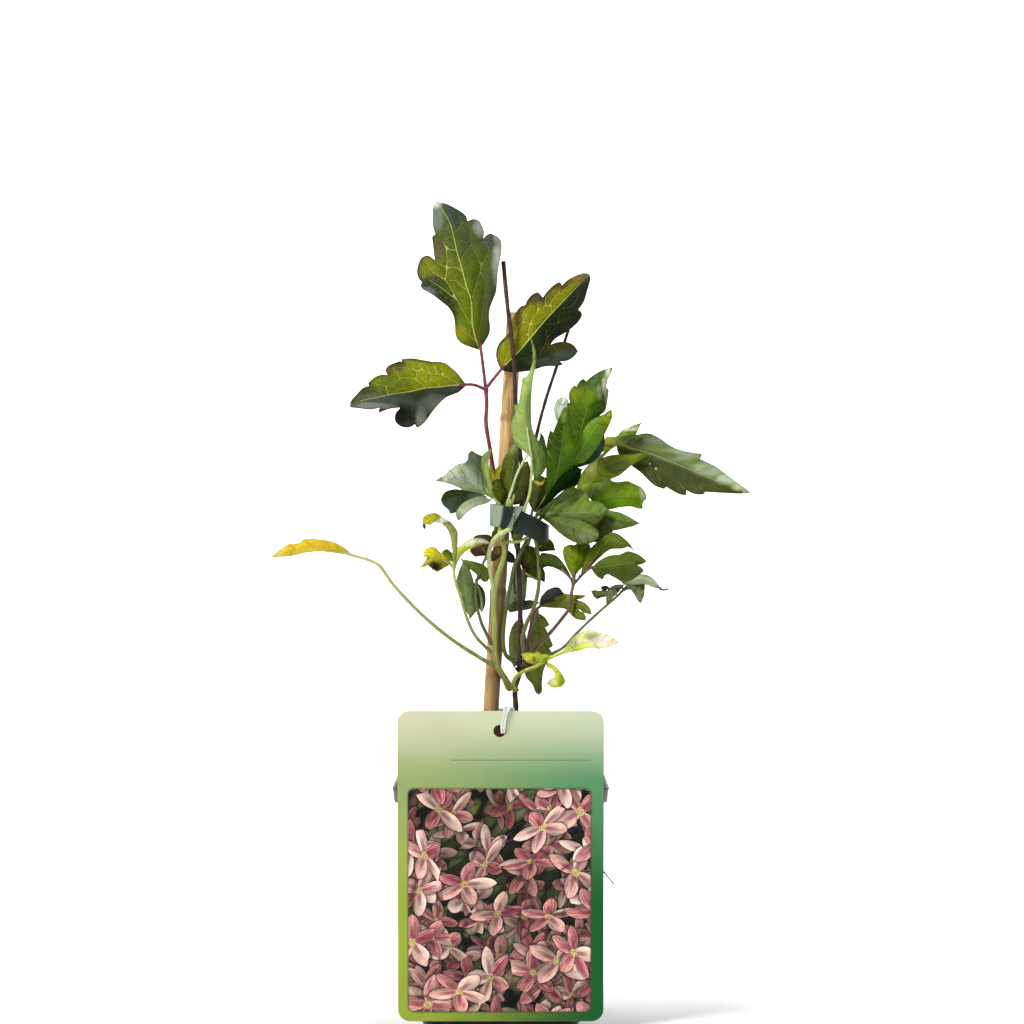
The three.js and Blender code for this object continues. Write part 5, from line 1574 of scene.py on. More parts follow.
FINGERED_LEAF = LeafFinish(
    "leaf_fingered_olive", "#747c24", "#646c20", "#262c0e", "#7c8848", vein_strength=0.4,
)
UNDERSIDE_LEAF = LeafFinish(
    "leaf_underside_grey", "#7f9070", "#6d7d5c", "#55643f", "#a3b08e", vein_strength=0.5,
)

RED_STALK = StalkFinish("stalk_red", "#6c303a", "#8a2c3a", "#ac5c62", 0.42)
PALE_STALK = StalkFinish("stalk_pale_green", "#868a40", "#b9c46e", "#c9d28a", 0.42)
OLIVE_STALK = StalkFinish("stalk_olive", "#5f6430", "#7e8048", "#98985c", 0.45)
DARK_OLIVE_STALK = StalkFinish("stalk_dark_olive", "#4e5a24", "#5f6c34", "#7a8448", 0.5)
BROWN_OLIVE_STALK = StalkFinish("stalk_brown_olive", "#6c5c34", "#7a6a3c", "#94845a", 0.5)
MAUVE_STALK = StalkFinish("stalk_mauve", "#442c2a", "#74583e", "#8c7454", 0.5)
MAROON_STALK = StalkFinish("stalk_maroon", "#4a2a2a", "#5c3430", "#7a544c", 0.5)
LIGHT_STALK = StalkFinish("stalk_light", "#b3bc74", "#c8d890", "#dfe8b4", 0.4)


# ---- Leaves ----

TOP_LEAF_STALKS = (
    Stalk(1, 0.85, ((517.5, 548, 2.6), (510, 524, 4.8), (506, 508, 4.9), (499, 491, 4.8), (493, 467, 0.6),
           (489.5, 446, -2.6), (485.9, 422, -5), (486.7, 405.6, -6), (485.9, 388, -6.5))),
    Stalk(0.75, 0.6, ((486, 392, -6.5), (483.4, 369, -5.8), (480, 343, -6.4))),
    Stalk(0.75, 0.6, ((486.5, 390, -6.5), (474.3, 385, -7.4), (460, 384.6, -9.6))),
    Stalk(0.75, 0.6, ((485.5, 389, -6.5), (493.4, 379, -6.4), (504, 366, -6.1))),
)
TOP_LEAF_BLADES = (
    Blade(TOP_MIDDLE_LEAF, (-5.5, -13, 12), (-0.15, 0.25),
          ((479.5, 350), (475.5, 338), (472.5, 325), (471, 300), (466, 285), (462.3, 270), (457, 252),
           (453, 234), (449, 221), (437, 201.5)),
          ((470, 347), (463, 344), (458, 340), (455.5, 334), (455, 325), (453.5, 316), (449, 308),
           (442, 302), (435, 296.5), (428, 292), (423, 289.5), (420.5, 286), (422, 282.5), (418.5, 278),
           (417, 271), (418.5, 264), (422, 257.5), (427, 255.5), (431, 257), (435, 260.5), (434, 254),
           (433, 245), (432, 237), (435.4, 234.6), (433, 226), (433, 215), (433.5, 206)),
          ((482, 346), (486, 340), (489.5, 333), (490, 325), (489, 317), (490, 308), (493, 300), (496, 292),
           (497, 283), (498, 270), (500, 260), (501.5, 250), (501, 241), (498, 237), (494, 235),
           (490, 233.5), (486, 235.5), (483, 239), (484, 232), (482, 226), (479, 221), (474, 219),
           (467.6, 221), (466, 216), (463, 213), (455, 208), (447, 204)),
          (((476, 342), (470, 336), (464, 332), (460, 324.5), (456, 316)),
           ((472.5, 325), (465, 315), (457, 300), (450, 287), (445.5, 280.5), (432, 271.5), (428, 265.5),
            (423, 258)),
           ((457, 300), (449, 294), (440, 287), (431, 281)),
           ((445.5, 280.5), (446.5, 270), (447, 262), (446, 250), (443, 241)),
           ((462.3, 271), (454, 267), (447.5, 268), (442, 265.5), (435.5, 261)),
           ((456, 250.5), (449, 249), (445.5, 245.5)),
           ((465.5, 289), (460, 285), (457, 281.5), (450, 280)),
           ((471, 300), (474.5, 290), (477, 280), (480.5, 268.5), (477.5, 257), (472.5, 247), (470.5, 237),
            (469.5, 229), (463.5, 223.5)),
           ((480.5, 268.5), (484.5, 259), (488, 250), (487.5, 244.5), (480, 241)),
           ((478, 345), (479.5, 330), (482.5, 311), (484.5, 292), (484.5, 282), (481.5, 273)),
           ((460, 264), (463, 255), (470, 246)),
           ((463, 269), (469, 263)),
           ((453, 234), (458, 229), (460.5, 225), (459.5, 217), (457, 210)))),
    Blade(TOP_LEFT_LEAF, (-8.5, -20, -34), (0.5, 0.3),
          ((466, 384.5), (450, 385.5), (440, 386.8), (425, 388), (410, 391.5), (390, 394.5), (375, 398),
           (362, 400.5), (350, 405.5)),
          ((462, 379), (456, 371.5), (450, 366.5), (446, 363.5), (441, 362), (432, 361.5), (420, 359.5),
           (412, 358.3), (402.6, 359), (402.6, 363), (400, 361), (393, 363.5), (387.5, 366.5), (385.5, 370),
           (388.5, 374.8), (380, 375), (373, 378.5), (368.5, 383), (370, 385.5), (363, 388), (357, 394),
           (351, 401)),
          ((463, 388.5), (459, 392), (452, 395), (446, 397.5), (441, 402), (433, 411), (427, 419.5),
           (422, 425), (417.5, 427.8), (415, 424.3), (409, 427.5), (400, 426), (395.5, 421), (396, 413),
           (400.5, 407.5), (389, 409), (379, 412.8), (380.5, 407.6), (371, 409.5), (360, 408.5),
           (351, 407.5)),
          (((461, 384.5), (452, 380), (445, 376.5), (437, 374), (430, 373.5), (422, 370.5), (412, 369.5),
            (405, 367.5), (398, 367), (391, 368)),
           ((426, 388), (420, 383), (415.5, 379.5), (408, 378), (402, 378), (395, 381), (389, 383.5),
            (386, 386), (380, 384.5), (373, 383.5)),
           ((415.5, 379.5), (416.5, 372.5)),
           ((430, 373.5), (427, 367), (421, 362)),
           ((437, 373.5), (433, 366.5), (431, 364)),
           ((444, 376), (440, 368), (436, 366)),
           ((424, 371), (419, 365), (416, 362)),
           ((414, 370), (411, 363)),
           ((440, 386.5), (433, 380.5), (425, 381.5)),
           ((430, 380), (430.5, 374)),
           ((388, 394.5), (386.5, 390), (386, 386.5)),
           ((406, 392), (402, 385)),
           ((400, 378), (396, 373.5), (393, 369)),
           ((425, 382), (420.5, 377), (419, 372)))),
    Blade(TOP_RIGHT_LEAF, (-6.4, -3, 20), (0.05, 0.35),
          ((501, 369.5), (508, 362), (515, 355.5), (530, 338.3), (545, 320.5), (560, 304.5), (575, 289),
           (589, 274)),
          ((498, 364), (496, 355), (497, 348), (500, 342), (505, 337), (510, 331), (512, 320), (515, 314),
           (519, 308), (523, 305.5), (525.5, 305), (528, 299), (533, 294), (538, 292), (540.5, 294.5),
           (542.8, 297.4), (546, 293), (552, 286.5), (558, 282.5), (560, 282.2), (562, 285.4), (567, 280.5),
           (575, 276), (584, 273)),
          ((504, 371), (512, 372.3), (525, 371.5), (533, 370), (545, 366.5), (556, 366), (563, 365),
           (560, 361.5), (568, 360.5), (575, 355.5), (578, 351.5), (575, 346.5), (570, 343), (563, 341.7),
           (556, 342.5), (550.6, 344.6), (555, 339), (565, 333), (573, 327), (579, 321), (582, 315),
           (581, 311.5), (578.2, 309.8), (582, 305), (584.5, 300), (587.5, 290), (590.5, 278)),
          (((502, 368), (506, 358), (509, 350), (509.5, 342)),
           ((498, 360), (498.5, 350), (502, 344), (507, 340)),
           ((528, 340), (528.5, 330), (530, 324), (534, 316), (539, 310), (545, 306.5), (551, 305.5)),
           ((530, 324), (524, 322), (520, 325), (516, 331), (514, 338), (520, 338), (526, 334)),
           ((524, 322), (522.5, 316), (523.5, 312), (528, 307), (531, 303)),
           ((530, 324.5), (537, 323.5), (541, 318), (547, 314), (551, 314)),
           ((551.5, 314), (551.5, 309), (550.5, 304), (553.5, 298), (558, 293), (560, 286)),
           ((558, 293.5), (561, 293.5), (566, 288), (574, 284), (580, 280.5)),
           ((545, 305), (545.5, 298), (549, 293)),
           ((537, 311), (538, 303)),
           ((545, 324), (557, 323.5), (564, 320), (570, 317)),
           ((557, 323.5), (559, 316), (560, 311)),
           ((562, 308), (570, 307), (576, 301), (580, 293)),
           ((540, 353), (545, 345), (547, 338), (555, 332)),
           ((547, 338), (546, 329)),
           ((512, 362), (525, 358), (538, 355)))),
)
NARROW_LEAF_STALKS = (
    Stalk(0.8, 0.4, ((520.5, 531, -3.6), (521.5, 521, -6), (525, 508, -7.2), (529.5, 494, -7.8),
           (531.2, 479, -8.8), (531.5, 462, -11.2), (529.6, 445, -13), (527.2, 428, -14))),
    Stalk(0.6, 0.55, ((506.4, 511, -7.5), (507.6, 502.5, -8.2), (512, 489, -9.8), (516.6, 475, -11),
           (522.8, 462.6, -11.4), (529, 453, -10.4))),
)
NARROW_LEAF_BLADES = (
    Blade(NARROW_LEAF, (-8, -14, -9), (0.25, 0.25),
          ((534, 481), (532, 452), (526, 426), (527, 395), (531.5, 374), (534.5, 361), (534, 349),
           (530.5, 339)),
          ((530, 458), (516.7, 445), (511.9, 433), (512.3, 418), (514.8, 414), (513.8, 405.6), (518.6, 404),
           (521, 389), (522.4, 378), (526.5, 376.6), (530.6, 368), (533, 360), (533, 353), (532, 345.5)),
          ((547, 466), (543.5, 448.6), (533, 431), (531, 405), (532, 388), (533.5, 376), (535.6, 366),
           (536.2, 357), (535.2, 349), (533, 343))),
)
LEFT_UPPER_STALKS = (
    Stalk(1.4, 0.9, ((509.3, 687.5, -1.6), (505, 679, -3.4), (498, 667, -4.8), (495, 650, -5.2),
           (495, 628.5, -5.1), (494, 603, -5.1), (497, 579, -5.1), (504, 555, -5.4), (503, 541.7, -5.6),
           (500.5, 520, -5.4), (499, 504, -5.2), (488, 490, -5.2))),
    Stalk(0.95, 1.0, ((495, 655, -4.6), (494.4, 630, -4.2), (494, 604, -4), (493.2, 590, -4.6),
           (490.2, 571, -6.4), (488.9, 556, -7.5), (491.6, 543.5, -8.8), (498, 535.5, -9.6),
           (505, 531.5, -9.8), (511.2, 527.5, -9), (513, 516, -6.4), (509, 500, -5.6)), LIGHT_STALK),
    Stalk(0.6, 0.6, ((504, 538, -5.6), (499.5, 516, -5.6), (500, 494, -5.4))),
    Stalk(0.6, 0.6, ((510.5, 530, -5.8), (511, 512, -5.4), (514, 494, -5))),
    Stalk(0.85, 0.6, ((503, 541, -6.4), (511, 542, -7.4), (519, 541.4, -7.2), (528, 537, -6))),
)
LEFT_UPPER_BLADES = (
    Blade(GREY_UPPER_LEAF, (-4.8, -11, -24), (0.15, -0.15),
          ((491.5, 497), (480, 489), (462, 480.5), (448, 477), (436.5, 481.3)),
          ((488, 485), (485, 470), (482.5, 456), (477, 453.7), (472, 450.7), (468.7, 454), (468.4, 459),
           (465.5, 462.5), (458.5, 464), (450, 469.7), (444.5, 475.3), (440, 477.6)),
          ((489, 496), (475, 493.4), (463.5, 491), (460.5, 488.6), (455, 486), (445, 482.3))),
    Blade(STRIP_LEAF, (-6.4, -11, -13), (0.2, 0.2),
          ((492, 500), (487.5, 482), (485, 466), (492, 447.5)),
          ((489, 494), (484.5, 477), (481, 462), (483, 454.5), (488, 450.5)),
          ((493, 489), (490.8, 476), (488.6, 463), (490, 455.5))),
    Blade(YELLOW_TUFT_LEAF, (-7.4, -8.8, -9.4), (0.1, 0.1),
          ((492.6, 487), (491.6, 474), (489.2, 460.5)),
          ((490.6, 480), (489.4, 468)),
          ((495, 480), (493.2, 470), (490.4, 463))),
    Blade(TUFT_PRONG_LEAF, (-7, -8.4, -9), (0.1, 0.1),
          ((493.4, 488), (496.5, 476), (502.6, 465)),
          ((493, 480), (495, 470.5), (498.4, 466.5)),
          ((497, 483), (500.4, 474), (502.2, 468.5))),
    Blade(DARK_LOBE_LEAF, (-5, -13, -22), (0.2, -0.25),
          ((487, 496.5), (465, 496), (451, 498), (441, 499)),
          ((478, 493), (464, 490.3), (455, 489.2), (447, 491), (442.5, 495)),
          ((472, 502), (461, 509), (455.5, 512.6), (450, 513.8), (448.8, 510.5), (444, 505.5))),
    Blade(PALE_LOBE_LEAF, (-5.2, -15.6, -24), (0.1, -0.3),
          ((491.5, 500), (475, 502), (464, 509), (457.5, 520.3)),
          ((481, 496), (466, 501), (458.5, 507.5), (455.7, 514)),
          ((487, 503.3), (476, 506.5), (467, 512.5), (461, 518.6))),
    Blade(UPRIGHT_OLIVE_LEAF, (-5.4, -8, -8.6), (0.35, 0.3),
          ((507, 503), (512, 475), (515, 442.5)),
          ((501.5, 490), (500, 475), (502.5, 461.5), (508.5, 451)),
          ((514, 494), (518.5, 478), (519, 462), (517.6, 446))),
    Blade(DARK_OLIVE_LEAF, (-5.6, -8.8, -8), (0.2, 0.15),
          ((503, 504), (500, 490), (494.5, 478)),
          ((497, 500), (492.3, 489), (492.6, 481)),
          ((505.5, 496), (503.5, 485), (499, 478.5))),
    Blade(OLIVE_BROWN_LEAF, (-5, -5.6, -6), (0.1, 0.1),
          ((512, 505), (520, 485), (527.5, 461)),
          ((508, 497), (513, 479), (521, 464)),
          ((523, 502), (529, 486), (529.5, 466))),
    Blade(BUD_LEAF, (-8.4, -9, -8.4), (0.5, 0.5),
          ((500.5, 524), (499.8, 531), (498.5, 538)),
          ((498, 529), (497, 535)),
          ((503.5, 529), (502, 536))),
    Blade(DARK_OLIVE_LEAF, (-7, -7.6, -7), (0.3, 0.3),
          ((500, 526), (495, 532), (492, 540)),
          ((495, 527), (491.5, 534)),
          ((500, 533), (496, 539.5))),
    Blade(OLIVE_LEAF, (-8, -8.6, -8), (0.3, 0.3),
          ((511, 538.5), (517, 535.5), (524, 534)),
          ((513.5, 532), (520, 530.8)),
          ((516, 540.6), (521.6, 539))),
    Blade(BLACK_GREEN_LEAF, (-1.6, -2, -2), (0.2, 0.2),
          ((504, 551), (509, 557), (515, 563)),
          ((509, 550.5), (514.5, 556)),
          ((504.5, 558), (509, 562.5))),
    Blade(BROWN_LEAF, (-6.6, -7, -6.4), (0.3, 0.3),
          ((490.5, 561), (495, 554), (501, 546)),
          ((490.6, 554), (495, 547)),
          ((496, 560), (501, 554))),
)
RIGHT_FRONT_STALKS = (
    Stalk(0.9, 0.75, ((525, 657.5, -3), (522.5, 639, -3), (526.8, 623, -2.6), (533.7, 608, -2.2),
           (538.3, 589, -1.8), (539, 566, -1.4), (536.5, 545, -2), (533, 528, -3.4), (541, 506, -4.9),
           (555, 482, -8.4))),
    Stalk(0.6, 0.55, ((534.5, 532, -2.6), (531.5, 515, -1.8), (539, 492, -3.6))),
    Stalk(0.55, 0.5, ((538.5, 556, -1.4), (535.5, 548, -1), (541, 545.5, -1))),
    Stalk(0.55, 0.5, ((538.7, 580, -1.6), (530, 576, -3.4), (526, 573.5, -3.8))),
)
RIGHT_FRONT_BLADES = (
    Blade(BRIGHT_LEAF, (-9, -15, -16), (0.1, 0.4),
          ((556, 487), (571, 469), (577, 447), (585, 415), (593, 393), (612, 367.3)),
          ((562, 466), (569, 445), (570, 432), (567.4, 416), (567, 405), (570, 402.3), (568.8, 398),
           (570, 390.5), (574.5, 385), (576.3, 386.8), (580, 380.8), (583.5, 378.8), (586, 381.5),
           (590.5, 377.3), (600, 371.3)),
          ((574, 470), (585, 445), (594, 424), (600, 415.5), (605, 411), (607.2, 402), (608.8, 390.5),
           (606, 387.8), (608, 379), (612, 371))),
    Blade(BRIGHT_LOBE_LEAF, (-10.6, -16.4, -17), (0.15, 0.25),
          ((570, 470), (582, 449), (597, 426), (611.5, 409.3)),
          ((571, 457), (580, 436), (590, 421), (604.6, 413.8)),
          ((584, 463), (597, 448), (605, 433.5), (609.5, 424), (612, 417))),
    Blade(SHADOW_LOBE_LEAF, (-8.6, -12, -12.5), (0.1, 0.3),
          ((558, 487), (575, 467), (592, 449), (604.5, 435)),
          ((565, 472), (580, 450), (594, 437)),
          ((572, 469.5), (582, 466.5), (592, 462.5), (600, 455.5), (604.5, 445))),
    Blade(BRIGHT_SIDE_LEAF, (-7.6, -18, -24), (0.3, 0.12),
          ((545, 504), (556, 478), (561, 450), (565.5, 407)),
          ((545.6, 490), (546.2, 470), (546.3, 450), (547.8, 438), (550, 430.3), (552.8, 433), (556, 425),
           (560, 415.5), (563.8, 408)),
          ((559, 486), (571, 468), (577, 455), (573, 437), (568.4, 418))),
    Blade(SHADED_GREEN_LEAF, (-6, -14, -15.5), (0.1, 0.25),
          ((534.5, 513), (550, 497), (565, 482), (581.5, 469)),
          ((548, 494), (560, 477), (571, 469.3), (577, 467.4)),
          ((549, 503), (560, 492.5), (570, 487.3), (577, 485), (581, 475))),
    Blade(PALE_BACK_LEAF, (-13, -14, -12), (0.3, 0.3),
          ((561, 425), (557.5, 411), (563.5, 397)),
          ((556, 419), (554, 408), (557.5, 399.5)),
          ((566, 415), (568.6, 402.5), (567.3, 399))),
    Blade(TINY_GREY_LEAF, (-6.5, -6.5, -6), (0.3, 0.2),
          ((545, 468), (542.5, 450), (540.8, 433)),
          ((540, 462), (538.6, 444)),
          ((548, 464), (546.5, 448), (543.4, 436))),
    Blade(OLIVE_BROWN_LEAF, (-3, -4.5, -5), (0.3, 0.2),
          ((534, 512), (538, 495), (544.5, 477)),
          ((529, 503), (529.5, 487), (536, 475)),
          ((541, 506), (547.5, 493), (548, 480))),
    Blade(YELLOW_TUFT_LEAF, (-9.5, -10, -10), (0.1, 0.1),
          ((533.5, 480.5), (538.5, 484.5), (545, 478)),
          ((536, 480.4), (540.5, 483)),
          ((536.5, 483.8), (541.6, 485.6))),
    Blade(DARK_OLIVE_LEAF, (-1, -2, -3), (0.2, 0.3),
          ((536, 547), (545, 542), (555, 550.6)),
          ((540, 537.5), (548, 538), (553.5, 543.5)),
          ((541, 552), (548, 551))),
    Blade(DARK_OLIVE_LEAF, (1.5, 1, 0), (0.2, 0.2),
          ((521, 552), (532, 561), (545, 582)),
          ((527, 545.5), (536, 548.5), (540, 562), (545, 573)),
          ((520.5, 563), (526, 577), (537, 579.5))),
)
RIGHT_BACK_STALKS = (
    Stalk(0.85, 0.7, ((524.3, 590, 1.3), (525.5, 575, 3), (525, 560, 3.6), (530, 538, 3.4), (540, 519, 3.2),
           (556, 502, 3.8), (580, 480, 4.4), (604, 454, 3.8), (617, 444.5, 3.2), (636, 450, 1.4))),
    Stalk(0.7, 0.6, ((578, 482, 4.4), (590, 483, 4.2), (604, 490, 3.4))),
    Stalk(0.6, 0.5, ((584, 476, 4.4), (594, 478, 3.8), (606, 468.5, 2.6))),
    Stalk(0.6, 0.5, ((604, 454, 3.9), (612, 447, 4.2), (622, 439, 5.8))),
)
RIGHT_BACK_BLADES = (
    Blade(DROOPING_LEAF, (3, -8, -32), (0.4, -0.3),
          ((616, 444), (648.5, 453), (687.6, 468.4), (720, 482), (751, 492.3)),
          ((622, 436.5), (637.7, 434.6), (648.5, 433.4), (659.4, 438), (670, 445.6), (682, 450.5),
           (702, 454), (699.5, 458.7), (714.7, 466), (731, 478)),
          ((618.7, 454), (632, 466), (641, 472.7), (655, 485.8), (664, 489), (666, 486.8), (679, 494),
           (685.4, 495), (686, 490), (702.8, 494.4), (705, 491.7), (720, 492.8), (741.8, 493.4))),
    Blade(WHITE_EDGED_LEAF, (1.4, 5, 11), (0.1, -0.4),
          ((602, 452), (613, 442), (627, 431.5), (641.5, 422.6)),
          ((602.5, 443), (606.5, 436.8), (616, 436.3), (622, 430.6), (632, 425.9)),
          ((611, 449.5), (622, 438.6), (635.5, 435.3), (639, 428))),
    Blade(LIME_UPPER_LEAF, (1.4, -2, -8), (0.2, 0.1),
          ((582, 489), (597, 470), (620, 460.5), (649, 454.6)),
          ((576.5, 488), (582, 473), (589, 464), (600, 458.6), (612, 455), (630, 454.2), (644, 453)),
          ((594, 492), (606, 481), (612, 478.6), (620, 475), (631, 465.8), (641, 459.6))),
    Blade(LIME_LOWER_LEAF, (1, -3, -2), (0.3, -0.1),
          ((578, 488), (598, 499.5), (620, 496.5), (646.4, 498.5)),
          ((590, 476), (602, 472), (607.3, 469), (609, 474), (611, 480), (616, 482), (628, 481.2),
           (634.5, 484), (641, 487.3), (645.7, 493.5)),
          ((585, 494), (595, 503), (608, 509.3), (620, 507.3), (631, 506.6), (640, 509), (643, 508.4),
           (642.6, 503.4))),
)
FAN_STALKS = (
    Stalk(0.9, 0.75, ((513.5, 661, -4), (506, 655, -5), (503, 640, -5), (507, 603, -3.6),
           (510.7, 583.5, -2.8), (514.5, 566, -2.8), (520.7, 552, -3), (526.5, 541, -1), (531, 530, 0),
           (538, 514.6, 0.7), (556, 514, -0.6))),
)
FAN_BLADES = (
    Blade(FAN_LEAF, (-1, -10, -17), (0.15, -0.1),
          ((536, 513.6), (560, 513), (585, 512.5), (608, 510.5)),
          ((545, 505), (556, 497), (565, 489.5), (571, 486.4), (577, 488.3), (584, 491.3), (588.6, 496.5),
           (589.4, 500.3), (597, 501), (604.5, 505.5)),
          ((549, 523), (565, 531), (582, 531), (600, 520))),
    Blade(FAN_LOBE_LEAF, (-2, -12.5, -19), (0.25, -0.3),
          ((542, 516), (560, 522), (580, 530), (599, 538)),
          ((558, 516), (576, 519), (590, 524), (598, 531)),
          ((552, 526), (564, 536.5), (578, 543.5), (590, 543.5))),
    Blade(FAN_LOBE_LEAF, (-2, -8, -21), (0.15, -0.2),
          ((560, 514), (588, 514), (612, 518), (640, 523.5)),
          ((580, 507), (597, 503), (610.4, 510.3), (620, 512.5), (630, 517.3)),
          ((580, 524), (597, 531), (612.4, 530.8), (625.8, 528))),
    Blade(FAN_BACK_LEAF, (0, -5, -8), (0.15, -0.2),
          ((562, 517), (588, 526), (605, 538.5)),
          ((585, 514), (608, 522), (613, 531)),
          ((575, 527), (590, 541), (598, 542))),
)
YELLOW_LONG_STALKS = (
    Stalk(0.9, 0.6, ((492.2, 665, -6.6), (467.5, 650, -10.5), (447.7, 636.4, -14), (424, 616.6, -18),
           (408, 601, -20.4), (392, 583, -22.4), (378.5, 565, -23.6), (368.6, 560, -24.2),
           (352.8, 555.4, -24.3), (338, 550.5, -26))),
)
YELLOW_LONG_BLADES = (
    Blade(GOLD_LEAF, (-24, -28, -20), (0.5, -0.3),
          ((352.8, 555.4), (335, 549.5), (315, 546), (295, 549.5), (270.8, 557.3)),
          ((346, 549), (335, 542.5), (325, 540), (303.4, 539.5), (300.4, 542.5), (287.6, 544.5)),
          ((339, 553.6), (323, 551.4), (307, 552.4), (289.5, 556.3))),
)
YELLOW_SMALL_STALKS = (
    Stalk(0.75, 0.6, ((490.5, 652, -6.8), (486, 647.5, -8), (475.4, 636, -11), (466.8, 618, -14),
           (460, 595.6, -16), (455, 580, -17), (453, 563, -17.4))),
    Stalk(0.5, 0.45, ((454, 570, -17.2), (457, 561, -16.8), (463, 552, -15.2))),
    Stalk(0.5, 0.45, ((454, 570, -17.2), (450, 564, -17.6), (441, 559.5, -20))),
    Stalk(0.6, 0.5, ((424, 525, -24.6), (424.6, 528, -25.6)), BLACK_STALK),
)
YELLOW_SMALL_BLADES = (
    Blade(CURLED_STRIP_LEAF, (-17, -22, -24), (0.4, 0.2),
          ((455, 566), (455, 548), (453.4, 533), (445, 522)),
          ((453.4, 556), (452, 548), (451, 540), (449, 533), (446, 527.5), (441, 523.5)),
          ((456.8, 556), (457.4, 548), (457.7, 538), (457.6, 532), (454.6, 526.5), (450, 521.2))),
    Blade(CURLED_FOLD_LEAF, (-24, -25, -25), (0.3, 0.1),
          ((450, 521.5), (443, 520), (434, 522)),
          ((445, 522.6), (439, 523.2)),
          ((445, 518.6), (440.5, 516.8), (436.5, 518.8))),
    Blade(CURLED_YELLOW_LEAF, (-25, -26.5, -25), (0.3, 0.4),
          ((441.5, 517), (433, 517.5), (426, 520), (422.6, 526)),
          ((437, 518.8), (434, 522), (430, 525), (426, 524.4)),
          ((438.5, 514.2), (433, 512.8), (427, 514.6), (423, 518))),
    Blade(SPOTTED_LEAF, (-17.2, -24, -32), (0.3, -0.2),
          ((451, 562), (441, 559), (432, 557), (424, 562), (419, 568.3)),
          ((446, 556.5), (439, 551), (435.5, 547.5), (431, 546.8), (426, 549), (423.5, 554), (424, 555.8),
           (428.4, 556.4), (426, 560)),
          ((449.5, 564.5), (441, 570), (437, 572), (434, 570), (431, 567), (428, 564.6), (424.5, 566.6))),
    Blade(YELLOW_WING_LEAF, (-17, -14, -10), (0.25, -0.2),
          ((455, 566), (459, 554), (470, 546), (490.5, 543.6)),
          ((452, 553), (454, 549), (460, 546), (466, 541), (472, 538.6), (480, 538), (486, 540)),
          ((457.5, 562.5), (460, 558), (464, 553), (470, 549), (476, 546.4), (482, 544.6))),
    Blade(LOWER_TOP_LEAF, (-16.6, -14, -14), (0.2, 0.2),
          ((453.5, 562), (449, 555.5), (444, 550.5)),
          ((449, 560), (444, 556), (441.6, 551.8)),
          ((454, 559), (452, 553), (447.6, 549))),
)
DRY_STALKS = (
    Stalk(0.5, 0.45, ((490.6, 561, -4.6), (489, 556.5, -5.2), (483, 549, -6.6))),
)
DRY_BLADES = (
    Blade(BROWN_LEAF, (-5.4, -7, -6), (0.3, -0.2),
          ((488.5, 556), (482, 547), (479, 534.4)),
          ((481, 556), (475, 556.6), (470, 552), (471, 543), (473.7, 537)),
          ((491, 548), (493.6, 540), (489.5, 535))),
)
STRAP_STALKS = (
    Stalk(0.75, 0.6, ((490.8, 643, -5.6), (486, 633, -5.6), (481.3, 622.6, -5.8), (476.4, 603, -6.6),
           (475.6, 587, -7), (479.3, 573, -7), (486, 557, -6.2))),
    Stalk(0.55, 0.5, ((476.5, 580, -7), (482, 576, -7.2), (478, 567.5, -7.6), (464, 561, -7.9),
           (464, 572, -7.6))),
    Stalk(0.5, 0.45, ((475.5, 584, -6.9), (478.5, 590, -6.4), (480, 596, -6.3))),
)
STRAP_BLADES = (
    Blade(STRAP_FRESH_LEAF, (-6, -8, -8), (0.2, 0.2),
          ((488, 581), (478, 567.5), (460.5, 559)),
          ((490, 571), (484, 565), (472, 561)),
          ((483, 582), (476, 574), (467, 567))),
    Blade(STRAP_LEAF, (-8.6, -7.4, -5.4), (0.1, 0.3),
          ((463, 562), (465, 588), (470.4, 618.6)),
          ((459, 571), (456.6, 582), (461.5, 595), (463.5, 606)),
          ((469, 568), (475.4, 589), (477.4, 608.7))),
    Blade(STRAP_SMALL_LEAF, (-6.2, -6.5, -6), (0.2, 0.3),
          ((477, 582), (481, 598), (482, 613)),
          ((475.5, 590), (477.5, 605)),
          ((484, 590), (485.5, 603))),
)
RIGHT_LOWER_STALKS = (
    Stalk(0.85, 0.7, ((529.5, 659.5, -3.4), (535.7, 648, -6), (550, 633, -9), (564, 616, -11.6),
           (569.6, 608, -12.4), (571.3, 594, -12.6), (574.4, 580, -12))),
    Stalk(0.55, 0.5, ((573.6, 584, -12.1), (574.5, 577, -11.6), (575, 566, -10))),
    Stalk(0.55, 0.5, ((573, 585, -12.2), (571, 579, -11.6), (562, 570, -9.8))),
    Stalk(0.6, 0.5, ((573, 585, -12.2), (583, 573.6, -12), (592, 561, -12.4))),
    Stalk(0.55, 0.5, ((580, 576.5, -12.1), (592.7, 567, -13.2), (606, 566.2, -16))),
)
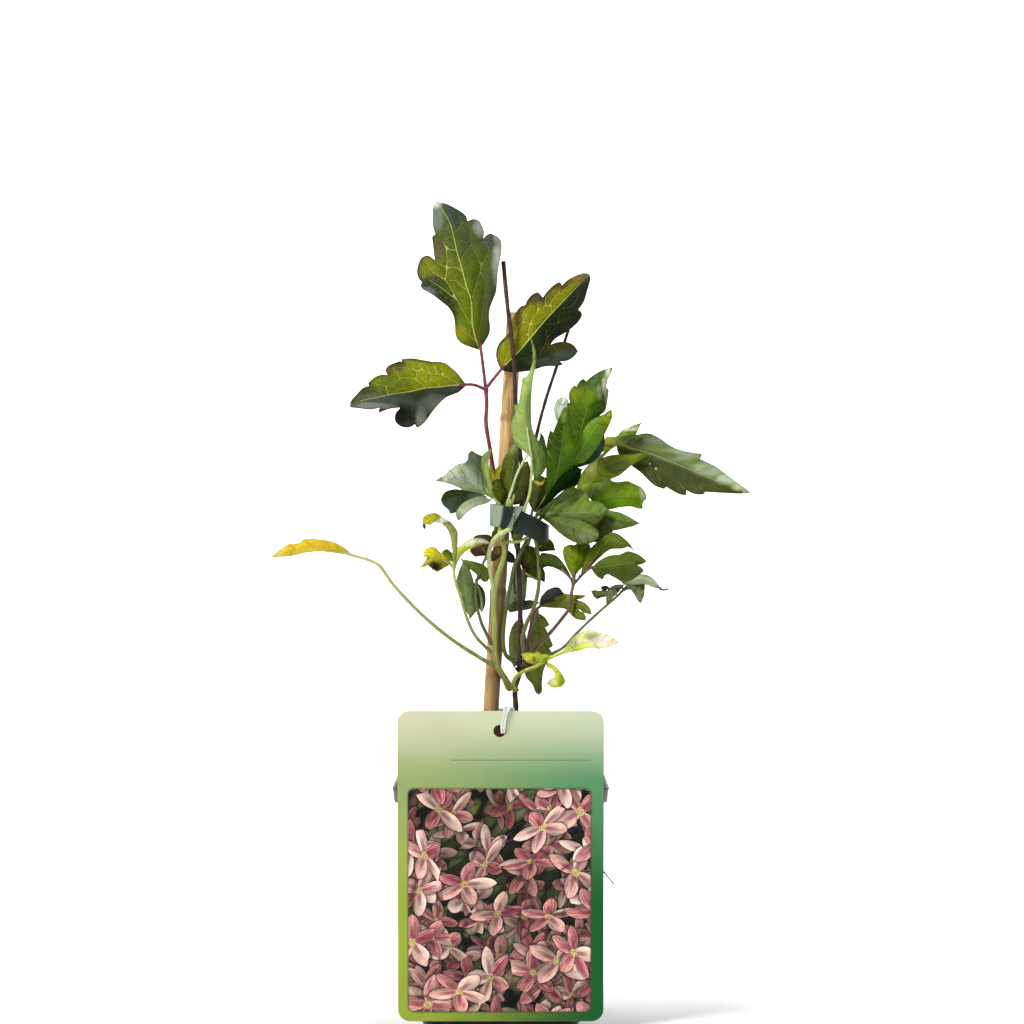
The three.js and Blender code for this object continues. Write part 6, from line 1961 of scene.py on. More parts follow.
RIGHT_LOWER_BLADES = (
    Blade(LOWER_BACK_LEAF, (-12, -8, -4), (0.2, 0.2),
          ((573, 581), (560, 567), (539.5, 561)),
          ((566, 567), (557.5, 556.5), (551.6, 554), (541.5, 552.6)),
          ((566, 575), (557, 569), (547, 566.6), (540.5, 570))),
    Blade(LOWER_TOP_LEAF, (-12, -10, -5.5), (0.2, 0.1),
          ((574, 580), (575, 566), (577, 553), (579, 540.7)),
          ((570, 573), (565, 562), (562.8, 552), (564, 547), (570, 544.6), (574.5, 545)),
          ((577, 573.5), (585, 564), (589.6, 554), (590.3, 546), (586, 541))),
    Blade(LOWER_WING_LEAF, (-12.2, -15, -24), (0.3, -0.2),
          ((580, 577), (592, 561), (609, 542), (633.8, 551.3)),
          ((583, 565), (590, 549), (600, 539.5), (610, 532), (618, 534), (626, 540), (631, 545.7)),
          ((590, 567.5), (600, 557.5), (610, 549.6), (622, 548.3), (627.5, 546.6))),
    Blade(LOWER_FRONT_LEAF, (-13.4, -22, -32), (0.2, -0.2),
          ((591, 568.6), (610, 566), (630, 563), (646.7, 561.3)),
          ((600, 560), (610, 555.5), (620, 554.4), (627.5, 551.2), (636, 553.4), (642.5, 557.3)),
          ((597, 576.5), (602.5, 579.7), (605, 575.5), (608, 574.4), (616, 578.5), (624, 582.5),
           (634, 578.5), (643.6, 571.6), (642, 568), (637.3, 565))),
)
RIGHT_CURLED_STALKS = (
    Stalk(0.7, 0.55, ((536.5, 661.5, 1), (550, 654.5, 4), (562.5, 648, 6.4), (576.8, 633, 9.2),
           (594.6, 616, 11.6), (607, 605, 12.4), (618.6, 595, 12.8), (625, 588, 13.2), (634, 582, 14.6))),
    Stalk(0.5, 0.45, ((621, 592, 13), (628, 588.6, 12.2), (635, 590, 10.8))),
    Stalk(0.5, 0.45, ((623, 590, 13.1), (622, 587, 12.6), (614, 592, 10))),
    Stalk(0.45, 0.45, ((617, 596.5, 12.8), (616, 594, 11.8), (606, 593.6, 11.6))),
    Stalk(0.45, 0.3, ((660, 588.4, 13.6), (663, 590, 13.8), (668.4, 589, 14)), BLACK_STALK),
)
RIGHT_CURLED_BLADES = (
    Blade(PALE_CURLED_LEAF, (12, 8, 14), (0.2, -0.2),
          ((622, 583.5), (638, 579.5), (652, 582), (661, 588.6)),
          ((628, 577.5), (637, 574.3), (648, 575.3), (655.5, 581)),
          ((630, 585), (645, 584.5), (655, 588))),
    Blade(CURLED_SHADE_LEAF, (12.6, 10, 12), (0.2, 0.2),
          ((623, 583.5), (635, 588), (640.5, 603.5)),
          ((628, 587), (634, 594), (638, 601)),
          ((634, 582.5), (645, 584.5), (644, 596))),
    Blade(CURLED_SHADE_LEAF, (13, 9, 10), (0.2, 0.2),
          ((624.5, 584.5), (613, 590), (606.6, 605.5)),
          ((615, 584.8), (608.5, 589), (606, 597)),
          ((619, 591.5), (611, 600))),
    Blade(CURLED_SHADE_LEAF, (11, 11, 13), (0.2, 0.2),
          ((609, 592), (604, 594), (598, 595.5), (591, 591)),
          ((605, 589.5), (599, 590.8), (595, 590)),
          ((606, 596.5), (601.5, 597.5), (597, 599.4))),
    Blade(BLACK_GREEN_LEAF, (10.4, 10, 10), (0.2, 0.2),
          ((610, 589), (605, 587.6), (600.6, 588)),
          ((607, 585.7), (602.6, 585.9)),
          ((606, 590), (602, 589.7))),
)
PALE_LEAF_STALKS = (
    Stalk(0.85, 0.6, ((514.6, 690, -2.3), (512.9, 685.4, -4.1), (515, 678, -5.7), (524.4, 671, -7.6),
           (535.7, 666.5, -10), (550, 658, -12.6), (562.5, 652.7, -15), (580, 644.5, -19.2))),
    Stalk(0.5, 0.45, ((546, 660.5, -12), (540, 658.4, -13.8), (534, 658.6, -16))),
    Stalk(0.5, 0.45, ((545, 661, -11.8), (550, 664.5, -13.4), (557, 671, -16.4))),
)
PALE_LEAF_BLADES = (
    Blade(CREAM_LEAF, (-14, -24, -34), (0.3, -0.3),
          ((558, 655), (577, 645), (600, 641), (618.8, 642.7)),
          ((565, 648), (570, 640.6), (575, 635.6), (582, 631.6), (590, 629.6), (598, 632), (608, 634.5),
           (615, 638.5)),
          ((565, 653.6), (578, 651), (588, 648.3), (600, 648.8), (610, 646.6))),
    Blade(CREAM_LOBE_LEAF, (-12.2, -16, -20), (0.3, -0.3),
          ((553, 656), (537, 658), (521.5, 654.5)),
          ((546, 654), (541.5, 654), (538, 651), (535, 653), (527, 652.5)),
          ((543, 662), (534, 664), (526.5, 662), (523.5, 658))),
    Blade(CREAM_LOBE_LEAF, (-12, -18, -18), (0.3, -0.2),
          ((546, 662), (556.5, 669.5), (561, 679), (556, 685.6), (546.4, 683)),
          ((547, 666.5), (553.5, 671), (555.3, 677), (549.5, 680)),
          ((553, 664.5), (561, 672.5), (565.7, 681), (562, 686.3), (552, 687.4))),
)
HANGING_STALKS = (
    Stalk(0.75, 0.6, ((524.5, 661, 3), (528, 640, 4.6), (534, 618, 5), (537, 609.5, 5.4), (538, 622, 7.4))),
    Stalk(0.6, 0.5, ((526.5, 648, 4.2), (523, 626, 5), (520.6, 616, 5.8), (519.5, 630, 8.6))),
)
HANGING_BLADES = (
    Blade(DARK_HANGING_LEAF, (5.2, 10, 13), (0.2, 0.35),
          ((537, 612), (538, 640), (537, 665), (538.8, 695)),
          ((531, 622), (527, 640), (525, 660), (525.5, 676), (532.5, 685), (535.4, 692)),
          ((544.6, 617), (549.4, 624.6), (545.2, 627.4), (548.6, 634.6), (553.2, 645.2), (549.2, 648.4),
           (551.8, 652.7), (544, 669.6), (542, 683), (541.8, 692))),
    Blade(HANGING_SIDE_LEAF, (6, 11, 15), (0.3, 0.2),
          ((521, 618), (518, 640), (514, 668)),
          ((516, 621), (510.7, 630), (508.5, 643), (509.8, 658)),
          ((525, 630), (525, 648), (520, 662))),
)
FINGERED_STALKS = (
    Stalk(0.75, 0.6, ((527, 654, -5.2), (528, 640, -5.4), (530.6, 627, -5.2), (533, 616, -5),
           (539, 607, -5.1), (554, 600.5, -6.8))),
)
FINGERED_BLADES = (
    Blade(BLACK_GREEN_LEAF, (-6, -9.6, -10), (0.2, 0.2),
          ((539, 606), (549, 595), (556, 592), (563.5, 594)),
          ((541, 597), (547, 591), (556, 587.6), (561.5, 590)),
          ((546, 603), (555, 598))),
    Blade(FINGERED_LEAF, (-5, -9, -17), (0.15, 0.25),
          ((539, 607), (556, 600), (570, 601), (582, 606), (590.7, 614.5)),
          ((541, 599), (545.9, 591), (555, 587), (559.7, 588), (563.5, 592.7), (586.5, 595.5),
           (576.5, 599.6), (589.5, 607)),
          ((553.6, 608), (565, 609), (575.4, 618.7), (585, 620.6), (586, 617), (582.6, 612), (575.7, 607.5))),
)
BACK_STALKS = (
    Stalk(0.6, 0.5, ((515.4, 593, 1), (514, 580, 3.6), (516, 566, 4.8), (518.4, 562.5, 5), (518, 574, 7.4))),
)
BACK_BLADES = (
    Blade(DARK_LOBE_LEAF, (12, 12, 13), (0.2, 0.2),
          ((540, 602.5), (525, 606), (507.5, 606)),
          ((530, 600), (519, 602), (509, 603.4)),
          ((531, 608.6), (519, 611), (509.5, 612.5))),
    Blade(UNDERSIDE_LEAF, (5, 11, 13), (0.2, 0.3),
          ((518.4, 563.6), (520, 582), (512, 605)),
          ((513, 577), (508.5, 592), (506.5, 603)),
          ((526, 576), (526.6, 590), (525, 603), (518, 605))),
)


@dataclass(frozen=True)
class Foliage:
    """One leaf or leafy shoot: its stalks and its blades."""

    node: str
    slot: str
    stalk_finish: StalkFinish
    stalks: tuple[Stalk, ...]
    blades: tuple[Blade, ...]

    def build(self) -> bpy.types.Object:
        """Build the leaf as one piece."""
        piece = Piece(f"{self.node}_dressed", self.slot, self.node)
        for stalk in self.stalks:
            stalk.grow(piece, self.stalk_finish)
        for blade in self.blades:
            blade.grow(piece)
        return piece.build()


LEAVES = (
    Foliage("leaf_top", "leaf_olive", RED_STALK, TOP_LEAF_STALKS, TOP_LEAF_BLADES),
    Foliage("leaf_narrow", "leaf_narrow", LIGHT_STALK, NARROW_LEAF_STALKS, NARROW_LEAF_BLADES),
    Foliage("shoot_left_upper", "leaf_grey_left", PALE_STALK, LEFT_UPPER_STALKS, LEFT_UPPER_BLADES),
    Foliage("shoot_right_front", "leaf_bright", OLIVE_STALK, RIGHT_FRONT_STALKS, RIGHT_FRONT_BLADES),
    Foliage("shoot_right_back", "leaf_drooping", OLIVE_STALK, RIGHT_BACK_STALKS, RIGHT_BACK_BLADES),
    Foliage("leaf_fan", "leaf_fan", DARK_OLIVE_STALK, FAN_STALKS, FAN_BLADES),
    Foliage("leaf_yellow_long", "leaf_gold", PALE_STALK, YELLOW_LONG_STALKS, YELLOW_LONG_BLADES),
    Foliage("leaf_yellow_small", "leaf_yellow", PALE_STALK, YELLOW_SMALL_STALKS, YELLOW_SMALL_BLADES),
    Foliage("leaf_dry", "leaf_brown", BROWN_OLIVE_STALK, DRY_STALKS, DRY_BLADES),
    Foliage("leaf_strap", "leaf_strap", OLIVE_STALK, STRAP_STALKS, STRAP_BLADES),
    Foliage("leaf_right_lower", "leaf_lower", MAUVE_STALK, RIGHT_LOWER_STALKS, RIGHT_LOWER_BLADES),
    Foliage("leaf_right_curled", "leaf_curled", OLIVE_STALK, RIGHT_CURLED_STALKS, RIGHT_CURLED_BLADES),
    Foliage("leaf_pale", "leaf_cream", YELLOW_STALK, PALE_LEAF_STALKS, PALE_LEAF_BLADES),
    Foliage("leaf_hanging", "leaf_dark", DARK_OLIVE_STALK, HANGING_STALKS, HANGING_BLADES),
    Foliage("leaf_fingered", "leaf_fingered", MAROON_STALK, FINGERED_STALKS, FINGERED_BLADES),
    Foliage("leaf_back", "leaf_back", DARK_OLIVE_STALK, BACK_STALKS, BACK_BLADES),
)


# ---- Pot, soil and cane ----


def rounded_square(side: float, corner: float, z: float, per_corner: int = 10) -> np.ndarray:
    """A square ring with round corners, counter-clockwise seen from above.

    Args:
        side: Its width.
        corner: Its corner radius.
        z: Its height.
        per_corner: Steps in each corner.

    Returns:
        The ring's points.
    """
    inset = side / 2 - corner
    ring = []
    for quarter in range(4):
        turn = quarter * math.pi / 2
        x, y = (inset * (math.cos(turn) - math.sin(turn)), inset * (math.sin(turn) + math.cos(turn)))
        for k in range(per_corner + 1):
            angle = turn + k / per_corner * math.pi / 2
            ring.append((x + corner * math.cos(angle), y + corner * math.sin(angle), z))
    return np.array(ring)


@dataclass
class Pot:
    """The square nursery pot with its wider rim and holes in its floor."""

    height: float = 100.0
    base: float = 66.0
    body: float = 85.6
    rim: float = 90.0
    rim_depth: float = 6.6
    corner: float = 12.0
    wall: float = 1.1
    floor: float = 1.6
    hole_radius: float = 4.5
    hole_offset: float = 20.0

    HOLE_SIDES = 28

    def side(self, z: float) -> float:
        """The outer side at a height under the rim."""
        return self.base + (self.body - self.base) * z / (self.height - self.rim_depth)

    def build(self) -> bpy.types.Object:
        """Build the pot as one closed wall."""
        ledge = self.height - self.rim_depth
        corner, inner, walls = self.corner, self.corner - self.wall, 2 * self.wall
        outside = [(self.base - 1.6, corner - 0.8, 0.0), (self.base, corner, 0.9)]
        outside += [(self.side(z), corner, z) for z in np.linspace(3, ledge - 1.2, 12)]
        outside += [(self.side(ledge) + 0.4, corner, ledge - 0.3), (self.rim - 1.5, corner, ledge + 0.3)]
        outside += [(self.rim - 1.3, corner, ledge + 0.9), (self.rim - 0.5, corner, self.height - 1.6)]
        outside += [(self.rim, corner, self.height - 1.2), (self.rim, corner, self.height - 0.4)]
        outside += [(self.rim - 0.5, corner - 0.2, self.height)]
        inside = [(self.rim - walls + 0.4, inner, self.height), (self.rim - walls, inner, self.height - 0.5)]
        inside += [(self.rim - walls - 0.6, inner, ledge + 2.2), (self.side(ledge) - walls, inner, ledge + 1)]
        inside += [(self.side(z) - walls, inner, z) for z in np.linspace(ledge - 4, self.floor + 1, 10)]
        inside += [(self.side(0) - walls - 1.5, inner - 0.8, self.floor)]
        rings = [rounded_square(*ring) for ring in outside + inside]
        piece = Piece("nursery_pot", "pot", "pot")
        piece.add(np.vstack(rings), ring_faces(len(rings), len(rings[0])), PotPlastic.material())
        made = piece.build()
        self._drill(made)
        return made

    def _drill(self, pot: bpy.types.Object) -> None:
        """Cut the drain holes through the floor."""
        for x, y in ((x, y) for x in (-1, 0, 1) for y in (-1, 0, 1) if x or y):
            spot = np.array([x * self.hole_offset, y * self.hole_offset, 0.0])
            path = spot + np.array([[0, 0, -2.0], [0, 0, 0.8], [0, 0, self.floor + 2.0]])
            points, faces, _ = tube(
                path, lambda share: np.full(len(share), self.hole_radius), self.HOLE_SIDES, False
            )
            mesh = bpy.data.meshes.new("drill")
            mesh.from_pydata((points * METRE).tolist(), [], faces)
            drill = put("drill", mesh)
            cut = pot.modifiers.new("drain", "BOOLEAN")
            cut.operation = "DIFFERENCE"
            cut.object = drill
            graph = bpy.context.evaluated_depsgraph_get()
            settled = bpy.data.meshes.new_from_object(pot.evaluated_get(graph))
            pot.modifiers.clear()
            pot.data = settled
            bpy.data.objects.remove(drill)


@dataclass
class Soil:
    """Potting soil with clods, crumbs and perlite on top."""

    top: float = 89.0
    gap: float = 0.5
    dome: float = 2.5
    clods: int = 420
    clod_sizes: Spot = (0.5, 1.9)
    seed: int = 5

    TOP_RINGS = 34
    EDGE = 3.5
    CRUMB_RINGS = 4
    CRUMB_SIDES = 7
    CRUMB_FLATNESS = 0.7
    PERLITE_EVERY = 11

    def build(self, pot: Pot) -> list[bpy.types.Object]:
        """Build the soil and its loose crumbs.

        Args:
            pot: The pot that holds it.

        Returns:
            The soil's body and the crumbs.
        """
        return [self._body(pot), self._crumbs(pot)]

    def _body(self, pot: Pot) -> bpy.types.Object:
        """The soil's block with an uneven top."""
        corner = pot.corner - pot.wall

        def side(z: float) -> float:
            return pot.side(z) - 2 * pot.wall - 2 * self.gap

        low = pot.floor + self.gap
        rings = [rounded_square(side(low), corner, low)]
        rings += [rounded_square(side(z), corner, z) for z in np.linspace(low + 6, self.top, 8)]
        for share in np.linspace(0.97, 0.03, self.TOP_RINGS):
            ring = rounded_square(side(self.top) * share, corner * share, self.top)
            lift = self.dome * (1 - share**2)
            ring[:, 2] += lift + np.array([self._bumps(p) for p in ring])
            rings.append(ring)
        piece = Piece("potting_soil", "soil", "soil")
        piece.add(np.vstack(rings), ring_faces(len(rings), len(rings[0])), Peat.material())
        return piece.build()

    @staticmethod
    def _bumps(point: np.ndarray) -> float:
        """Height of the clods at a place on top."""
        coarse = noise.noise(tuple(point * 0.16)) * 1.6
        fine = noise.noise(tuple(point * 0.6)) * 0.7
        return coarse + fine

    def _crumbs(self, pot: Pot) -> bpy.types.Object:
        """Small clods, bark chips and perlite scattered over the top."""
        draw = random.Random(self.seed)
        piece = Piece("soil_crumbs", "soil")
        reach = pot.side(self.top) / 2 - pot.wall - self.EDGE
        for number in range(self.clods):
            spot = np.array([draw.uniform(-reach, reach), draw.uniform(-reach, reach), self.top])
            share = max(abs(spot[0]), abs(spot[1])) / (pot.side(self.top) / 2)
            spot[2] += self.dome * (1 - share**2) + self._bumps(spot)
            size = draw.uniform(*self.clod_sizes)
            points = []
            for k in range(self.CRUMB_RINGS):
                polar = (k + 0.5) / self.CRUMB_RINGS * math.pi
                out, up = math.sin(polar), self.CRUMB_FLATNESS * math.cos(polar)
                for i in range(self.CRUMB_SIDES):
                    turn = (i + 0.5 * (k % 2)) / self.CRUMB_SIDES * 2 * math.pi
                    r = size * draw.uniform(0.75, 1.1)
                    points.append(spot + r * np.array([out * math.cos(turn), out * math.sin(turn), up]))
            faces = [face[::-1] for face in ring_faces(self.CRUMB_RINGS, self.CRUMB_SIDES)]
            finish = Peat.material() if number % self.PERLITE_EVERY else Perlite.material()
            piece.add(np.array(points), faces, finish)
        return piece.build()


@dataclass
class Cane:
    """The bamboo cane, which leans to the right on its way up."""

    radius: float = 3.5
    foot: float = 8.0
    top: float = 299.0
    lean: float = 0.0601
    row: float = 512.0
    column: float = 502.9

    KNOTS = (88.0, 172.0, 246.0)
    DARK_FOOT_TO = 121.0
    SIDES = 36

    def centre(self, z: float) -> float:
        """How far right the cane's middle is at a height."""
        row = BASE_ROW - z / MM_PER_PIXEL
        return (self.column - POT_COLUMN + (self.row - row) * self.lean) * MM_PER_PIXEL

    def build(self) -> bpy.types.Object:
        """Build the cane with its knots and rounded ends."""
        path = evenly(np.array([[self.centre(z), 0.0, z] for z in (self.foot + 0.4, self.top - 0.4)]), 1.2)
        length = self.top - self.foot

        def radius(share: np.ndarray) -> np.ndarray:
            size = np.full(len(share), self.radius - 0.15)
            for knot in self.KNOTS:
                off = (share * length - knot) / 1.3
                size += 0.28 * np.exp(-(off**2)) - 0.2 * np.exp(-((off - 1.8) ** 2))
            ends = np.minimum(share, 1 - share) * length
            return size - 0.5 * np.exp(-ends / 0.5)

        points, faces, place = tube(path, radius, self.SIDES, False)
        piece = Piece("bamboo_stake", "cane", "cane")
        piece.add(points, faces, Bamboo.material(), place)
        return piece.build()


# ---- Stems ----


@dataclass
class Stems:
    """The woody foot, the knotty node, the vine with its cut top, and the thin side stem."""

    foot: Stalk = Stalk(
        1.3, 1.1, ((517.5, 830, 0), (516.5, 760, 0), (516, 709, 0), (515.2, 689, 0), (521, 670, 0))
    )
    knots: tuple[Stalk, ...] = (
        Stalk(1.7, 1.5, ((513.6, 690, 0), (517.4, 687.5, 0))),
        Stalk(1.6, 2.0, ((517, 671.5, 0), (523, 667, 0), (532, 664, 0))),
        Stalk(1.4, 1.2, ((523, 669, 0), (516.5, 661, 0))),
    )
    vine: Stalk = Stalk(
        1.05, 0.9,
        ((519.5, 665, 0), (519.6, 640, 0), (520.3, 604, 0), (518, 552, 0), (519.5, 520, -0.8),
         (522.4, 496.5, -1.6), (522.4, 471.6, -2.8), (519.6, 448.6, -4.8), (515.7, 404.6, -7),
         (514.1, 364, -9.2), (511.6, 339, -9.8), (507.5, 306, -8.8), (503.3, 261.6, -4.5)),
    )
    side: Stalk = Stalk(
        0.8, 0.65,
        ((519.5, 528, -0.5), (525, 505, 0.6), (530.5, 475, 1), (535.8, 439, 1.6), (545.4, 401, 3.6),
         (556.9, 366, 7), (568.4, 330, 12)),
    )

    sheath: Blade = Blade(
        WITHERED_LEAF, (-1, -7, -8), (0.2, 0.2),
        ((515, 735), (504, 733), (492, 728)), ((508, 725), (498, 720)), ((508, 744), (497, 741)),
    )

    SIDES = 14

    def build(self) -> bpy.types.Object:
        """Build all stems as one grown piece."""
        piece = Piece("vine_stems", "bark", "main_stem")
        for stem in (self.foot, *self.knots, self.vine, self.side):
            self._stem(piece, stem)
        self.sheath.grow(piece)
        return piece.build()

    def _stem(self, piece: Piece, stem: Stalk) -> None:
        """Add one stem with swollen joints, and a pale cut face on its top."""

        def radius(share: np.ndarray) -> np.ndarray:
            joints = 0.09 * np.sin(share * 23) * np.sin(share * 61 + 1)
            return stem.taper(share) * (1 + joints + 0.3 * np.exp(-(share * 40) ** 2))

        points, faces, place = tube(stem.path(), radius, self.SIDES, False)
        piece.add(points, faces[:-1], Bark.material(), place)
        piece.add(points[-self.SIDES :], [list(range(self.SIDES))], CutWood.material())


# ---- Tape, staple, label and its loop ----


@dataclass
class TieTape:
    """The band that holds stems and cane together, and the staple that closes it."""

    centre: Spot = (8.2, -1.0)
    top: float = 217.6
    half_width: float = 12.2
    half_depth: float = 8.8
    height: float = 9.8
    thickness: float = 0.6
    power: float = 2.6
    droop: Spot = (0.127, 0.0103)
    pinch_from: float = 19.5
    pinch: float = 0.06
    lap_lift: float = 2.8

    STEPS_AROUND = 150
    TAIL_STEPS = 34
    ROWS = 12
    # Painted light along the lap: lit where it faces left, shaded in its middle, lit again at its end.
    LAP_STOPS = (0.0, 0.62, 0.7, 0.87, 0.92, 1.0)
    LAP_LIGHT = (0.9, 1.0, 0.2, 0.12, 0.75, 0.9)

    def on_band(self, x: float, y: float, below: float) -> np.ndarray:
        """The place on the drooping and pinched band.

        Args:
            x: Distance right of its middle.
            y: Distance behind its middle.
            below: Distance under its upper edge.

        Returns:
            The point.
        """
        right = x + self.half_width
        droop = self.droop[0] * right + self.droop[1] * right * right
        narrow = 1 - self.pinch * max(0.0, right - self.pinch_from)
        return np.array([x + self.centre[0], y + self.centre[1], self.top - droop - below * narrow])

    def _oval(self, angle: float, inset: float, crease: float) -> tuple[float, float]:
        """A point of the band's outline, which has squarish ends and shallow creases."""

        def bent(value: float) -> float:
            return math.copysign(abs(value) ** (2 / self.power), value)

        out = 1 - crease
        x = (self.half_width - inset) * bent(math.cos(angle)) * out
        y = (self.half_depth - inset) * bent(math.sin(angle)) * out
        return x, y

    def build(self) -> list[bpy.types.Object]:
        """Build the band with its lapped end, and the staple."""
        piece = Piece("tie_band", "tape", "tie_tape")
        self._band(piece)
        self._tail(piece)
        return [piece.build(), self._staple()]

    def _band(self, piece: Piece) -> None:
        """Add the closed band."""
        around, rows = self.STEPS_AROUND, self.ROWS
        section = [(0.0, i / rows) for i in range(rows + 1)] + [(1.0, 1 - i / rows) for i in range(rows + 1)]
        rings = []
        for k in range(around):
            angle = k / around * 2 * math.pi
            ring = []
            for inner, down in section:
                crease = 0.008 * noise.noise((math.cos(angle) * 9, math.sin(angle) * 9, down * 1.2))
                x, y = self._oval(angle, inner * self.thickness * 0.8, crease + 0.004)
                ring.append(self.on_band(x, y, down * self.height))
            rings.append(np.array(ring))
        faces = [face[::-1] for face in ring_faces(around, len(section), closed=True)]
        # The band's painted light share grows towards its lower edge.
        place = np.tile([(0.3 + 0.4 * down, inner, 0.0) for inner, down in section], (around, 1))
        piece.add(np.vstack(rings), faces, TapePlastic.material(False), place)

    def _tail(self, piece: Piece) -> None:
        """Add the lapped end, which wraps round the left and ends in a slanting edge on the front."""
        columns, rows = self.TAIL_STEPS, self.ROWS
        points, place = [], []
        for layer in (0.3, 0.95):
            for i in range(columns + 1):
                for j in range(rows + 1):
                    down = j / rows
                    last = -4.0 + 5.5 * (1 - down)
                    share = i / columns
                    angle = math.pi + share * self._angle_at(last)
                    x, y = self._oval(angle, 0.0, 0.0)
                    grow = 1 + (self.thickness * layer + 0.25 * math.sin(share * 7) * down) / self.half_depth
                    lift = self.lap_lift * (1 - down) * max(0.0, share * 4 - 3) ** 1.5
                    below = self.height * (0.02 + 0.96 * down) - lift
                    points.append(self.on_band(x * grow, y * grow, below))
                    place.append((float(np.interp(share, self.LAP_STOPS, self.LAP_LIGHT)), 0, 0))
        wide = rows + 1
        count = (columns + 1) * wide
        cells = [(i * wide + j, i * wide + j + 1, (i + 1) * wide + j + 1, (i + 1) * wide + j)
                 for i in range(columns) for j in range(rows)]
        faces = [[*cell] for cell in cells] + [[i + count for i in cell[::-1]] for cell in cells]
        border = [j for j in range(rows)] + [i * wide + rows for i in range(columns)]
        border += [columns * wide + rows - j for j in range(rows)]
        border += [(columns - i) * wide for i in range(columns)]
        for p, q in zip(border, border[1:] + border[:1]):
            faces.append([q, p, p + count, q + count])
        piece.add(np.array(points), faces, TapePlastic.material(True), np.array(place))

    def _angle_at(self, x: float) -> float:
        """The turn from the band's left end round its front to a place across."""
        share = abs(x / self.half_width) ** (self.power / 2)
        return math.acos(-math.copysign(share, x))

    def _staple(self) -> bpy.types.Object:
        """Build the staple's bar with both legs bent into the tape."""
        length, wire, x, below, turn = 5.0, 0.6, 5.2, 4.6, 0.18
        front = -self.half_depth - self.thickness * 0.9 - 0.3 - wire / 2
        middle = self.on_band(x - self.centre[0], front, below)
        along = np.array([math.sin(turn), 0.0, math.cos(turn)])
        inward = np.array([0.0, 0.75, 0.0])
        half = length / 2 - wire / 2
        leg = ((half, 1.0), (half, 0.2), (half - 0.5, 0.0))
        stops = [middle + along * out + inward * deep for out, deep in leg]
        stops += [middle - along * out + inward * deep for out, deep in leg[::-1]]
        path = curve_through(stops, 0.15)
        points, faces, place = tube(path, lambda share: np.full(len(share), wire / 2))
        piece = Piece("tape_staple", "wire", "staple")
        piece.add(points, faces, StapleWire.material(), place)
        return piece.build()


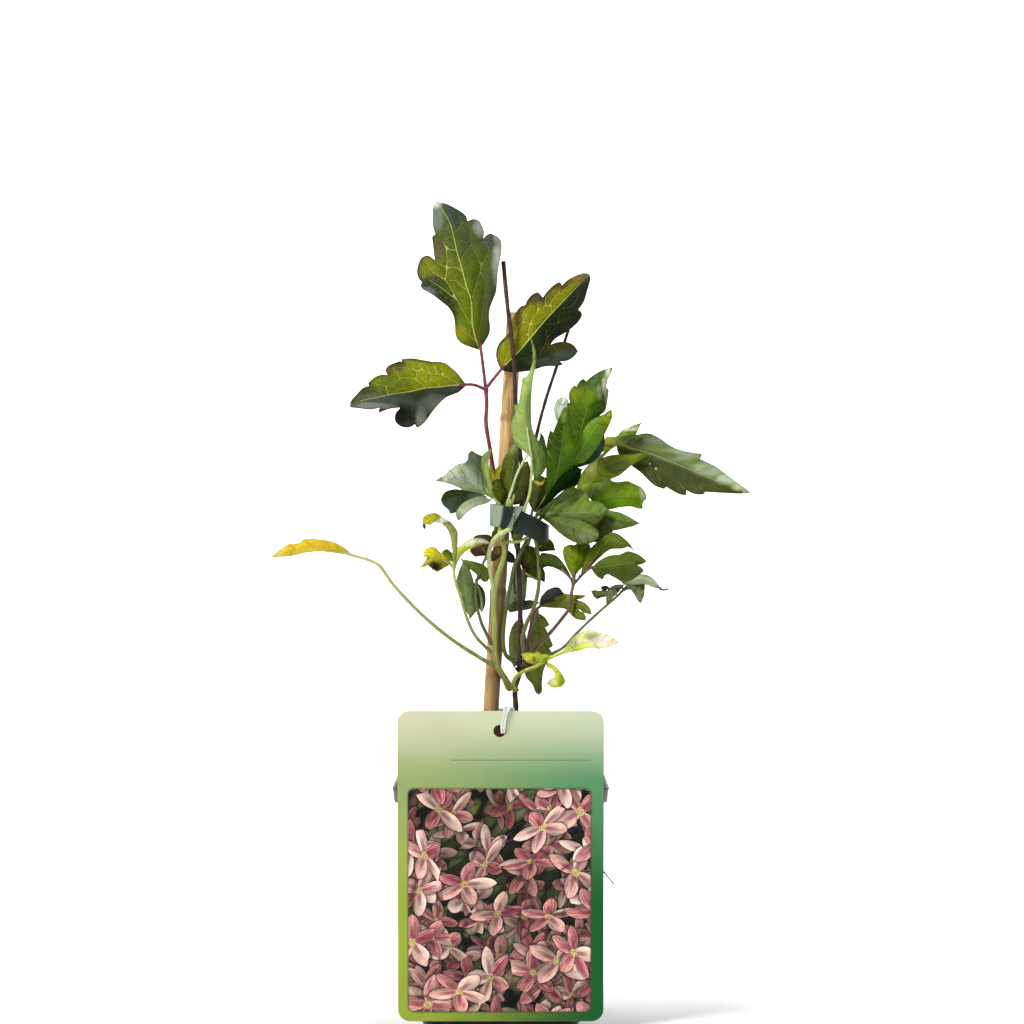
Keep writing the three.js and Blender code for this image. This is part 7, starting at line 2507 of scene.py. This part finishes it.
@dataclass
class Label:
    """The printed card, leaning forward on the pot's rim, and the loop that it hangs from."""

    width: float = 85.0
    height: float = 129.5
    thickness: float = 0.6
    corner: float = 5.0
    bottom: float = 3.2
    hole_radius: float = 2.6
    hole_drop: float = 8.3
    hole_x: float = -0.4
    foot_y: float = -37.4
    head_y: float = -48.5
    strap_width: float = 3.4
    strap_thickness: float = 0.6

    WIDTH_WEIGHT = 20
    BUTTON_SPOT = (0.6, 8.4, 128)
    BUTTON_HEIGHT = 4.4
    BUTTON_CORNER = 1.2
    BUTTON_STRETCH = 1.36

    def on_card(self, x: float, height: float, off: float = 0.0) -> np.ndarray:
        """The place at a distance across and up the card, and in front of it."""
        lean = math.atan2(self.head_y - self.foot_y, self.height)
        y = self.foot_y + height * math.sin(lean) - off * math.cos(lean)
        return np.array([x, y, self.bottom + height * math.cos(lean) + off * math.sin(lean)])

    def build(self) -> list[bpy.types.Object]:
        """Build the card and the loop."""
        return [self._card(), self._loop()]

    def _outline(self, steps: int = 10, spacing: float = 1.2) -> list[tuple[float, float]]:
        """The card's outline.

        Args:
            steps: Steps in each round corner.
            spacing: The longest distance between points on the straight sides.

        Returns:
            Points across and up the card.
        """
        r = self.corner
        right, top = self.width / 2 - r, self.height - r
        outline = []
        for x, z, turn in ((right, r, -0.5), (right, top, 0.0), (-right, top, 0.5), (-right, r, 1.0)):
            for k in range(steps + 1):
                angle = (turn + k / steps / 2) * math.pi
                outline.append((x + r * math.cos(angle), z + r * math.sin(angle)))
        close = []
        for (x, z), (next_x, next_z) in zip(outline, outline[1:] + outline[:1]):
            parts = max(1, round(math.hypot(next_x - x, next_z - z) / spacing))
            close += [(x + (next_x - x) * k / parts, z + (next_z - z) * k / parts) for k in range(parts)]
        return close

    def _card(self) -> bpy.types.Object:
        """Build the card with its punched hole, as faces between outline and hole."""
        centre = np.array([self.hole_x, self.height - self.hole_drop])
        outer = [np.array(spot) for spot in self._outline()]
        turns = [math.atan2(*(spot - centre)[::-1]) for spot in outer]
        start = int(np.argmin(turns))
        half, bevel = self.thickness / 2, 0.12
        section = [(0.0, half - bevel), (bevel, half), (-1.0, half)]
        points, place = [], []
        for spot, turn in zip(outer[start:] + outer[:start], turns[start:] + turns[:start]):
            hole = centre + self.hole_radius * np.array([math.cos(turn), math.sin(turn)])
            inward = (hole - spot) / np.linalg.norm(hole - spot)
            for inset, off in [(i, -o) for i, o in section] + section[::-1]:
                flat = hole if inset < 0 else spot + inward * inset
                points.append(self.on_card(flat[0], flat[1], -off))
                place.append((flat[0], flat[1], 0.0 if off < half * 0.5 else 1.0))
        faces = ring_faces(len(outer), 2 * len(section), closed=True)
        piece = Piece("printed_label", "card", "hang_label")
        piece.add(np.array(points), faces, CardPrint().material(), np.array(place))
        return piece.build()

    def _loop(self) -> bpy.types.Object:
        """Build the flat loop: through the hole, over the card's top edge and back round the cane."""
        hole = self.height - self.hole_drop
        up, across, slim, between = (0, 0, 1), (1, 0, 0), (0.56, 0, 0), (0.7, 0, 0.7)
        stations = (
            ((2, 8.4, 128), up), ((9.5, 7, 127.2), up), ((12.5, 0, 126.4), up), ((9.5, -20, 126.2), between),
            ((5.4, -38, 129.0), across), (self.on_card(3.4, self.height + 1.3, -1.4), across),
            (self.on_card(2.6, self.height + 1.3, 0.6), across),
            (self.on_card(1.9, self.height - 1, 1.3), slim),
            (self.on_card(1.2, hole + 3.5, 1.2), slim), (self.on_card(1.0, hole + 0.4, 1.0), slim),
            (self.on_card(0.95, hole - 0.8, -0.2), slim), (self.on_card(0.9, hole + 0.4, -1.6), slim),
            (self.on_card(0.4, hole + 3.6, -2.2), slim), ((-4.4, -36, 127.2), across),
            ((-8.5, -20, 126.8), (-0.7, 0, 0.7)), ((-11, -2, 127), up),
            ((-8.6, 7, 127.6), up), ((-0.8, 8.4, 128), up),
        )
        weight = self.WIDTH_WEIGHT
        both = curve_through([(*point, *(weight * np.array(width))) for point, width in stations], 0.5)
        path, widths = both[:, :3], both[:, 3:]
        along = np.gradient(path, axis=0)
        along /= np.linalg.norm(along, axis=1)[:, None]
        reach = np.linalg.norm(widths, axis=1)[:, None] / weight
        widths = widths - along * (widths * along).sum(1)[:, None]
        widths *= reach / np.linalg.norm(widths, axis=1)[:, None]
        thick = np.cross(along, widths) / reach
        w, t = self.strap_width / 2, self.strap_thickness / 2
        front = [(1, 0.4), (0.9, 1), (0.3, 1), (-0.3, 1), (-0.9, 1), (-1, 0.4)]
        section = front + [(a, -b) for a, b in front[::-1]]
        rings = [path + widths * (w * a) + thick * (t * b) for a, b in section]
        points = np.stack(rings, axis=1).reshape(-1, 3)
        share = np.repeat(np.linspace(0, 1, len(path)), len(section))
        around = np.tile([(1 - a) / 2 for a, _ in section], len(path))
        place = np.stack([share, around, share * 0], axis=1)
        faces = [face[::-1] for face in ring_faces(len(path), len(section))]
        piece = Piece("label_loop", "strap", "label_tie")
        piece.add(points, faces, LoopPlastic.material(), place)
        self._button(piece)
        return piece.build()

    def _button(self, piece: Piece) -> None:
        """Add the small button that joins the loop's ends."""
        right, behind, up = self.BUTTON_SPOT
        rings = []
        for y, grow in ((-1.0, 0.85), (-0.8, 1.0), (0.8, 1.0), (1.0, 0.85)):
            x, z, level = rounded_square(self.BUTTON_HEIGHT * grow, self.BUTTON_CORNER * grow, 0, 4).T
            rings.append(np.stack([right + x * self.BUTTON_STRETCH, level + behind + y, up + z], axis=1))
        piece.add(np.vstack(rings), [f[::-1] for f in ring_faces(4, len(rings[0]))], LoopPlastic.material())


@dataclass
class DryStalk:
    """A withered stalk that sticks out behind the label."""

    line: Stalk = Stalk(
        0.4, 0.32, ((572, 832, -42.7), (590, 852, -42.3), (605.3, 873.7, -41.7), (613.6, 883.6, -41))
    )

    SIDES = 9

    def build(self) -> bpy.types.Object:
        """Build the stalk."""

        def radius(share: np.ndarray) -> np.ndarray:
            return self.line.taper(share) * (1 + 0.15 * np.sin(share * 40))

        points, faces, place = tube(self.line.path(0.5), radius, self.SIDES)
        piece = Piece("withered_stalk", "dry_stalk", "dry_stalk")
        piece.add(points, faces, DryStem.material(), place)
        return piece.build()


# ---- Studio ----


class Lamp(Enum):
    """The studio's soft lamps: where each stands in metres, its size in metres and its power in watts."""

    KEY = ((-0.62, -0.62, 1.05), 0.3, 15.0)
    FILL = ((0.9, -1.4, 0.45), 1.0, 2.5)
    RIM = ((0.45, 0.8, 0.95), 0.5, 6.0)


@dataclass
class Studio:
    """A pale sweep, soft lamps and the camera."""

    aim: Spot = (0.0, 0.0, 0.19)
    world: float = 0.14
    glow: float = 1.0
    sensor: float = 36.0

    FLOOR_FRONT = -3.0
    BEND_START = 1.2
    BEND_RADIUS = 0.8
    BEND_STEPS = 16
    WALL_TOP = 4.0
    HALF_WIDTH = 3.0

    def build(self) -> None:
        """Set up the sweep, the world's light, the lamps and the camera."""
        self._sweep()
        self._world()
        for lamp in Lamp:
            self._lamp(lamp)
        self._camera()

    def _sweep(self) -> None:
        """The floor, which bends up into a wall behind the plant."""
        start, radius = self.BEND_START, self.BEND_RADIUS
        profile = [(self.FLOOR_FRONT, 0.0), (0.0, 0.0), (start, 0.0)]
        for k in range(1, self.BEND_STEPS + 1):
            angle = k / self.BEND_STEPS * math.pi / 2
            profile.append((start + radius * math.sin(angle), radius * (1 - math.cos(angle))))
        profile.append((start + radius, self.WALL_TOP))
        points = [(side * self.HALF_WIDTH, y, z) for side in (-1, 1) for y, z in profile]
        count = len(profile)
        faces = [(i, count + i, count + i + 1, i + 1) for i in range(count - 1)]
        mesh = bpy.data.meshes.new("studio_sweep")
        mesh.from_pydata(points, [], faces)
        mesh.polygons.foreach_set("use_smooth", [True] * len(faces))
        shader = Shader("studio_paper", Roughness=0.9, Specular_IOR_Level=0.1, Emission_Strength=self.glow)
        tooth = shader.grain(shader.where(), 60.0)
        shader.feed("Base Color", shader.mix(paint("#f6f6f5"), paint("#fbfbfa"), tooth))
        _, behind, _ = shader.where().parts()
        lit = behind.rise(-40.0, 220.0)
        shader.feed("Emission Color", shader.mix((0.0, 0.0, 0.0, 1.0), (1.0, 1.0, 1.0, 1.0), lit))
        mesh.materials.append(shader.material)
        floor = put("studio_sweep", mesh)

    def _world(self) -> None:
        """Even white light from all round."""
        world = bpy.data.worlds.new("studio_air")
        world.use_nodes = True
        ground = world.node_tree.nodes["Background"]
        ground.inputs["Color"].default_value = (1.0, 1.0, 1.0, 1.0)
        ground.inputs["Strength"].default_value = self.world
        bpy.context.scene.world = world

    def _lamp(self, lamp: Lamp) -> None:
        """One square soft lamp aimed at the plant."""
        place, size, power = lamp.value
        light = bpy.data.lights.new(lamp.name.lower(), "AREA")
        light.shape = "SQUARE"
        light.size = size
        light.energy = power
        stand = put(lamp.name.lower(), light)
        stand.location = place
        gap = Vector(self.aim) - stand.location
        stand.rotation_euler = gap.to_track_quat("-Z", "Y").to_euler()

    def _camera(self) -> None:
        """Level with the plant's middle, straight in front."""
        lens = bpy.data.cameras.new("studio_camera")
        lens.sensor_width = self.sensor
        lens.lens = self.sensor * VIEW_DISTANCE / (IMAGE_SIDE * MM_PER_PIXEL)
        camera = put("studio_camera", lens)
        camera.location = (AXIS_X * METRE, -VIEW_DISTANCE * METRE, AXIS_Z * METRE)
        camera.rotation_euler = (math.pi / 2, 0.0, 0.0)
        bpy.context.scene.camera = camera
        bpy.context.scene.view_settings.view_transform = "Standard"


def main() -> None:
    """Build the plant and its studio."""
    logging.basicConfig(level=logging.INFO, format="%(message)s")
    pot = Pot()
    pot.build()
    Soil().build(pot)
    Cane().build()
    Stems().build()
    TieTape().build()
    Label().build()
    DryStalk().build()
    for leaf in LEAVES:
        leaf.build()
    Studio().build()


if __name__ == "__main__":
    main()
